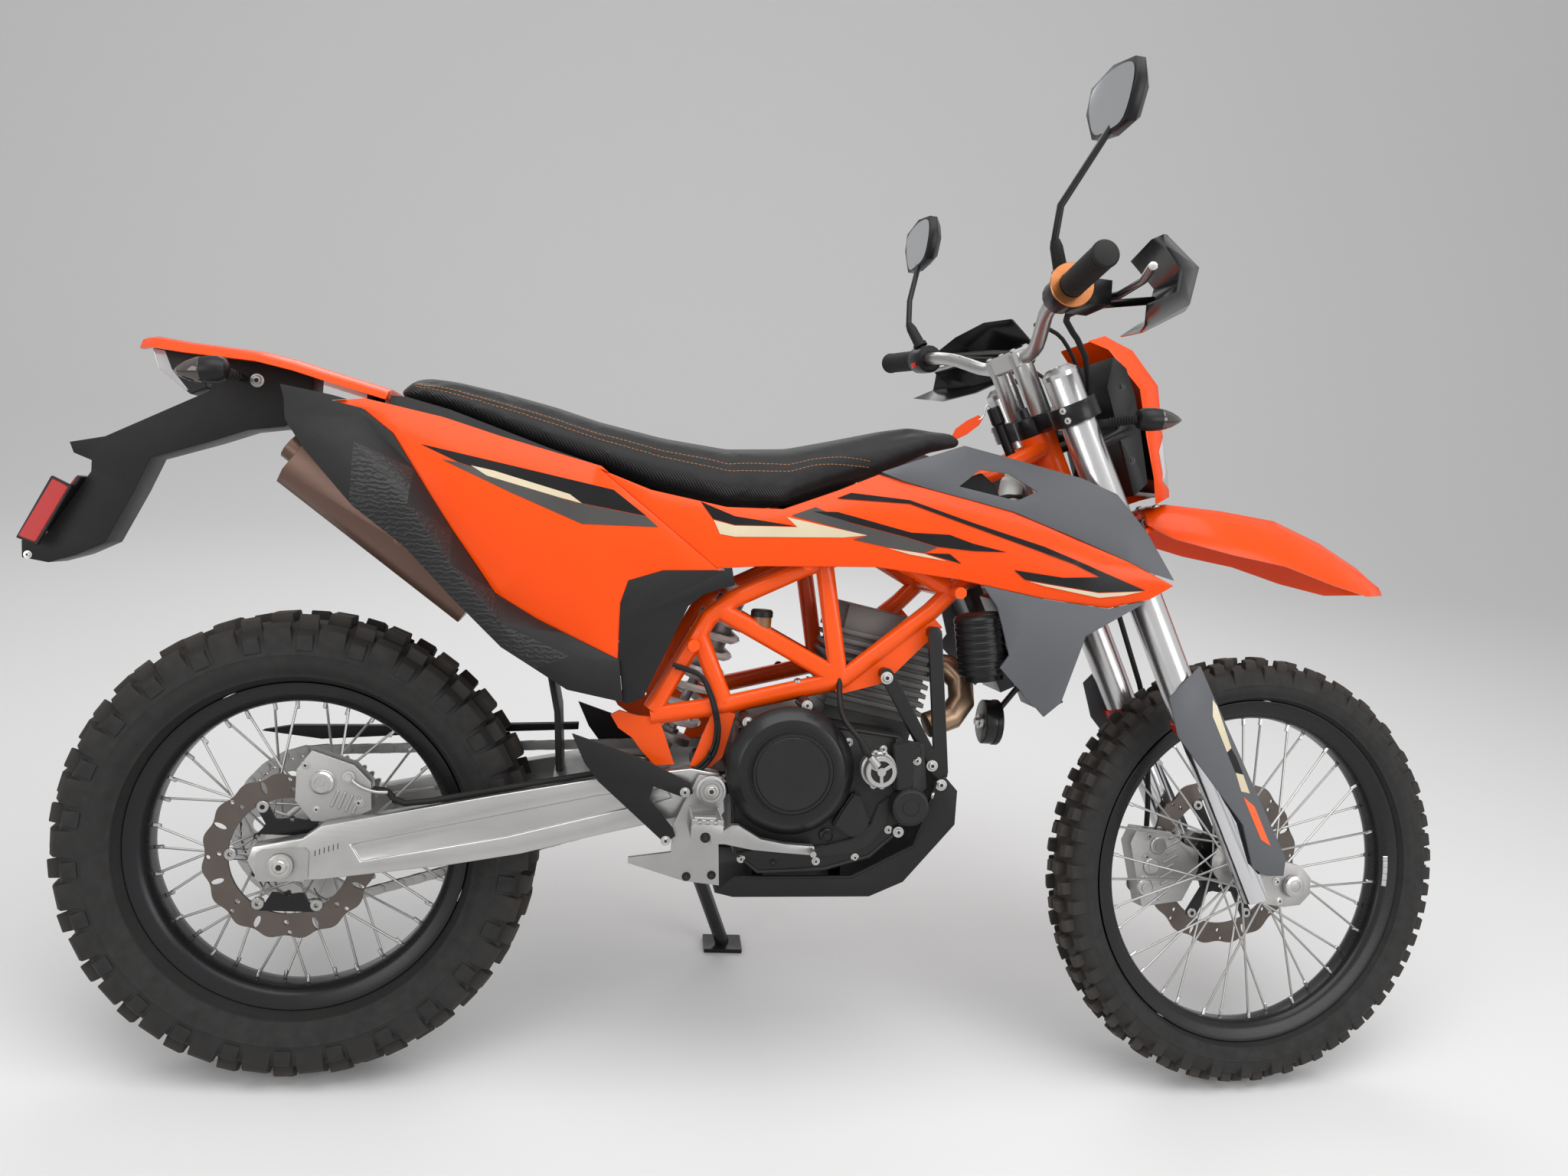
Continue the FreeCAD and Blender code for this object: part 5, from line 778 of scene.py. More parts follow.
# %% Tyres
def carcass_profile(outer, half, rim_radius, seat):
    """(radius, z) points of a tyre's outside, with two fine moulding rings on each wall."""
    height = outer - rim_radius
    right = [(rim_radius + 0.001, seat), (rim_radius + height * 0.10, seat + (half - seat) * 0.42),
             (rim_radius + height * 0.125, seat + (half - seat) * 0.56),
             (rim_radius + height * 0.155, seat + (half - seat) * 0.56),
             (rim_radius + height * 0.30, half * 0.885), (rim_radius + height * 0.46, half * 0.925),
             (rim_radius + height * 0.5, half * 0.94), (rim_radius + height * 0.53, half * 0.925),
             (rim_radius + height * 0.68, half * 0.895), (rim_radius + height * 0.80, half * 0.835),
             (rim_radius + height * 0.90, half * 0.71), (rim_radius + height * 0.97, half * 0.47),
             (outer, half * 0.2)]
    left = [(radius, -z) for radius, z in reversed(right)]
    outside = smooth_line([Vector((r, z, 0)) for r, z in right + left], 3)
    return [(point.x, point.y) for point in outside]


def tread_block(name, radius, low, high, along, across, side, drop, skew=0.0):
    """A block at radius, from low to high, rounded off and dropped towards its outer side."""
    mesh = box_mesh(name, (low, -along / 2, -across / 2), (high, along / 2, across / 2), 0.0011,
                    0.9)
    for vertex in mesh.vertices:
        sink = drop * vertex.co.z / across
        vertex.co.y += skew * vertex.co.z
        vertex.co.x -= sink
        vertex.co.z += side
        vertex.co.x -= radius
    return shape_object(mesh)


LUG_HEIGHT, SHOULDER = 0.014, 0.03


def make_tyre(name, body, centre, outer, width, rim_radius, seat, rows):
    profile = carcass_profile(outer - LUG_HEIGHT, width / 2, rim_radius, seat)
    mesh = painted(swept_round(name, profile, 144), "Tyre rubber")
    for index, (count, phase, low, high, along, across, side, drop, skew) in enumerate(rows):
        for hand in ((-1, 1) if side else (1,)):
            block = tread_block(f"{name}_block_{index}", outer, outer + low, outer + high, along,
                                across, side * hand, drop * hand, skew * hand)
            mesh = grow(mesh, RING_TREE, "Tyre rubber", Shape=block, Count=count,
                        Radius=outer, Phase=phase)
    tread = mesh.attributes.new("tread", "FLOAT", "POINT")
    for vertex in mesh.vertices:
        reach = math.hypot(vertex.co.x, vertex.co.y)
        tread.data[vertex.index].value = min(1.0, max(0.0, (reach - outer + SHOULDER) / SHOULDER))
    tidy_mesh(mesh, 30)
    return add_piece(name + "_smooth", mesh, wheel_matrix(body, centre), body, [name])


FRONT_RIM, REAR_RIM = 0.281, 0.2425
FRONT_LUGS, REAR_LUGS = 36, 26
front_pitch, rear_pitch = 2 * math.pi / FRONT_LUGS, 2 * math.pi / REAR_LUGS
# Each row of blocks: count, turn, low, high, along, across, side, drop, skew.
front = make_tyre("front_tyre", "front_wheel", FRONT_AXLE, FRONT_RADIUS, 0.090, FRONT_RIM, 0.0235, [
    (FRONT_LUGS, 0.0, -0.018, 0.0, 0.020, 0.015, 0.0095, 0.0015, 0.12),
    (FRONT_LUGS, front_pitch / 2, -0.022, -0.0035, 0.021, 0.013, 0.0245, 0.004, -0.15),
    (FRONT_LUGS, 0.0, -0.040, -0.0135, 0.022, 0.011, 0.0365, 0.006, 0.1),
])
rear = make_tyre("rear_tyre", "rear_wheel", REAR_AXLE, REAR_RADIUS, 0.140, REAR_RIM, 0.0325, [
    (REAR_LUGS, 0.0, -0.018, 0.0, 0.034, 0.024, 0.0145, 0.0015, 0.1),
    (REAR_LUGS, rear_pitch / 2, -0.023, -0.0045, 0.030, 0.018, 0.041, 0.006, -0.2),
    (REAR_LUGS, 0.0, -0.046, -0.0165, 0.040, 0.013, 0.0575, 0.010, 0.05),
    (REAR_LUGS, rear_pitch / 2, -0.050, -0.029, 0.024, 0.008, 0.0620, 0.006, 0.0),
])
print("tyres:", [len(tyre.data.polygons) for tyre in (front, rear)], "faces")

# %% [markdown]
# The rims are black aluminium channels with a rolled lip at each edge. Thirty-six spokes
# cross on their way from the hub's flanges to the rim. Each spoke is one edge of a mesh,
# from flange to rim, which the rod tree thickens; a bright nipple stands where it ends.

# %% Rims, spokes and nipples
SPOKES = 18


def rim_profile(radius, half):
    """(radius, z) points of a rim's section, from the right lip round to the right lip."""
    wall, well = 0.004, radius - 0.0295
    right = [(radius, half), (radius - 0.0025, half), (radius - 0.006, half - 0.0012),
             (radius - 0.016, half * 0.90), (well + 0.004, half * 0.74), (well, half * 0.46),
             (well - 0.0003, half * 0.15)]
    under = [(r, -z) for r, z in reversed(right)]
    inside_left = [(radius, -half + wall * 0.7), (radius - 0.006, -half + wall),
                   (radius - 0.016, -half * 0.9 + wall), (well + 0.0075, -half * 0.70),
                   (well + 0.0045, -half * 0.4)]
    inside_right = [(r, -z) for r, z in reversed(inside_left)]
    return right + under + inside_left + inside_right


def spoke_lines(flange_radius, flange_z, rim_inner):
    """One edge for each spoke, from its flange hole to the rim."""
    points, edges = [], []
    step = 2 * math.pi / SPOKES
    for hand in (-1, 1):
        for index in range(SPOKES):
            lean = 1 if index % 2 else -1
            angle = step * index - hand * step / 4
            root = angle + lean * 3 * math.radians(20)
            points.append((flange_radius * math.cos(root), flange_radius * math.sin(root),
                           hand * (flange_z + lean * 0.0018)))
            points.append((rim_inner * math.cos(angle), rim_inner * math.sin(angle), hand * 0.0072))
            edges.append((len(points) - 2, len(points) - 1))
    mesh = bpy.data.meshes.new("Spoke lines")
    mesh.from_pydata(points, edges, [])
    return mesh


def balance_weights(radius, half, count):
    """Small silver blocks stuck side by side on the rim's sloping wall."""
    slope = Matrix.Rotation(-0.44, 4, "Y")
    weights = []
    for index in range(count):
        angle = (index - (count - 1) / 2) * 0.0112 / radius
        mesh = box_mesh("Weight", (-0.0042, -0.0050, -0.0014), (0.0042, 0.0050, 0.0014), 0.0008)
        on_wall = Matrix.Translation((radius - 0.0207, 0, half * 0.84))
        mesh.transform(Matrix.Rotation(angle, 4, "Z") @ on_wall @ slope)
        weights.append(painted(mesh, "Anodised silver"))
    return weights


def make_rim(name, body, centre, radius, width, flange_radius, flange_z, weights=0):
    rim = painted(swept_round(name, rim_profile(radius, width / 2), 160),
                  "Black anodised aluminium")
    inner = radius - 0.030
    nipple = shape_object(box_mesh("Nipple", (-0.0125, -0.0027, -0.0027), (0.0005, 0.0027, 0.0027),
                                   0.0011))
    for hand in (-1, 1):
        rim = grow(rim, RING_TREE, "Anodised silver", Shape=nipple, Count=SPOKES, Radius=inner,
                   Height=hand * 0.0074, Phase=-hand * math.radians(5))
    if weights:
        rim = joined_mesh(name + "_smooth", [rim] + balance_weights(radius, width / 2, weights))
    add_piece(name + "_smooth", rim, wheel_matrix(body, centre), body, [name])
    lines = spoke_lines(flange_radius, flange_z, inner)
    return smoothed(grow(lines, ROD_TREE, "Brushed steel", Radius=0.0019, Sides=8))


front_spokes = make_rim("front_rim", "front_wheel", FRONT_AXLE, FRONT_RIM, 0.056, 0.033, 0.0375, 5)
rear_spokes = make_rim("rear_rim", "rear_wheel", REAR_AXLE, REAR_RIM, 0.074, 0.045, 0.0455)
print("spoke faces:", len(front_spokes.polygons) + len(rear_spokes.polygons))

# %% [markdown]
# A brake disc is a flat steel ring with a wavy edge and rows of round and slotted holes,
# on a black carrier. A filled 2D curve makes such a plate in one go: every closed spline
# inside another becomes a hole. The sprocket is the same thing with teeth.

# %% Discs, sprocket and hubs
def flat_plate(name, loops, depth, z, label):
    """A plate from closed loops of (x, y) points; inner loops are holes."""
    curve = bpy.data.curves.new(name, "CURVE")
    curve.dimensions = "2D"
    curve.fill_mode = "BOTH"
    curve.extrude = depth / 2
    for loop in loops:
        spline = curve.splines.new("POLY")
        spline.points.add(len(loop) - 1)
        for point, (x, y) in zip(spline.points, loop):
            point.co = (x, y, 0, 1)
        spline.use_cyclic_u = True
    item = bpy.data.objects.new(name, curve)
    scene.collection.objects.link(item)
    mesh = evaluated_mesh(item)
    bpy.data.objects.remove(item)
    mesh.transform(Matrix.Translation((0, 0, z)))
    return painted(tidy_mesh(mesh), label)


def ring_loop(radius, count=96, wave=0.0, lobes=8, phase=0.0):
    loop = []
    for index in range(count):
        angle = 2 * math.pi * index / count + phase
        reach = radius - wave * (1 + math.cos((angle - phase) * lobes)) / 2
        loop.append((reach * math.cos(angle), reach * math.sin(angle)))
    return loop


def hole_loop(radius, angle, size, long=1.0, count=12):
    out, side = (math.cos(angle), math.sin(angle)), (-math.sin(angle), math.cos(angle))
    loop = []
    for index in range(count):
        turn = 2 * math.pi * index / count
        u, v = radius + size * long * math.cos(turn), size * math.sin(turn)
        loop.append((out[0] * u + side[0] * v, out[1] * u + side[1] * v))
    return loop


def disc_mesh(radius, z, inner, hub):
    """A scalloped, slotted band held on a black carrier by six round buttons."""
    loops = [ring_loop(radius, 256, 0.0052, 16), ring_loop(inner, 96)]
    middle, width = (radius + inner) / 2, radius - inner
    for index in range(16):
        angle = 2 * math.pi * index / 16
        if index % 2:
            loops.append(hole_loop(middle + width * 0.06, angle, 0.0040, 2.4, 14))
        else:
            loops.append(hole_loop(middle - width * 0.16, angle, 0.0036))
            loops.append(hole_loop(middle + width * 0.24, angle + 0.05, 0.0033))
    band = flat_plate("Disc", loops, 0.0045, z, "Disc steel")
    carrier = []
    for index in range(144):
        angle = 2 * math.pi * index / 144
        near = abs((angle * 6 / (2 * math.pi) + 0.5) % 1 - 0.5)
        dip = 0.28 + 0.5 * max(0.0, 0.24 - near)
        reach = inner + 0.004 if near < 0.09 else hub + (inner - hub) * dip
        carrier.append((reach * math.cos(angle), reach * math.sin(angle)))
    holes = [hole_loop(hub + 0.010, 2 * math.pi * (index + 0.5) / 6, 0.004) for index in range(6)]
    arms = flat_plate("Carrier", [carrier, ring_loop(hub * 0.62, 48)] + holes, 0.0055, z,
                      "Black anodised aluminium")
    button = swept_round("Button", [(0.0036, 0.0042), (0.0078, 0.0042), (0.0086, 0.0034),
                                    (0.0086, -0.0034), (0.0078, -0.0042), (0.0036, -0.0042)], 20)
    ring = grow(bpy.data.meshes.new("None"), RING_TREE, "Brushed steel", Count=6,
                Shape=shape_object(painted(button, "Brushed steel")), Radius=inner - 0.0035,
                Height=z)
    return [band, arms, ring]


CHAIN_PITCH, CHAIN_SIDE = 0.015875, 0.086
FRONT_TEETH, REAR_TEETH = 16, 48


def pitch_radius(teeth):
    """How far the chain runs from the middle of a sprocket."""
    return CHAIN_PITCH / (2 * math.sin(math.pi / teeth))


def sprocket_mesh(teeth, z, hub):
    root = pitch_radius(teeth) - 0.0052
    loop = []
    for index in range(teeth * 6):
        angle = 2 * math.pi * index / (teeth * 6)
        tip = (0, 0.25, 0.85, 1, 0.85, 0.25)[index % 6]
        reach = root + 0.0085 * tip - 0.0045
        loop.append((reach * math.cos(angle), reach * math.sin(angle)))
    holes = [hole_loop(root * 0.74, 2 * math.pi * index / 6, 0.013, 0.9, 20) for index in range(6)]
    return flat_plate("Sprocket", [loop, ring_loop(hub, 48)] + holes, 0.0055, z, "Brushed steel")


AXLE_BORE = 0.0104


def hub_mesh(half, radius, flange, left, right):
    """A hub with its two spoke flanges, reaching left and right by its ends."""
    tube = radius * 0.78
    flank = [(tube, half + 0.006), (flange * 0.72, half + 0.004), (flange, half),
             (flange, half - 0.005), (radius + 0.004, half - 0.011), (radius * 0.86, half * 0.5)]
    profile = [(AXLE_BORE, -left), (tube, -left), *((r, -z) for r, z in flank), (radius * 0.8, 0),
               *reversed(flank), (tube, right), (AXLE_BORE, right)]
    return painted(swept_round("Hub", profile, 64), "Cast aluminium")


front_parts = [hub_mesh(0.040, 0.024, 0.036, 0.0625, 0.046), front_spokes,
               *disc_mesh(0.146, -0.062, 0.110, 0.036)]
rear_parts = [hub_mesh(0.048, 0.030, 0.048, 0.086, 0.083), rear_spokes,
              sprocket_mesh(REAR_TEETH, -CHAIN_SIDE, 0.047), *disc_mesh(0.120, 0.082, 0.084, 0.044)]
for name, body, centre, parts in (("front_hub", "front_wheel", FRONT_AXLE, front_parts),
                                  ("rear_hub", "rear_wheel", REAR_AXLE, rear_parts)):
    hub = add_piece(name + "_smooth", joined_mesh(name + "_smooth", parts),
                    wheel_matrix(body, centre), body, [name])
    print(name, "with spokes and disc:", len(hub.data.polygons), "faces")

# %% [markdown]
# The seat is foam under a stretched cover: grained on top, finely ribbed on the sides, with
# a double row of orange stitches where the two meet. Its solid gives the shape. A copy of it
# is remeshed into even small faces, blown up a little by Cloth pressure so that it gets the
# fullness of foam, and held within a few millimetres of the solid. The sewn seam is pressed
# in afterwards, because remeshing would fill it.

# %% The seat cover's finish
def seat_finish():
    tree, shader = new_material("Cushion cover")
    place = own_axes(tree)
    patches = use_group(tree, PATCHES, place, Colour=(0.0125, 0.0125, 0.013, 1), Scale=16.0,
                        Amount=0.25)
    dust = use_group(tree, DUST, place, Amount=0.1, Scale=30.0)["Mask"]
    side = add_node(tree, "ShaderNodeAttribute", {"attribute_name": "side"}).outputs["Fac"]
    ribs = add_node(tree, "ShaderNodeTexWave", {"bands_direction": "DIAGONAL"}, Vector=place,
                    Scale=150, Distortion=0.8, Detail=1).outputs["Fac"]
    height = add_node(tree, "ShaderNodeMix", Factor=side)
    put(tree, height.inputs[2], use_group(tree, GRAIN, place, Scale=520.0)["Height"])
    put(tree, height.inputs[3], math_node(tree, "MULTIPLY", ribs, 2.2))
    rough = add_node(tree, "ShaderNodeMapRange", Value=side, To_Min=0.58, To_Max=0.36)
    fill(tree, shader, Roughness=rough.outputs["Result"], Sheen_Weight=0.03,
         Base_Color=blend_colour(tree, dust, patches["Colour"], (0.12, 0.11, 0.10)),
         Specular_IOR_Level=0.28, Normal=bumped(tree, height.outputs[0], 0.55, 0.0005))


seat_finish()
finish("Orange thread", (0.42, 0.17, 0.06), 0.6, grain=0.3, grain_scale=2500, tone=0.25,
       tone_scale=60)
print("seat finishes:", "Cushion cover" in FINISHES, "Orange thread" in FINISHES)

# %% [markdown]
# The seat's top line, lower edge and width change along the machine. A short list of
# stations holds them, and the place of the seam at any point is worked out between them.

# %% The cushion
# Share of the wheelbase, then top, lower edge and half width as shares.
SEAT_STATIONS = [
    (0.07, 1.05, 1.036, 0.62), (0.084, 1.07, 1.033, 0.8), (0.125, 1.065, 1.02, 0.93),
    (0.176, 1.053, 0.996, 0.98), (0.22, 1.04, 0.975, 1.0), (0.264, 1.023, 0.957, 1.0),
    (0.325, 1.007, 0.93, 1.0), (0.389, 0.998, 0.911, 1.0), (0.449, 1.006, 0.914, 0.97),
    (0.494, 1.024, 0.947, 0.86), (0.546, 1.046, 0.98, 0.74), (0.598, 1.063, 1.022, 0.6),
    (0.622, 1.062, 1.032, 0.5), (0.632, 1.05, 1.037, 0.42),
]
SEAT_HALF = 0.112


def seat_at(along):
    """Top, lower edge and half width of the seat at a share of the wheelbase."""
    along = min(max(along, SEAT_STATIONS[0][0]), SEAT_STATIONS[-1][0])
    for (x0, *low), (x1, *high) in zip(SEAT_STATIONS, SEAT_STATIONS[1:]):
        if along <= x1:
            t = (along - x0) / (x1 - x0)
            top, edge, out = (a + (b - a) * t for a, b in zip(low, high))
            return SEAT_HEIGHT * top, SEAT_HEIGHT * edge, SEAT_HALF * out


def seam_points(height, reach, start=0.078, end=0.535, count=90):
    """Both runs of the seam, a share of the way up the seat's side."""
    runs = []
    for hand in (-1, 1):
        run = []
        for step in range(count + 1):
            along = start + (end - start) * step / count
            top, edge, half = seat_at(along)
            late = max(0.0, (along - 0.47) / (end - 0.47))
            share = height - 0.42 * late ** 1.5
            high = edge + (top - edge) * share
            run.append(Vector((WHEELBASE * along, hand * half * reach, high)))
        runs.append(run)
    return runs


def swollen(item, pressure, cap):
    """The mesh after a short Cloth run, no point moved by more than the cap."""
    rest = [vertex.co.copy() for vertex in item.data.vertices]
    cloth = item.modifiers.new("Swell", "CLOTH")
    cloth.settings.use_pressure = True
    cloth.settings.uniform_pressure_force = pressure
    cloth.settings.effector_weights.gravity = 0
    cloth.settings.quality = 4
    cloth.point_cache.frame_start = 1
    cloth.point_cache.frame_end = 20
    for moment in range(1, 21):
        scene.frame_set(moment)
    mesh = evaluated_mesh(item)
    for vertex, start in zip(mesh.vertices, rest):
        step = vertex.co - start
        if step.length > cap:
            vertex.co = start + step * (cap / step.length)
    item.modifiers.clear()
    scene.frame_set(1)
    return mesh


SHRINK, VOXEL, PRESSURE, SWELL_CAP = 0.003, 0.006, 4.0, 0.005


def make_seat():
    work = bmesh.new()
    work.from_mesh(nodes["seat"].data)
    bmesh.ops.remove_doubles(work, verts=work.verts, dist=0.00002)
    long_edges = [edge for edge in work.edges if edge.calc_length() > 0.03]
    bmesh.ops.subdivide_edges(work, edges=long_edges, cuts=2, use_grid_fill=True)
    work.normal_update()
    for vertex in work.verts:
        vertex.co -= vertex.normal * SHRINK
    item = bpy.data.objects.new("seat_cushion", plain_mesh("seat_cushion", work))
    scene.collection.objects.link(item)
    remesh = item.modifiers.new("Even faces", "REMESH")
    remesh.mode = "VOXEL"
    remesh.voxel_size = VOXEL
    soften = item.modifiers.new("Soften", "SMOOTH")
    soften.factor = 0.5
    soften.iterations = 8
    item.data = evaluated_mesh(item)
    item.modifiers.clear()
    item.data = swollen(item, PRESSURE, SWELL_CAP)
    smooth = item.modifiers.new("Finer", "SUBSURF")
    smooth.levels = smooth.render_levels = 1
    item.data = evaluated_mesh(item)
    item.modifiers.clear()
    return item


seat = make_seat()
print("cushion faces:", len(seat.data.polygons))

# %% [markdown]
# With even faces the seam is easy: each point near the seam's line is pushed in, most where
# it is nearest. The same distance tells which side of the seam a point lies on, and that
# is kept on the mesh for the finish to read.

# %% The sewn seam
def press_seam(item, depth=0.0018, width=0.0042):
    line = [point for run in seam_points(0.72, 0.93) for point in run]
    fine = []
    for start, end in zip(line, line[1:]):
        if (end - start).length < 0.03:
            fine += [start.lerp(end, step / 4) for step in range(4)]
    tree = KDTree(len(fine))
    for index, point in enumerate(fine):
        tree.insert(point, index)
    tree.balance()
    mesh = item.data
    side = mesh.attributes.new("side", "FLOAT", "POINT")
    moves = []
    for vertex in mesh.vertices:
        place = UPRIGHT @ vertex.co
        near, _, gap = tree.find(place)
        half = seat_at(place.x / WHEELBASE)[2]
        behind = min(1.0, max(0.0, (0.545 - place.x / WHEELBASE) / 0.02))
        below = 1.0 if place.z < near.z and abs(place.y) > half * 0.6 else 0.0
        side.data[vertex.index].value = below * behind
        moves.append(vertex.normal * (depth * math.exp(-(gap / width) ** 2)))
    for vertex, move in zip(mesh.vertices, moves):
        vertex.co -= move
    return smoothed(mesh)


painted(press_seam(seat), "Cushion cover")
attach(seat, "chassis")
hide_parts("seat")
print("seam pressed into", len(seat.data.vertices), "points")

# %% [markdown]
# A stitch is a short plump capsule. A third tree walks along a line at an even distance and
# sets a shape at each step, facing along the line. It also sets the teeth of the foot pegs
# and, by number and turned about one axis only, the links of the chain.

# %% The path tree and the stitches
def walk_tree(name, mode, step, facing):
    """Sets a shape along the edges of a mesh, X along the line, by distance or by number."""
    tree, given, out = new_tree(name, [SHAPE, step])
    lines = add_node(tree, "GeometryNodeMeshToCurve", Mesh=given["Geometry"])
    even = add_node(tree, "GeometryNodeResampleCurve", {"mode": mode}, Curve=lines.outputs["Curve"])
    put(tree, even.inputs[step[0]], given[step[0]])
    tangent = tree.nodes.new("GeometryNodeInputTangent")
    return set_shapes(tree, given, out, even.outputs["Curve"], tangent.outputs["Tangent"], facing)


PATH_TREE = walk_tree("Shapes along a line", "LENGTH", ("Length", NUMBER, 0.007), {"axis": "X"})


def line_mesh(runs, closed=False):
    points, edges = [], []
    for run in runs:
        start = len(points)
        points += [tuple(point) for point in run]
        edges += [(start + i, start + i + 1) for i in range(len(run) - 1)]
        if closed:
            edges.append((len(points) - 1, start))
    mesh = bpy.data.meshes.new("Lines")
    mesh.from_pydata(points, edges, [])
    return mesh


def surface_of(item):
    """A search tree over a dressed object's surface, in the row's frame."""
    return BVHTree.FromObject(item, bpy.context.evaluated_depsgraph_get())


def make_stitches():
    surface = surface_of(seat)
    runs = []
    for height, reach in ((0.80, 0.90), (0.64, 0.955)):
        for run in seam_points(height, reach, 0.09, 0.53, 140):
            laid = []
            for point in run:
                near, normal, _, _ = surface.find_nearest(LEANING @ point)
                laid.append(near + normal * 0.0002)
            runs.append(laid)
    stitch = shape_object(box_mesh("Stitch", (-0.0021, -0.0005, -0.0005), (0.0021, 0.0005, 0.0005),
                                   0.0003))
    mesh = grow(line_mesh(runs), PATH_TREE, "Orange thread", Shape=stitch, Length=0.0062)
    return add_piece("seat_stitches", mesh, Matrix.Identity(4), "chassis", ())


stitches = make_stitches()
print("stitches:", len(stitches.data.polygons) // 26)

# %% [markdown]
# Stickers lie on curved panels. Their outlines are easiest to read on the photograph, so a
# sticker is a list of corners in the photograph's pixels. The outline is cut into small
# cells, and each corner is sent out from the camera until it meets its panel; there it
# stays, a fraction of a millimetre proud. The far side gets the same sticker, mirrored
# through the middle of the machine. They carry plain angular shapes only, no words.

# %% Sticker finishes
finish("Black foil", (0.006, 0.006, 0.0065), 0.22, coat=0.12, tone=0.2, tone_scale=30, level=0.2)
finish("Charcoal foil", (0.062, 0.060, 0.058), 0.24, coat=0.15, tone=0.5, tone_scale=7, level=0.3)
# Beige foil makes the real pale stripes, and also one painted highlight on the shroud.
finish("Beige foil", (0.62, 0.53, 0.36), 0.26, coat=0.4, tone=0.16, tone_scale=12)
finish("Orange foil", (0.92, 0.11, 0.01), 0.22, coat=0.5, tone=0.06)
print("foils:", [name for name in FINISHES if name.endswith("foil")])

# %% [markdown]
# The camera's place and its focal length, counted in the photograph's pixels, are all that
# a ray needs. The outline is cut along a grid before its corners are sent out, because a
# large face would cut through a bulging panel.

# %% Laying a sticker on its panel
PHOTO_WIDTH, PHOTO_HEIGHT = 2048, 1536
FOCAL_PIXELS, CAMERA_AT = 1593.4, view.translation.copy()


def photo_ray(x, y):
    """The direction from the camera through a pixel of the photograph."""
    across, up = x - PHOTO_WIDTH / 2, PHOTO_HEIGHT / 2 - y
    return (looking * FOCAL_PIXELS + right_edge * across + top_edge * up).normalized()


def whole(work):
    """Everything in a working mesh, as the bmesh tools ask for it."""
    return work.verts[:] + work.edges[:] + work.faces[:]


def pixel_cells(outline, cell):
    """The outline cut into small faces along lines a few pixels apart."""
    work = bmesh.new()
    work.faces.new([work.verts.new((x, y, 0)) for x, y in outline])
    for axis in (0, 1):
        low = min(point[axis] for point in outline)
        high = max(point[axis] for point in outline)
        for step in range(1, int((high - low) / cell) + 1):
            normal = Vector((axis == 0, axis == 1, 0))
            bmesh.ops.bisect_plane(work, geom=whole(work), plane_co=normal * (low + step * cell),
                                   plane_no=normal)
    bmesh.ops.triangulate(work, faces=[face for face in work.faces if len(face.verts) > 4])
    return work


CELL_PIXELS, LONGEST_EDGE, STICKER_LIFT = 9, 0.06, 0.0005


def sticker(name, panel, outline, label, body="chassis", lift=STICKER_LIFT):
    """A sticker from pixels of the photograph on one panel, and its mirror image."""
    surface = surface_of(nodes[panel])
    work = pixel_cells(outline, CELL_PIXELS)
    lost = []
    for vertex in work.verts:
        hit, normal, _, _ = surface.ray_cast(CAMERA_AT, photo_ray(vertex.co.x, vertex.co.y))
        if hit is None:
            lost.append(vertex)
            continue
        if normal.dot(hit - CAMERA_AT) > 0:
            normal = -normal
        vertex.co = hit + normal * lift
    bmesh.ops.delete(work, geom=lost, context="VERTS")
    long_faces = [face for face in work.faces
                  if max(edge.calc_length() for edge in face.edges) > LONGEST_EDGE]
    bmesh.ops.delete(work, geom=long_faces, context="FACES")
    space = SPACES[body]
    back = space.inverted()
    copy = bmesh.ops.duplicate(work, geom=whole(work))["geom"]
    for part in copy:
        if isinstance(part, bmesh.types.BMVert):
            place = back @ part.co
            place.y = -place.y
            part.co = space @ place
    copied_faces = [part for part in copy if isinstance(part, bmesh.types.BMFace)]
    bmesh.ops.reverse_faces(work, faces=copied_faces)
    for face in work.faces:
        outwards = (back.to_3x3() @ face.normal).y * (back @ face.calc_center_median()).y
        if outwards < 0:
            face.normal_flip()
        face.smooth = True
    return add_piece(name, painted(plain_mesh(name, work), label), Matrix.Identity(4), body)


def on_photo(crop, x, y):
    """A point read from an enlarged crop, as a pixel of the whole photograph."""
    left, top, scale = crop
    return left + x / scale, top + y / scale


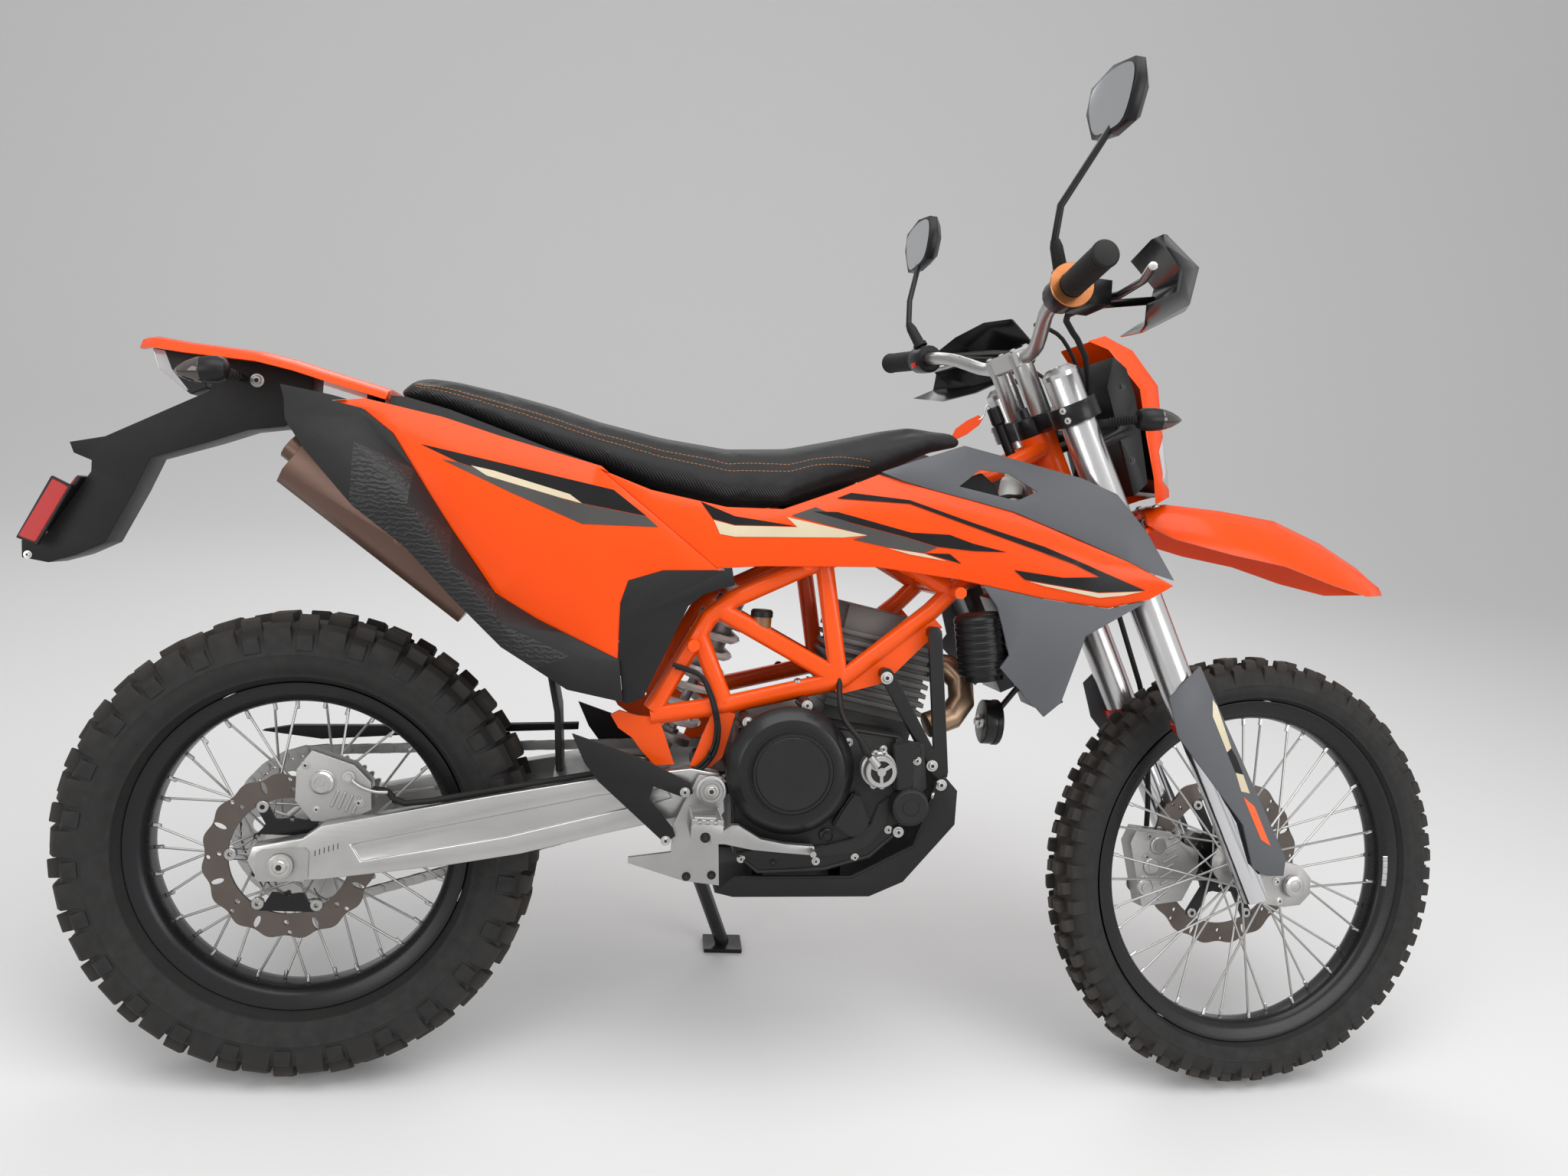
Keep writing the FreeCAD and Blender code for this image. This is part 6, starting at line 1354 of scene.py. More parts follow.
# Each crop: its left and top pixel on the photograph, and how much it is enlarged.
REAR_CROP, FRONT_CROP = (540, 560, 3.136), (960, 560, 2.8)
STICKERS = [
    ("tail_band_black", "rear_panels", REAR_CROP, "Black foil",
     [(28, 62), (400, 150), (820, 250), (955, 358), (640, 295), (180, 135)]),
    ("tail_band_grey", "rear_panels", REAR_CROP, "Charcoal foil",
     [(115, 125), (180, 137), (640, 297), (955, 360), (1003, 403), (690, 390), (400, 262)]),
    ("tail_band_line", "rear_panels", REAR_CROP, "Beige foil",
     [(235, 150), (330, 172), (640, 268), (690, 306), (600, 282), (300, 192)]),
    ("shroud_wedge", "shrouds", FRONT_CROP, "Black foil",
     [(-125, 267), (0, 320), (225, 357), (0, 352), (-80, 330)]),
    ("shroud_fade", "shrouds", FRONT_CROP, "Beige foil",
     [(-78, 334), (0, 355), (228, 360), (190, 324), (485, 390), (395, 398), (0, 395), (-55, 385)]),
    ("shroud_grey", "shrouds", FRONT_CROP, "Charcoal foil",
     [(205, 318), (295, 287), (430, 347), (620, 397), (740, 434), (690, 455), (560, 434),
      (430, 405), (488, 391)]),
    ("shroud_black", "shrouds", FRONT_CROP, "Black foil",
     [(285, 303), (375, 305), (645, 380), (785, 388), (870, 420), (995, 452), (870, 447),
      (742, 432), (622, 395), (432, 345)]),
    ("shroud_notch", "shrouds", FRONT_CROP, "Black foil", [(694, 455), (785, 458), (828, 494)]),
    # A thin beige sliver along the grey band's lower edge: a painted highlight laid as a sticker.
    ("shroud_glint", "shrouds", FRONT_CROP, "Beige foil",
     [(560, 437), (690, 457), (775, 484), (640, 460)]),
    ("shroud_long_line", "shrouds", FRONT_CROP, "Black foil",
     [(372, 255), (425, 235), (640, 262), (870, 345), (1130, 432), (1290, 500), (1500, 592),
      (1330, 598), (1060, 552), (1020, 517), (1200, 545), (1335, 543), (1240, 495), (1090, 440),
      (870, 360), (640, 275)]),
    ("shroud_tip_line", "shrouds", FRONT_CROP, "Beige foil",
     [(1075, 558), (1330, 601), (1490, 595), (1420, 610), (1330, 618), (1130, 575)]),
]
for order, (name, panel, crop, label, corners) in enumerate(STICKERS):
    sticker(name, panel, [on_photo(crop, *corner) for corner in corners], label,
            lift=STICKER_LIFT + 0.00012 * order)
print("stickers:", len(STICKERS))

# %% [markdown]
# Many small things are easier to place by the photograph too. A ray through a pixel either
# stops on the nearest solid, which is how a bolt finds the casting that it is screwed into,
# or goes on to a plane that lies a known distance from the machine's middle.

# %% Placing by the photograph
BODY_OF = {node: body for body, names in frame["record"]["behaviour"]["bodies"].items()
           for node in names}
SURFACES = {name: surface_of(item) for name, item in nodes.items()
            if BODY_OF[name] in ("chassis", "steering") and name != "seat"}


def seen(x, y, side, body="chassis"):
    """The place behind a pixel on a plane beside the machine's middle, in its own frame."""
    back = SPACES[body].inverted()
    start = back @ CAMERA_AT
    ray = back.to_3x3() @ photo_ray(x, y)
    return start + ray * ((side - start.y) / ray.y)


def touched(x, y, hand=-1):
    """The nearest solid behind a pixel, seen from the right or, mirrored, from the left."""
    best = None
    for name, surface in SURFACES.items():
        space = SPACES[BODY_OF[name]]
        back = space.inverted()
        start, ray = back @ CAMERA_AT, back.to_3x3() @ photo_ray(x, y)
        if hand > 0:
            start.y, ray.y = -start.y, -ray.y
        hit, normal, _, gap = surface.ray_cast(space @ start, space.to_3x3() @ ray)
        if hit is not None and (best is None or gap < best[0]):
            local = back.to_3x3() @ normal
            if local.dot(ray) > 0:
                local = -local
            best = (gap, back @ hit, local.normalized(), BODY_OF[name], name)
    return best


print("surfaces to meet:", len(SURFACES))

# %% [markdown]
# The next helpers each make one kind of small thing in the machine's own frame: a turned
# piece from its profile, a plate from its outline, a round cable through points. A box of
# loose meshes for each body collects them, and one object for each body is made at the end.

# %% Small-part helpers
SMALL_PARTS = {"chassis": [], "steering": []}


def turned(profile, at, along, label, sides=36):
    """A turned piece from (radius, height) points, its axis along a direction."""
    mesh = swept_round("Turned", profile, sides, closed=False)
    turn = Vector((0, 0, 1)).rotation_difference(Vector(along).normalized())
    mesh.transform(Matrix.Translation(at) @ turn.to_matrix().to_4x4())
    return painted(tidy_mesh(mesh, 30), label)


def lathe(profile, at, along, label, sides=36, body="chassis"):
    """A turned piece for the box of a body."""
    SMALL_PARTS[body].append(turned(profile, at, along, label, sides))


def plates(outline, low, high, label, bevel=0.0008, hands=(1,)):
    """A plate from corners ahead and up, between two distances to the left, on each side."""
    meshes = []
    for hand in hands:
        work = bmesh.new()
        face = work.faces.new([work.verts.new((p[0], low * hand, p[-1])) for p in outline])
        for part in bmesh.ops.extrude_face_region(work, geom=[face])["geom"]:
            if isinstance(part, bmesh.types.BMVert):
                part.co.y = high * hand
        bmesh.ops.recalc_face_normals(work, faces=work.faces)
        bmesh.ops.bevel(work, geom=work.edges[:], offset=bevel, segments=2, affect="EDGES")
        for face in work.faces:
            face.smooth = len(face.verts) == 4 and face.calc_area() < 0.00004
        meshes.append(painted(plain_mesh("Plate", work), label))
    return meshes


def cable(points, radius, label, body="chassis", steps=5):
    line = line_mesh([smooth_line(points, steps)])
    SMALL_PARTS[body].append(smoothed(grow(line, ROD_TREE, label, Radius=radius, Sides=10)))


def block(at, size, turn, label, bevel=0.001, body="chassis"):
    half = [value / 2 for value in size]
    mesh = box_mesh("Block", [-value for value in half], half, bevel)
    mesh.transform(Matrix.Translation(at) @ turn.to_4x4())
    SMALL_PARTS[body].append(painted(mesh, label))


def ribs(low, high, slope, flat, width, places):
    """The profile of round ribs: low and high radius, and each rib's place along the axis."""
    return [point for place in places for point in (
        (low, place), (high, place + slope), (high, place + flat), (low, place + width))]


print("boxes for small parts:", list(SMALL_PARTS))

# %% [markdown]
# A cap screw is a short turned head on a washer. Its six-sided socket is a thin near-black
# disc on the head: painted shade that stands for the hollow. A tree sets the head on every
# point of a mesh, turned to face the way that point's normal shows, and scaled by a size
# kept on the point. One run makes the heads and a second the discs of painted socket shade.

# %% The screws
POINT_VALUES = (("way", "FLOAT_VECTOR"), ("size", "FLOAT"))


def screw_tree():
    """Sets a shape on each point, facing and scaled as the point says."""
    tree, given, out = new_tree("Screws on points", [SHAPE])
    way, size = (add_node(tree, "GeometryNodeInputNamedAttribute", {"data_type": kind},
                          Name=name).outputs["Attribute"] for name, kind in POINT_VALUES)
    return set_shapes(tree, given, out, given["Geometry"], way, {"axis": "Z"}, size)


SCREW_TREE = screw_tree()
# The socket finish is painted shade for a socket's hollow; the axle blocks' real marks share it.
finish("Dark socket", (0.01, 0.01, 0.01), 0.6, tone=0.1, tone_scale=200)
finish("Zinc screw", (0.55, 0.54, 0.52), 0.3, metal=0.95, tone=0.25, tone_scale=160, streak=0.1)
HEAD_PROFILE = [(0, 0.62), (0.56, 0.62), (0.86, 0.6), (1.0, 0.44), (1.0, 0.12), (1.42, 0.1),
                (1.46, -0.1), (0, -0.1)]
SOCKET_SHADE_PROFILE = [(0, 0.66), (0.46, 0.66), (0.5, 0.6), (0, 0.6)]
head_shape = shape_object(swept_round("Screw head", HEAD_PROFILE, 16, closed=False))
socket_shade_shape = shape_object(swept_round("Screw socket", SOCKET_SHADE_PROFILE, 6, closed=False))


def set_screws(spots, body, label="Zinc screw"):
    """Screw heads from a list of (place, way, size), with painted shade for their sockets."""
    for shape, paint in ((head_shape, label), (socket_shade_shape, "Dark socket")):
        mesh = bpy.data.meshes.new("Screw places")
        mesh.from_pydata([tuple(place) for place, _, _ in spots], [], [])
        for entry, kind in POINT_VALUES:
            mesh.attributes.new(entry, kind, "POINT")
        way, size = mesh.attributes["way"], mesh.attributes["size"]
        for index, (_, facing, radius) in enumerate(spots):
            way.data[index].vector = facing
            size.data[index].value = radius
        SMALL_PARTS[body].append(grow(mesh, SCREW_TREE, paint, Shape=shape))


ENGINE_CROP, COCKPIT_CROP = (860, 880, 3.267), (1180, 240, 3.023)
# Crop, corner, head radius in millimetres, dark or bright, and whether the left side has it.
SCREWS = [(ENGINE_CROP, x, y, size, dark, left) for x, y, size, dark, left in [
    (593, 30, 4, 0, 1), (634, 136, 4.5, 0, 0), (384, 209, 4.5, 0, 0), (812, 292, 4.5, 0, 0),
    (284, 446, 4.5, 0, 0), (960, 322, 4, 0, 0), (1104, 372, 4.5, 0, 0), (1169, 519, 4.5, 0, 0),
    (1168, 393, 6, 0, 1), (1206, 475, 6, 0, 1), (981, 666, 4.2, 0, 0), (1030, 672, 4.2, 0, 0),
    (838, 784, 4.2, 0, 0), (671, 800, 4.2, 0, 0), (352, 790, 4.2, 0, 0), (489, 806, 4, 1, 0),
    (118, 866, 4.5, 1, 1), (226, 860, 4.5, 1, 1), (113, 506, 5, 0, 1), (30, 713, 5, 0, 1),
    (975, 18, 6.5, 0, 1), (200, 700, 5, 1, 0)]]
SCREWS += [(COCKPIT_CROP, x, y, size, dark, left) for x, y, size, dark, left in [
    (630, 898, 3.6, 0, 1), (650, 936, 3.6, 0, 1), (930, 1283, 5, 0, 1), (949, 1325, 5, 0, 1),
    (864, 800, 4, 1, 1), (903, 1093, 4, 1, 1)]]


def place_screws():
    sorted_spots = {}
    for crop, x, y, size, dark, both in SCREWS:
        for hand in ((-1, 1) if both else (-1,)):
            found = touched(*on_photo(crop, x, y), hand)
            if found:
                _, place, way, body, _ = found
                screw = (place + way * 0.0002, way, size / 1000)
                sorted_spots.setdefault((body, dark), []).append(screw)
    for (body, dark), spots in sorted_spots.items():
        set_screws(spots, body, "Black anodised aluminium" if dark else "Zinc screw")
    return sum(len(spots) for spots in sorted_spots.values())


print("screws:", place_screws())

# %% [markdown]
# The engine's right side carries the clutch cover. Its round face has a ring turned into
# it and a flat inner plate. Ahead of it sits the clutch's silver slave cylinder with a
# three-armed cap and its hose, and the oil filter's lid with one groove.

# %% The engine's right side
COVER_SIDE = -0.1503
clutch_at = spot(0.465, 0.528, -0.1853)
lathe([(0, 0.0012), (0.0515, 0.0012), (0.0525, 0.0004), (0.0528, 0), (0.054, 0), (0.0543, 0.0013),
       (0.0566, 0.0012), (0.0572, -0.001), (0.0572, -0.0068), (0.0602, -0.0069), (0.0606, -0.0056),
       (0.0626, -0.0057), (0.063, -0.0072), (0.02, -0.0073)], clutch_at, OUTWARD, "Black casting",
       72)
slave_at = spot(0.55, 0.537, COVER_SIDE)
lathe([(0, 0.0305), (0.0155, 0.0305), (0.016, 0.0375), (0.0215, 0.0375), (0.0228, 0.036),
       (0.0232, 0.020), (0.026, 0.018), (0.026, 0.002), (0.01, 0.001)], slave_at, OUTWARD,
       "Cast aluminium", 48)
lathe([(0, 0.0382), (0.0062, 0.0382), (0.0066, 0.034), (0, 0.034)], slave_at, OUTWARD,
      "Cast aluminium", 24)
lathe([(0, 0.0346), (0.0157, 0.0346), (0.0158, 0.030), (0, 0.030)], slave_at, OUTWARD,
      "Black casting", 40)
for index in range(3):
    angle = math.radians(35 + 120 * index)
    way = Vector((math.cos(angle), 0, math.sin(angle)))
    turn = Matrix((way, OUTWARD, way.cross(OUTWARD))).transposed()
    block(slave_at + way * 0.011 + OUTWARD * 0.0352, (0.015, 0.0045, 0.0052), turn,
          "Cast aluminium", 0.0008)
set_screws([(slave_at + Vector((0.0245 * math.cos(a), -0.0185, 0.0245 * math.sin(a))), OUTWARD,
             0.0032)
            for a in (math.radians(v) for v in (75, 105, 255, 285))], "chassis")
lathe([(0.0632, -0.0068), (0.0756, -0.0066), (0.0763, -0.0069), (0.0923, -0.0227),
       (0.0927, -0.0235), (0.0927, -0.034)], clutch_at, OUTWARD, "Black paint on steel", 96)
filter_at = spot(0.584, 0.482, COVER_SIDE - 0.020)
lathe([(0, 0.0006), (0.011, 0.0006), (0.0115, -0.0004), (0.0125, -0.0004), (0.013, 0.0006),
       (0.0225, 0.0008), (0.0265, -0.0016), (0.0278, -0.004), (0.0278, -0.012), (0.0292, -0.014),
       (0.0292, -0.02), (0.01, -0.02)], filter_at, OUTWARD, "Black casting", 48)
boot_start = slave_at + OUTWARD * 0.037 + Vector((-0.006, 0, 0.008))
hose_run = [boot_start, slave_at + Vector((-0.022, -0.036, 0.026)), slave_at
            + Vector((-0.034, -0.034, 0.045)), seen(*on_photo(ENGINE_CROP, 800, 205), -0.165),
            seen(*on_photo(ENGINE_CROP, 776, 130), -0.140), spot(0.512, 0.664, -0.112)]
cable(hose_run, 0.0043, "Black rubber")
lathe([(0, 0), (0.0058, 0), (0.0062, 0.003), (0.0054, 0.018), (0, 0.018)], hose_run[0], hose_run[1]
      - hose_run[0], "Cast aluminium", 20)
lathe([(0, 0), (0.0066, 0), (0.0066, 0.006), (0.0052, 0.018), (0, 0.019)], hose_run[1], hose_run[2]
      - hose_run[1], "Black rubber", 20)
plug_at = touched(*on_photo(ENGINE_CROP, 717, 690))
lathe([(0, 0.003), (0.0045, 0.003), (0.005, 0.001), (0.0085, 0.001), (0.009, 0.004),
       (0.0105, 0.003), (0.011, -0.001), (0, -0.001)], plug_at[1], plug_at[2],
       "Black anodised aluminium", 24)
for hand in (-1, 1):
    skid_edge = [(0.425, 0.3605), (0.535, 0.3655), (0.5955, 0.417), (0.6135, 0.516)]
    cable([spot(*p, hand * 0.1385) for p in skid_edge], 0.0028, "Smooth black plastic", steps=1)
CASE_EDGE = [(0.413, 0.586), (0.4115, 0.515), (0.4145, 0.425), (0.4185, 0.399), (0.4415, 0.3725),
             (0.506, 0.3805), (0.5495, 0.4015), (0.5715, 0.434), (0.5975, 0.504), (0.5915, 0.558),
             (0.570, 0.5835), (0.527, 0.5905), (0.465, 0.6045)]
cable([spot(*p, COVER_SIDE + 0.0005) for p in CASE_EDGE + CASE_EDGE[:1]], 0.0026, "Black casting",
      steps=1)


def cover_plate(corners, low, high, bevel):
    """A raised plate on the engine's side from corners of the enlarged photograph."""
    points = [seen(*on_photo(ENGINE_CROP, x, y), high) for x, y in corners]
    SMALL_PARTS["chassis"] += plates(points, high, low, "Black casting", bevel)


cover_plate([(795, 560), (836, 505), (868, 520), (890, 585), (905, 640), (868, 694), (812, 700),
             (742, 648)], COVER_SIDE + 0.001, COVER_SIDE - 0.009, 0.003)
cover_plate([(1000, 300), (1078, 288), (1128, 318), (1120, 352), (1086, 372), (1088, 470),
             (1082, 505), (1016, 502), (1010, 400)], COVER_SIDE - 0.009, COVER_SIDE - 0.015, 0.002)
cover_plate([(320, 770), (420, 745), (560, 742), (700, 735), (820, 705), (905, 640), (935, 560),
             (985, 520), (1000, 560), (965, 660), (900, 735), (820, 770), (600, 790), (420, 792)],
             COVER_SIDE + 0.001, COVER_SIDE - 0.0035, 0.0015)
for x, y in ((976.8, 943.7), (1054.3, 921.7), (1173.3, 1086.9)):
    boss_at = seen(x, y, COVER_SIDE - 0.0045)
    lathe([(0, 0), (0.0082, 0), (0.0092, -0.0015), (0.0098, -0.055), (0, -0.055)], boss_at, OUTWARD,
          "Black casting", 24)
    set_screws([(boss_at, OUTWARD, 0.0056)], "chassis")
print("small parts so far:", len(SMALL_PARTS["chassis"]))

# %% [markdown]
# Under the rider's boot are the bracket's round pivot cap, the toothed peg and the pedal.
# The peg's teeth are one pointed shape that a tree repeats along both long edges.

# %% Pegs and pivot
PEG_EDGES = [[(-0.0205, 0.158), (-0.0205, 0.231)], [(0.0205, 0.158), (0.0205, 0.231)],
             [(-0.017, 0.2325), (0.017, 0.2325)]]
for hand in (-1, 1):
    out = Vector((0, hand, 0))
    face = spot(0.391, 0.492) + out * 0.158
    lathe([(0, 0.0006), (0.0115, 0.0006), (0.012, 0.0022), (0.0165, 0.0022), (0.0175, 0.0008),
           (0.0195, 0.0006), (0.0215, -0.0006), (0.0215, -0.006), (0.01, -0.006)], face, out,
           "Cast aluminium", 40)
    set_screws([(face + out * 0.001, out, 0.0072)], "chassis")
    tooth = shape_object(box_mesh("Tooth", (-0.0035, -0.0014, -0.002), (0.0035, 0.0014, 0.006),
                                  0.0006))
    rows = [[spot(0.385, 0.451, hand * side) + Vector((ahead, 0, 0.0105)) for ahead, side in ends]
            for ends in PEG_EDGES]
    teeth = grow(line_mesh(rows), PATH_TREE, "Cast aluminium", Shape=tooth, Length=0.0098)
    SMALL_PARTS["chassis"].append(teeth)
cable([spot(0.489, 0.4135, side) for side in (-0.168, -0.196)], 0.0045, "Cast aluminium", steps=1)
print("teeth on each peg:", len(teeth.polygons) // 26)

# %% [markdown]
# The swingarm ends in an axle block that slides to tighten the chain. It has a few marks so
# that both sides can be set alike.

# %% Axle blocks and the chain
for hand in (-1, 1):
    turn = Matrix.Translation(REAR_AXLE + Vector((0, hand * 0.1285, 0))) @ WHEEL_TURN
    outline = [(-0.034, -0.020), (-0.034, 0.016), (-0.026, 0.021), (0.030, 0.026), (0.036, 0.020),
               (0.036, -0.018), (0.030, -0.022), (-0.028, -0.024)]
    plate = flat_plate("Axle block", [outline, ring_loop(0.0174, 40)], 0.003, 0.0, "Cast aluminium")
    plate.transform(turn)
    SMALL_PARTS["chassis"].append(plate)
    for index in range(6):
        at = REAR_AXLE + Vector((0.044 + 0.006 * index, hand * 0.1283, 0.018 + 0.0022 * index))
        # These marks are real; they share the finish of the painted socket shade.
        block(at, (0.0009, 0.0008, 0.008), Matrix.Identity(3), "Dark socket", 0)
    set_screws([(REAR_AXLE + Vector((0, hand * 0.1375, 0)), Vector((0, hand, 0)), 0.0095)],
               "chassis")


def chain_line():
    """The chain's way round both sprockets, a closed loop of points."""
    front, rear = spot(0.433, 0.482, CHAIN_SIDE), REAR_AXLE + SIDEWAYS * CHAIN_SIDE
    big, small = pitch_radius(REAR_TEETH), pitch_radius(FRONT_TEETH)
    gap = front - rear
    tilt = math.atan2(gap.z, gap.x)
    lift = math.asin((big - small) / gap.length)
    loop = []
    for centre, radius, start, end in (
            (rear, big, tilt + math.pi / 2 - lift, tilt + 1.5 * math.pi + lift),
            (front, small, tilt - math.pi / 2 + lift, tilt + math.pi / 2 - lift)):
        for step in range(41):
            angle = start + (end - start) * step / 40
            loop.append(centre + Vector((math.cos(angle), 0, math.sin(angle))) * radius)
    return loop


LINK_HALF = 0.0068


def link_shape():
    """One outer and one inner link with their rollers, two pitches long."""
    parts = []
    for start, side in ((-CHAIN_PITCH, 0.0062), (0.0, 0.0042)):
        for hand in (-1, 1):
            outline = []
            for centre, low, high in ((start + CHAIN_PITCH, -90, 90), (start, 90, 270)):
                for step in range(5):
                    angle = math.radians(low + (high - low) * step / 4)
                    outline.append((centre + LINK_HALF * math.cos(angle),
                                    LINK_HALF * math.sin(angle)))
            plate = flat_plate("Link", [outline], 0.0014, hand * side, "Brushed steel")
            plate.transform(WHEEL_TURN)
            parts.append(plate)
        pin = swept_round("Pin", [(0, -0.0078), (0.005, -0.0078), (0.005, 0.0078), (0, 0.0078)], 8,
                          closed=False)
        pin.transform(Matrix.Translation((start, 0, 0)) @ WHEEL_TURN)
        parts.append(painted(pin, "Brushed steel"))
    return shape_object(joined_mesh("Two links", parts))


CHAIN_TREE = walk_tree("Links along a loop", "COUNT", ("Count", WHOLE, 56),
                       {"axis": "X", "pivot_axis": "Y"})
loop_points = chain_line()
length = sum((b - a).length for a, b in zip(loop_points, loop_points[1:] + loop_points[:1]))
pairs = round(length / (2 * CHAIN_PITCH))
chain_mesh = grow(line_mesh([loop_points], closed=True), CHAIN_TREE, "Brushed steel",
                  Shape=link_shape(), Count=pairs)
add_piece("chain_links", chain_mesh, LEANING, "chassis", ["chain"])
print("chain links:", pairs * 2, "of", round(length, 3), "m")

# %% [markdown]
# The grips are rubber with round ribs and closed ends, turned about the bar's own line, and
# the throttle's grip runs against a copper coloured flange.

# %% The grips
finish("Copper anodising", (0.50, 0.19, 0.07), 0.26, metal=0.85, tone=0.25, tone_scale=60,
       streak=0.1)
finish("Mirror glass", (0.62, 0.64, 0.66), 0.03, metal=1.0, tone=0.02)
finish("Smoked lens", (0.03, 0.02, 0.016), 0.08, coat=0.8, tone=0.05)
finish("Clear lens", (0.55, 0.56, 0.57), 0.07, metal=0.35, coat=0.7, tone=0.15, tone_scale=50)
finish("Red lens", (0.40, 0.005, 0.004), 0.2, coat=0.1, tone=0.12, tone_scale=220, level=0.3)
finish("Red switch", (0.70, 0.02, 0.014), 0.35, tone=0.05)
BAR_HALF = 0.406
GRIP_BASE = 0.0168
bar_end = {hand: fork_spot(-0.611, 0.975, hand * BAR_HALF) for hand in (-1, 1)}
bar_knee = {hand: fork_spot(-0.585, 0.95, hand * 0.203) for hand in (-1, 1)}
bar_way = {hand: (bar_knee[hand] - bar_end[hand]).normalized() for hand in (-1, 1)}
profile = [(0, -0.004), (0.0125, -0.004), (0.0165, -0.0025), (0.0185, 0.0), (0.0185, 0.004),
           (GRIP_BASE, 0.0055),
           *ribs(GRIP_BASE, 0.0179, 0.0008, 0.0042, 0.005,
                 [0.009 + ring * 0.0068 for ring in range(15)]),
           (GRIP_BASE, 0.112), (0.0195, 0.1135), (0.0195, 0.1205), (0.0118, 0.1212)]
grip_pieces = [turned(profile, bar_end[hand], bar_way[hand], "Black rubber", 28)
               for hand in (-1, 1)]
lathe([(0.0182, 0.1105), (0.030, 0.1105), (0.0308, 0.1112), (0.0308, 0.1135), (0.0297, 0.1142),
       (0.0182, 0.1142), (0.0182, 0.1105)], bar_end[-1], bar_way[-1], "Copper anodising", 48,
       "steering")
add_piece("grips_ribbed", joined_mesh("grips_ribbed", grip_pieces), STEERED, "steering",
          ["grips"])
print("grip rings:", 15 * len(grip_pieces))

# %% [markdown]
# The fork legs end in round caps in the upper clamp, with the handlebar's clamp between
# them. A mirror's glass is one face inside a smooth outline.

# %% Fork caps, bar clamp and mirrors
FORK_TOP = 0.313 + 0.567
fork_turn = Matrix((AHEAD_OF_FORK, SIDEWAYS, ALONG_FORK)).transposed()
bar_middle = fork_spot(-0.54, 0.905, 0)
block(bar_middle + ALONG_FORK * 0.0015, (0.034, 0.108, 0.030), fork_turn, "Bare aluminium", 0.004,
      "steering")
clamp_top = bar_middle + ALONG_FORK * 0.0162
set_screws([(clamp_top + AHEAD_OF_FORK * ahead + SIDEWAYS * side, ALONG_FORK, 0.0042)
            for ahead in (-0.011, 0.011) for side in (-0.044, 0.044)], "steering")
MIRROR_OUTLINE = [(-0.6, -0.9), (-0.95, 0.1), (-0.85, 0.75), (0.0, 1.0), (0.85, 0.8), (1.0, 0.1),
                  (0.7, -0.8), (0.0, -1.0)]
for hand in (-1, 1):
    top = leg_spot(FORK_TOP, hand * FORK_HALF)
    lathe([(0, 0.0135), (0.006, 0.0135), (0.0065, 0.0105), (0.013, 0.0108), (0.0135, 0.0128),
           (0.0175, 0.0128), (0.0205, 0.0106), (0.0252, 0.006), (0.0275, 0.004), (0.0275, -0.003),
           (0.01, -0.003)], top, ALONG_FORK, "Anodised silver", 40, "steering")
    centre = fork_spot(*((-0.568, 1.236) if hand < 0 else (-0.6, 1.208)), hand * BAR_HALF * 0.8)
    glass = [centre + Vector((-0.0007, 0.069 * u * 0.86 * -hand, 0.046 * v * 0.86))
             for u, v in MIRROR_OUTLINE]
    work = bmesh.new()
    work.faces.new([work.verts.new(p) for p in smooth_line(glass, 4, closed=True)])
    bmesh.ops.recalc_face_normals(work, faces=work.faces)
    for face in work.faces:
        if face.normal.x > 0:
            face.normal_flip()
    SMALL_PARTS["steering"].append(painted(plain_mesh("Glass", work), "Mirror glass"))
print("caps, clamp and glasses:", len(SMALL_PARTS["steering"]))

# %% [markdown]
# Each indicator has a rubber stalk with moulded ribs, a round pod that narrows to a point,
# and a smoked lens over its tip. The same helper makes the ones at the tail.

# %% The front indicators
def indicator(stem, base, way, stalk, rings, collar, pod, lens):
    """A ribbed rubber stalk from stem to base, and a pod with its lens that looks a way."""
    reach = (base - stem).length
    profile = [(0, 0), (stalk[0], 0), *ribs(*stalk, [reach * share for share in rings]),
               (collar[0], reach - collar[1]), (0, reach)]
    return [turned(profile, stem, base - stem, "Black rubber", 16),
            turned(pod, base, way, "Smooth black plastic", 32),
            turned(lens, base, way, "Smoked lens", 32)]


STALK_SIDE = 0.112
FRONT_POD = [(0, -0.002), (0.008, -0.002), (0.0135, 0.0), (0.0172, 0.008), (0.0176, 0.022),
             (0.0160, 0.038), (0.0120, 0.052), (0.0062, 0.063), (0.0012, 0.069), (0, 0.069)]
FRONT_LENS = [(0.0165, 0.034), (0.0166, 0.0355), (0.0158, 0.040), (0.0126, 0.051),
              (0.0068, 0.0625), (0.0016, 0.0692), (0, 0.0694)]
lamps = []
for hand in (-1, 1):
    stem = fork_spot(-0.43, 0.79, hand * STALK_SIDE * 0.95)
    knee = fork_spot(-0.37, 0.80, hand * STALK_SIDE * 1.25)
    tip = fork_spot(-0.289, 0.805, hand * STALK_SIDE * 1.3)
    lamps += indicator(stem, knee, (tip - knee).normalized(),
                       (0.006, 0.0078, 0.0006, 0.0022, 0.0028),
                       [0.35 + 0.065 * ring for ring in range(9)], (0.0065, 0.001), FRONT_POD,
                       FRONT_LENS)
add_piece("front_indicators_round", joined_mesh("front_indicators_round", lamps), STEERED,
          "steering", ["front_indicators"])
print("steering's small parts:", len(SMALL_PARTS["steering"]))

# %% [markdown]
# Parts that are one solid in the frame can still be of two materials. The faces of the
# solid are sorted by where they lie on the upright machine and given a second finish.

# %% Second finishes on the solid parts
def repaint(node, label, wanted):
    """Gives a second finish to the faces for which wanted(centre, normal) is true."""
    item = nodes[node]
    back = SPACES[BODY_OF[node]].inverted()
    turn = back.to_3x3()
    item.data.materials.append(FINISHES[label])
    slot, count = len(item.data.materials) - 1, 0
    for face in item.data.polygons:
        if wanted(back @ face.center, turn @ face.normal):
            face.material_index = slot
            count += 1
    return count


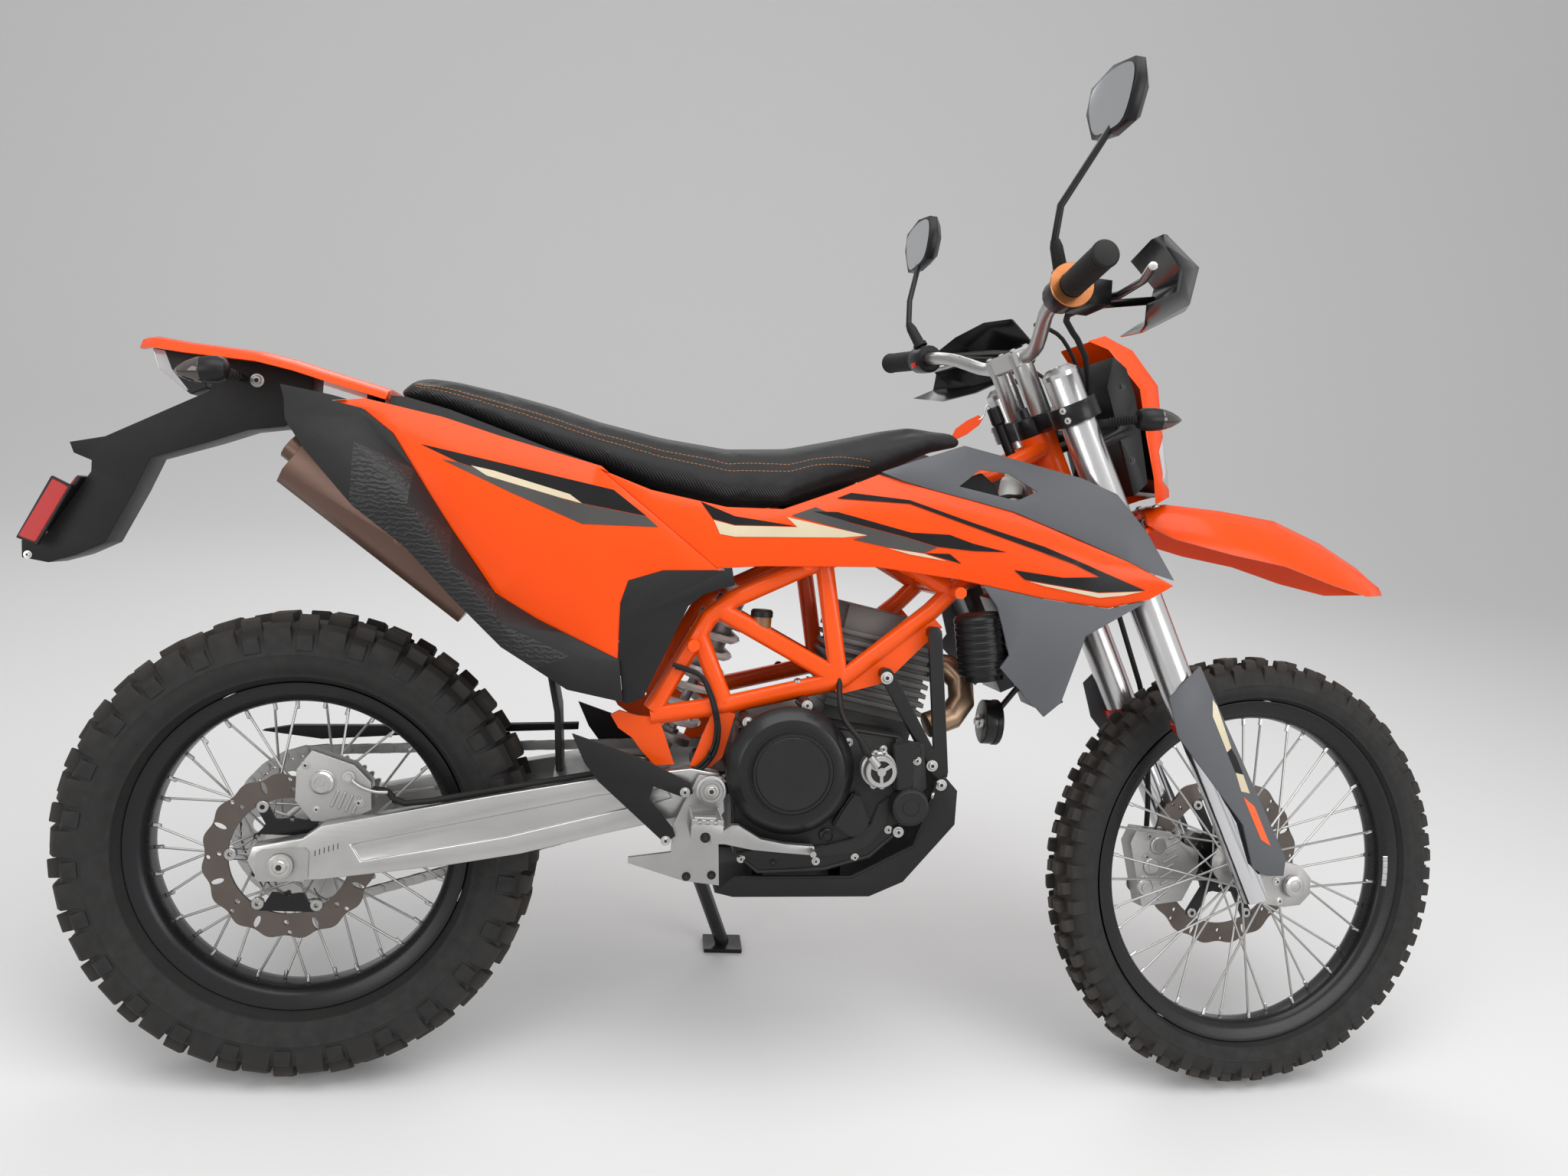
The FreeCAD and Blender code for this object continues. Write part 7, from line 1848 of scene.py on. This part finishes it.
def along_leg(place):
    return (place - FRONT_AXLE).dot(ALONG_FORK)


def off_line(place, start, way):
    """How far a place is from a line."""
    gap = place - start
    return (gap - way * gap.dot(way)).length


def is_lever(place, _):
    hand = -1 if place.y < 0 else 1
    return off_line(place, bar_end[hand], bar_way[hand]) > 0.036 and abs(place.y) > 0.302


def is_slave(place, _):
    gap = place - slave_at
    return math.hypot(gap.x, gap.z) < 0.024 and place.y < COVER_SIDE - 0.001


def is_lug(place, _):
    hand = -1 if place.y < 0 else 1
    off_leg = off_line(place, leg_spot(0, hand * FORK_HALF), ALONG_FORK)
    return along_leg(place) < 0.045 or off_leg > 0.0255


def is_lens(place, way):
    ahead = (place - FRONT_AXLE).x / FORK_LENGTH
    return way.x > 0.5 and ahead > -0.285 and abs(place.y) < 0.075


counts = [
    repaint("fork_tubes", "Red seal ring", lambda place, _: along_leg(place) < 0.3135),
    repaint("bar_controls", "Bare aluminium", is_lever),
    repaint("engine_covers", "Cast aluminium", is_slave),
    repaint("fork_sliders", "Cast aluminium", is_lug),
    repaint("headlight", "Clear lens", is_lens),
]
print("faces repainted:", counts)

# %% [markdown]
# At the tail, the holder carries a red reflector on its back and one on each side. A clear
# lamp sits under the fender's tip, and two indicators stand out on short stalks. Here they
# are made again with their lenses.

# %% The tail's lamps
TAIL_CROP = (0, 420, 2.8)
REAR_POD = [(0, -0.012), (0.008, -0.012), (0.0140, -0.009), (0.0182, 0.0), (0.0186, 0.012),
            (0.0168, 0.027), (0.0124, 0.041), (0.0064, 0.052), (0, 0.058)]
REAR_LENS = [(0.0176, 0.0225), (0.0177, 0.024), (0.0170, 0.0285), (0.0130, 0.041),
             (0.0070, 0.0525), (0, 0.0586)]
FRAME_EDGE = [(186, 562), (262, 600), (134, 818), (56, 789)]
RED_EDGE = [(192, 573), (250, 604), (129, 806), (66, 783)]
LAMP = [(-0.157, 1.086), (-0.118, 1.08), (-0.107, 1.028), (-0.122, 1.017), (-0.151, 1.051)]
LAMP_GLASS = [(-0.1578, 1.080), (-0.146, 1.078), (-0.139, 1.052), (-0.1225, 1.022),
              (-0.1255, 1.0215), (-0.1516, 1.052)]


def rear_lights():
    """Reflectors, lamp and indicators, as one list of meshes."""
    bag = []
    for edge, half, label, bevel in ((LAMP_GLASS, 0.0246, "Clear lens", 0.001),
                                     (LAMP, 0.024, "Smooth black plastic", 0.0012)):
        bag += plates([spot(*corner) for corner in edge], -half, half, label, bevel)
    for edge, side, label in ((RED_EDGE, 0.0556, "Red lens"),
                              (FRAME_EDGE, 0.0545, "Smooth black plastic")):
        corners = [seen(*on_photo(TAIL_CROP, *corner), -0.0545) for corner in edge]
        bag += plates(corners, 0.0475, side, label, hands=(-1, 1))
    start, end = spot(-0.209, 0.884), spot(-0.241, 0.802)
    run = (end - start).normalized()
    out = Vector((run.z, 0, -run.x))
    for trim, near, far, half, label, bevel in (
            (0.003, 0.004, 0.0068, 0.0484, "Red lens", 0.0008),
            (0, 0.0003, 0.0062, 0.048, "Smooth black plastic", 0.001)):
        top, foot = start + run * trim, end - run * trim
        corners = [top + out * near, foot + out * near, foot + out * far, top + out * far]
        bag += plates(corners, -half, half, label, bevel)
    for hand in (-1, 1):
        stem, base = (spot(-0.074, 1.046, hand * side) for side in (0.0383, 0.136))
        bag += indicator(stem, base, Vector((-1, 0, -0.12)),
                         (0.0058, 0.0076, 0.0006, 0.0024, 0.003),
                         [0.25 + 0.13 * ring for ring in range(5)], (0.0062, 0), REAR_POD,
                         REAR_LENS)
    return bag


rear_meshes = rear_lights()
add_piece("rear_lamps_detailed", joined_mesh("rear_lamps_detailed", rear_meshes), LEANING,
          "chassis", ["rear_lamps"])
tail_screws = []
for x, y, size in ((940, 215, 0.0068), (100, 852, 0.004)):
    for hand in (-1, 1):
        found = touched(*on_photo(TAIL_CROP, x, y), hand)
        if found and found[3] == "chassis":
            tail_screws.append((found[1], found[2], size))
set_screws(tail_screws, "chassis")
print("tail pieces:", len(rear_meshes), "and screws:", len(tail_screws))

# %% [markdown]
# Brake calipers are small castings with round piston caps, ribs and pinch bolts. The hose
# ends in a ring under a hollow bolt. The wheels' axles end in turned heads.

# %% Calipers and axle ends
CALIPER_FACE = -0.0978
rear_cap = spot(0.028, 0.468, CALIPER_FACE)
lathe([(0, 0.0075), (0.004, 0.0075), (0.0045, 0.0065), (0.009, 0.0065), (0.0095, 0.0078),
       (0.0135, 0.0076), (0.0165, 0.0052), (0.0168, 0.0005), (0.0185, -0.001), (0, -0.001)],
       rear_cap, OUTWARD, "Bare aluminium", 40)
lathe([(0, 0.009), (0.0052, 0.009), (0.0058, 0.0082), (0.0058, 0.005), (0.0085, 0.0048),
       (0.0085, 0.002), (0.006, 0.0015), (0.006, -0.001), (0, -0.001)],
       spot(0.052, 0.478, CALIPER_FACE), OUTWARD, "Zinc screw", 24)
cable([spot(0.052, 0.478, -0.1015), spot(0.062, 0.466, -0.1035), spot(0.076, 0.4585, -0.1025),
       spot(0.088, 0.4576, -0.100)], 0.0026, "Bare aluminium")
for ahead, high, size in ((0.012, 0.492, 0.0045), (0.062, 0.440, 0.0045), (0.024, 0.428, 0.0036)):
    set_screws([(spot(ahead, high, CALIPER_FACE), OUTWARD, size)], "chassis")
for index in range(4):
    at = spot(0.040 + 0.0065 * index, 0.445 - 0.003 * index, -0.0985)
    block(at, (0.0045, 0.0028, 0.026), Matrix.Rotation(0.35, 3, "Y"), "Cast aluminium", 0.001)
for side, way in ((0.0485, OUTWARD), (0.0812, SIDEWAYS)):
    for index, high in enumerate((0.028, -0.012, -0.052)):
        at = fork_spot(-0.150 - 0.012 * index, high, side)
        lathe([(0, 0.0045), (0.007, 0.0045), (0.0075, 0.0035), (0.0125, 0.0035), (0.0145, 0.002),
               (0.0150, -0.001), (0, -0.001)], at, way, "Bare aluminium", 32, "steering")
    for index in range(9):
        at = fork_spot(-0.116 - 0.0022 * index, 0.046 - 0.0145 * index, side)
        block(at, (0.030 if index % 2 else 0.022, 0.0036, 0.0036), fork_turn, "Cast aluminium",
              0.001, "steering")
    set_screws([(fork_spot(-0.171 - 0.003 * index, 0.046 - 0.040 * index, side), way, 0.0048)
                for index in range(3)], "steering")
for hand in (-1, 1):
    out = Vector((0, hand, 0))
    lathe([(0, -0.004), (0.0085, -0.004), (0.009, 0.0006), (0.0135, 0.0008), (0.0165, -0.0005),
           (0.0172, -0.002), (0.0172, -0.006), (0.01, -0.006)], FRONT_AXLE + out * 0.1343, out,
           "Bare aluminium", 40, "steering")
    set_screws([(leg_spot(along, hand * 0.1252, ahead), out, 0.0045)
                for along, ahead in ((-0.012, 0.022), (0.018, 0.03))], "steering")
print("small parts with the brakes:", sum(len(meshes) for meshes in SMALL_PARTS.values()))

# %% [markdown]
# Fork guards carry a narrow coloured strip down their front edge. Two cables run down the
# frame, held by ties every few centimetres, and three more hang behind the handlebar. A
# rubber boot covers each mirror's stem.

# %% Strips, cables and ties
FORK_CROP, CABLE_SIDE = (1400, 840, 3.5625), -0.1235
for name, label, corners in (
        ("guard_strip_light", "Beige foil", [(655, 262), (676, 292), (742, 488), (722, 508),
                                             (655, 340)]),
        ("guard_strip_black", "Black foil", [(742, 490), (765, 530), (797, 610), (762, 602),
                                             (724, 511)]),
        ("guard_strip_tail", "Beige foil", [(762, 604), (797, 613), (828, 700), (788, 690)]),
        ("guard_strip_orange", "Orange foil", [(798, 716), (850, 760), (925, 945), (880, 915)])):
    sticker(name, "fork_guards", [on_photo(FORK_CROP, *corner) for corner in corners], label,
            "steering")
cable_points = [(60, -40), (170, 0), (213, 75), (238, 160), (246, 240), (228, 325), (172, 395),
                (95, 420), (0, 424)]
for index, label in enumerate(("Smooth black plastic", "Black rubber")):
    run = [seen(*on_photo(ENGINE_CROP, x + 12 * index, y + 10 * index), CABLE_SIDE)
           for x, y in cable_points]
    cable(run, 0.0031, label)
for x, y in ((240, 170), (212, 345), (40, 428)):
    at = seen(*on_photo(ENGINE_CROP, x + 6, y + 5), CABLE_SIDE)
    block(at, (0.015, 0.009, 0.004), Matrix.Rotation(math.radians(75 if y < 400 else 0), 3, "Y"),
          "Smooth black plastic", 0.0012)
for run in (
        [(-0.56, 0.945, -0.118), (-0.50, 0.93, -0.105), (-0.432, 0.86, -0.066),
         (-0.415, 0.78, -0.052)],
        [(-0.555, 0.925, 0.125), (-0.49, 0.90, 0.095), (-0.43, 0.84, 0.05), (-0.42, 0.76, 0.03)],
        [(-0.57, 0.94, 0.15), (-0.47, 0.93, 0.10), (-0.40, 0.86, 0.045), (-0.40, 0.80, 0.02)]):
    cable([fork_spot(*place) for place in run], 0.0032, "Black rubber", "steering")
for hand in (-1, 1):
    low = fork_spot(-0.601, 0.983, hand * BAR_HALF * 0.662)
    high = fork_spot(-0.6235, 1.030, hand * BAR_HALF * 0.70)
    reach = (high - low).length
    lathe([(0, 0), (0.0125, 0), (0.0125, 0.006), (0.0098, 0.008), (0.0088, reach * 0.8),
           (0.0062, reach), (0, reach)], low, high - low, "Black rubber", 24, "steering")
print("mirror boots reach", round(reach * 1000), "mm up their stems")

# %% [markdown]
# Behind the window of the grey shroud lie a grained inner panel and a white bottle. A brown
# reservoir hangs ahead of the engine, the canister has moulded ribs, and the horn is turned
# in steps with a bolt at its back. The key stands in its lock ahead of the bar, with a tag
# on a ring, and a red switch sits on the bar.

# %% Inside the shroud, canister, horn and key
finish("White plastic", (0.66, 0.66, 0.63), 0.45, tone=0.1, grain=0.15)
finish("Amber fluid", (0.22, 0.085, 0.02), 0.15, coat=0.6, tone=0.4, tone_scale=40)
inner = [(0.592, 0.947), (0.612, 0.972), (0.640, 0.990), (0.655, 0.972), (0.663, 0.945),
         (0.62, 0.940)]
SMALL_PARTS["chassis"] += plates([spot(*p) for p in inner], 0.106, 0.112,
                                 "Grained black plastic", 0.0012, (1, -1))
for hand in (-1, 1):
    lathe([(0, -0.034), (0.014, -0.034), (0.017, -0.030), (0.0175, 0.012), (0.0135, 0.018),
           (0.0135, 0.026), (0, 0.027)],
          spot(0.672, 0.967, hand * 0.106), Vector((0.15, 0, 1)), "White plastic", 28)
    cable([spot(0.648, 0.945, hand * 0.116), spot(0.655, 0.951, hand * 0.120),
           spot(0.667, 0.957, hand * 0.122), spot(0.681, 0.958, hand * 0.119)], 0.0034,
           "Black rubber")
can_low, can_high = spot(0.655, 0.684, -0.125), spot(0.645, 0.775, -0.125)
can_way = (can_high - can_low).normalized()
profile = [(0, 0.0905), (0.030, 0.0905), (0.0345, 0.088)]
for ring in range(7):
    place = 0.082 - ring * 0.0115
    profile += [(0.0372, place + 0.002), (0.0372, place - 0.003), (0.0362, place - 0.0045),
                (0.0362, place - 0.008)]
profile += [(0.0362, 0.002), (0.034, -0.0005), (0.0295, -0.001), (0.0292, -0.0092), (0, -0.0095)]
lathe(profile, can_low, can_way, "Smooth black plastic", 40)
FORWARD, UP = Vector((1, 0, 0)), Vector((0, 0, 1))
horn_at = spot(0.671, 0.60, -0.060)
lathe([(0, 0.0246), (0.010, 0.0246), (0.0115, 0.0262), (0.016, 0.0262), (0.0175, 0.0246),
       (0.0215, 0.0246), (0.023, 0.0266), (0.0335, 0.0258), (0.0352, 0.0235), (0.0352, 0.017),
       (0.033, 0.016)], horn_at, FORWARD, "Smooth black plastic", 48)
lathe([(0.012, -0.0002), (0.0115, -0.005), (0.006, -0.006), (0.0055, -0.011), (0, -0.011)], horn_at,
      FORWARD, "Zinc screw", 24)
pot = spot(0.432, 0.742, -0.100)
lathe([(0, -0.020), (0.012, -0.020), (0.0145, -0.017), (0.015, 0.008), (0, 0.008)], pot, UP,
      "Amber fluid", 32)
lathe([(0.0165, 0.006), (0.0165, 0.014), (0.014, 0.017), (0, 0.017)], pot, UP,
      "Smooth black plastic", 24)
key_top = seen(*on_photo(COCKPIT_CROP, 330, 880), -0.012) + Vector((0.012, 0, -0.006))
lathe([(0, 0.006), (0.009, 0.006), (0.0105, 0.004), (0.011, -0.020), (0.0085, -0.024),
       (0.0078, -0.088), (0, -0.088)], key_top, ALONG_FORK, "Smooth black plastic", 28)
tag = [(190, 1002), (205, 968), (250, 935), (296, 913), (314, 926), (300, 952), (250, 990),
       (212, 1008)]
tag_points = [seen(*on_photo(COCKPIT_CROP, x, y), -0.012) for x, y in tag]
SMALL_PARTS["chassis"] += plates(tag_points, -0.0128, -0.0112, "Orange plastic", 0.0004)
cable([key_top, key_top + Vector((-0.012, 0, 0.008)), tag_points[4] + Vector((0, 0, 0.003)),
       (tag_points[3] + tag_points[5]) / 2], 0.0015, "Zinc screw")
stop_switch = touched(1195.5, 476.5)
if stop_switch and stop_switch[3] == "steering":
    block(stop_switch[1], (0.013, 0.007, 0.008), fork_turn, "Red switch", 0.001, "steering")
print("small parts:", {body: len(meshes) for body, meshes in SMALL_PARTS.items()})

# %% [markdown]
# The rear guard has a fine ripple moulded over its face. The ripple is a stretched wave
# that only changes the bump, so the outline stays as it is.

# %% The rippled guard
def ripple_finish():
    tree, shader = new_material("Rippled black plastic")
    place = own_axes(tree)
    patches = use_group(tree, PATCHES, place, Colour=(0.0095, 0.0095, 0.010, 1), Scale=8.0,
                        Amount=0.3)
    dust = use_group(tree, DUST, place, Amount=0.12, Scale=24.0)["Mask"]
    wave = add_node(tree, "ShaderNodeTexWave", {"bands_direction": "Z"}, Vector=place, Scale=46,
                    Distortion=5.5, Detail=1, Detail_Scale=2.4)
    fill(tree, shader, Roughness=0.4, Specular_IOR_Level=0.32,
         Base_Color=blend_colour(tree, dust, patches["Colour"], (0.2, 0.18, 0.16)),
         Normal=bumped(tree, wave.outputs["Fac"], 0.6, 0.0012))


def is_guard(place, way):
    share = place.x / WHEELBASE
    return 0.05 < share < 0.255 and abs(place.y) > 0.168 and abs(way.y) > 0.5


ripple_finish()
print("rippled faces:", repaint("side_covers", "Rippled black plastic", is_guard))

# %% [markdown]
# All small parts of a body become one object, so that the model stays easy to handle.

# %% Gathering the small parts
for body, meshes in SMALL_PARTS.items():
    name = "small_parts_" + body
    piece = add_piece(name, joined_mesh(name, meshes), SPACES[body], body, ())
    print(body, "small parts:", len(meshes), "faces:", len(piece.data.polygons))
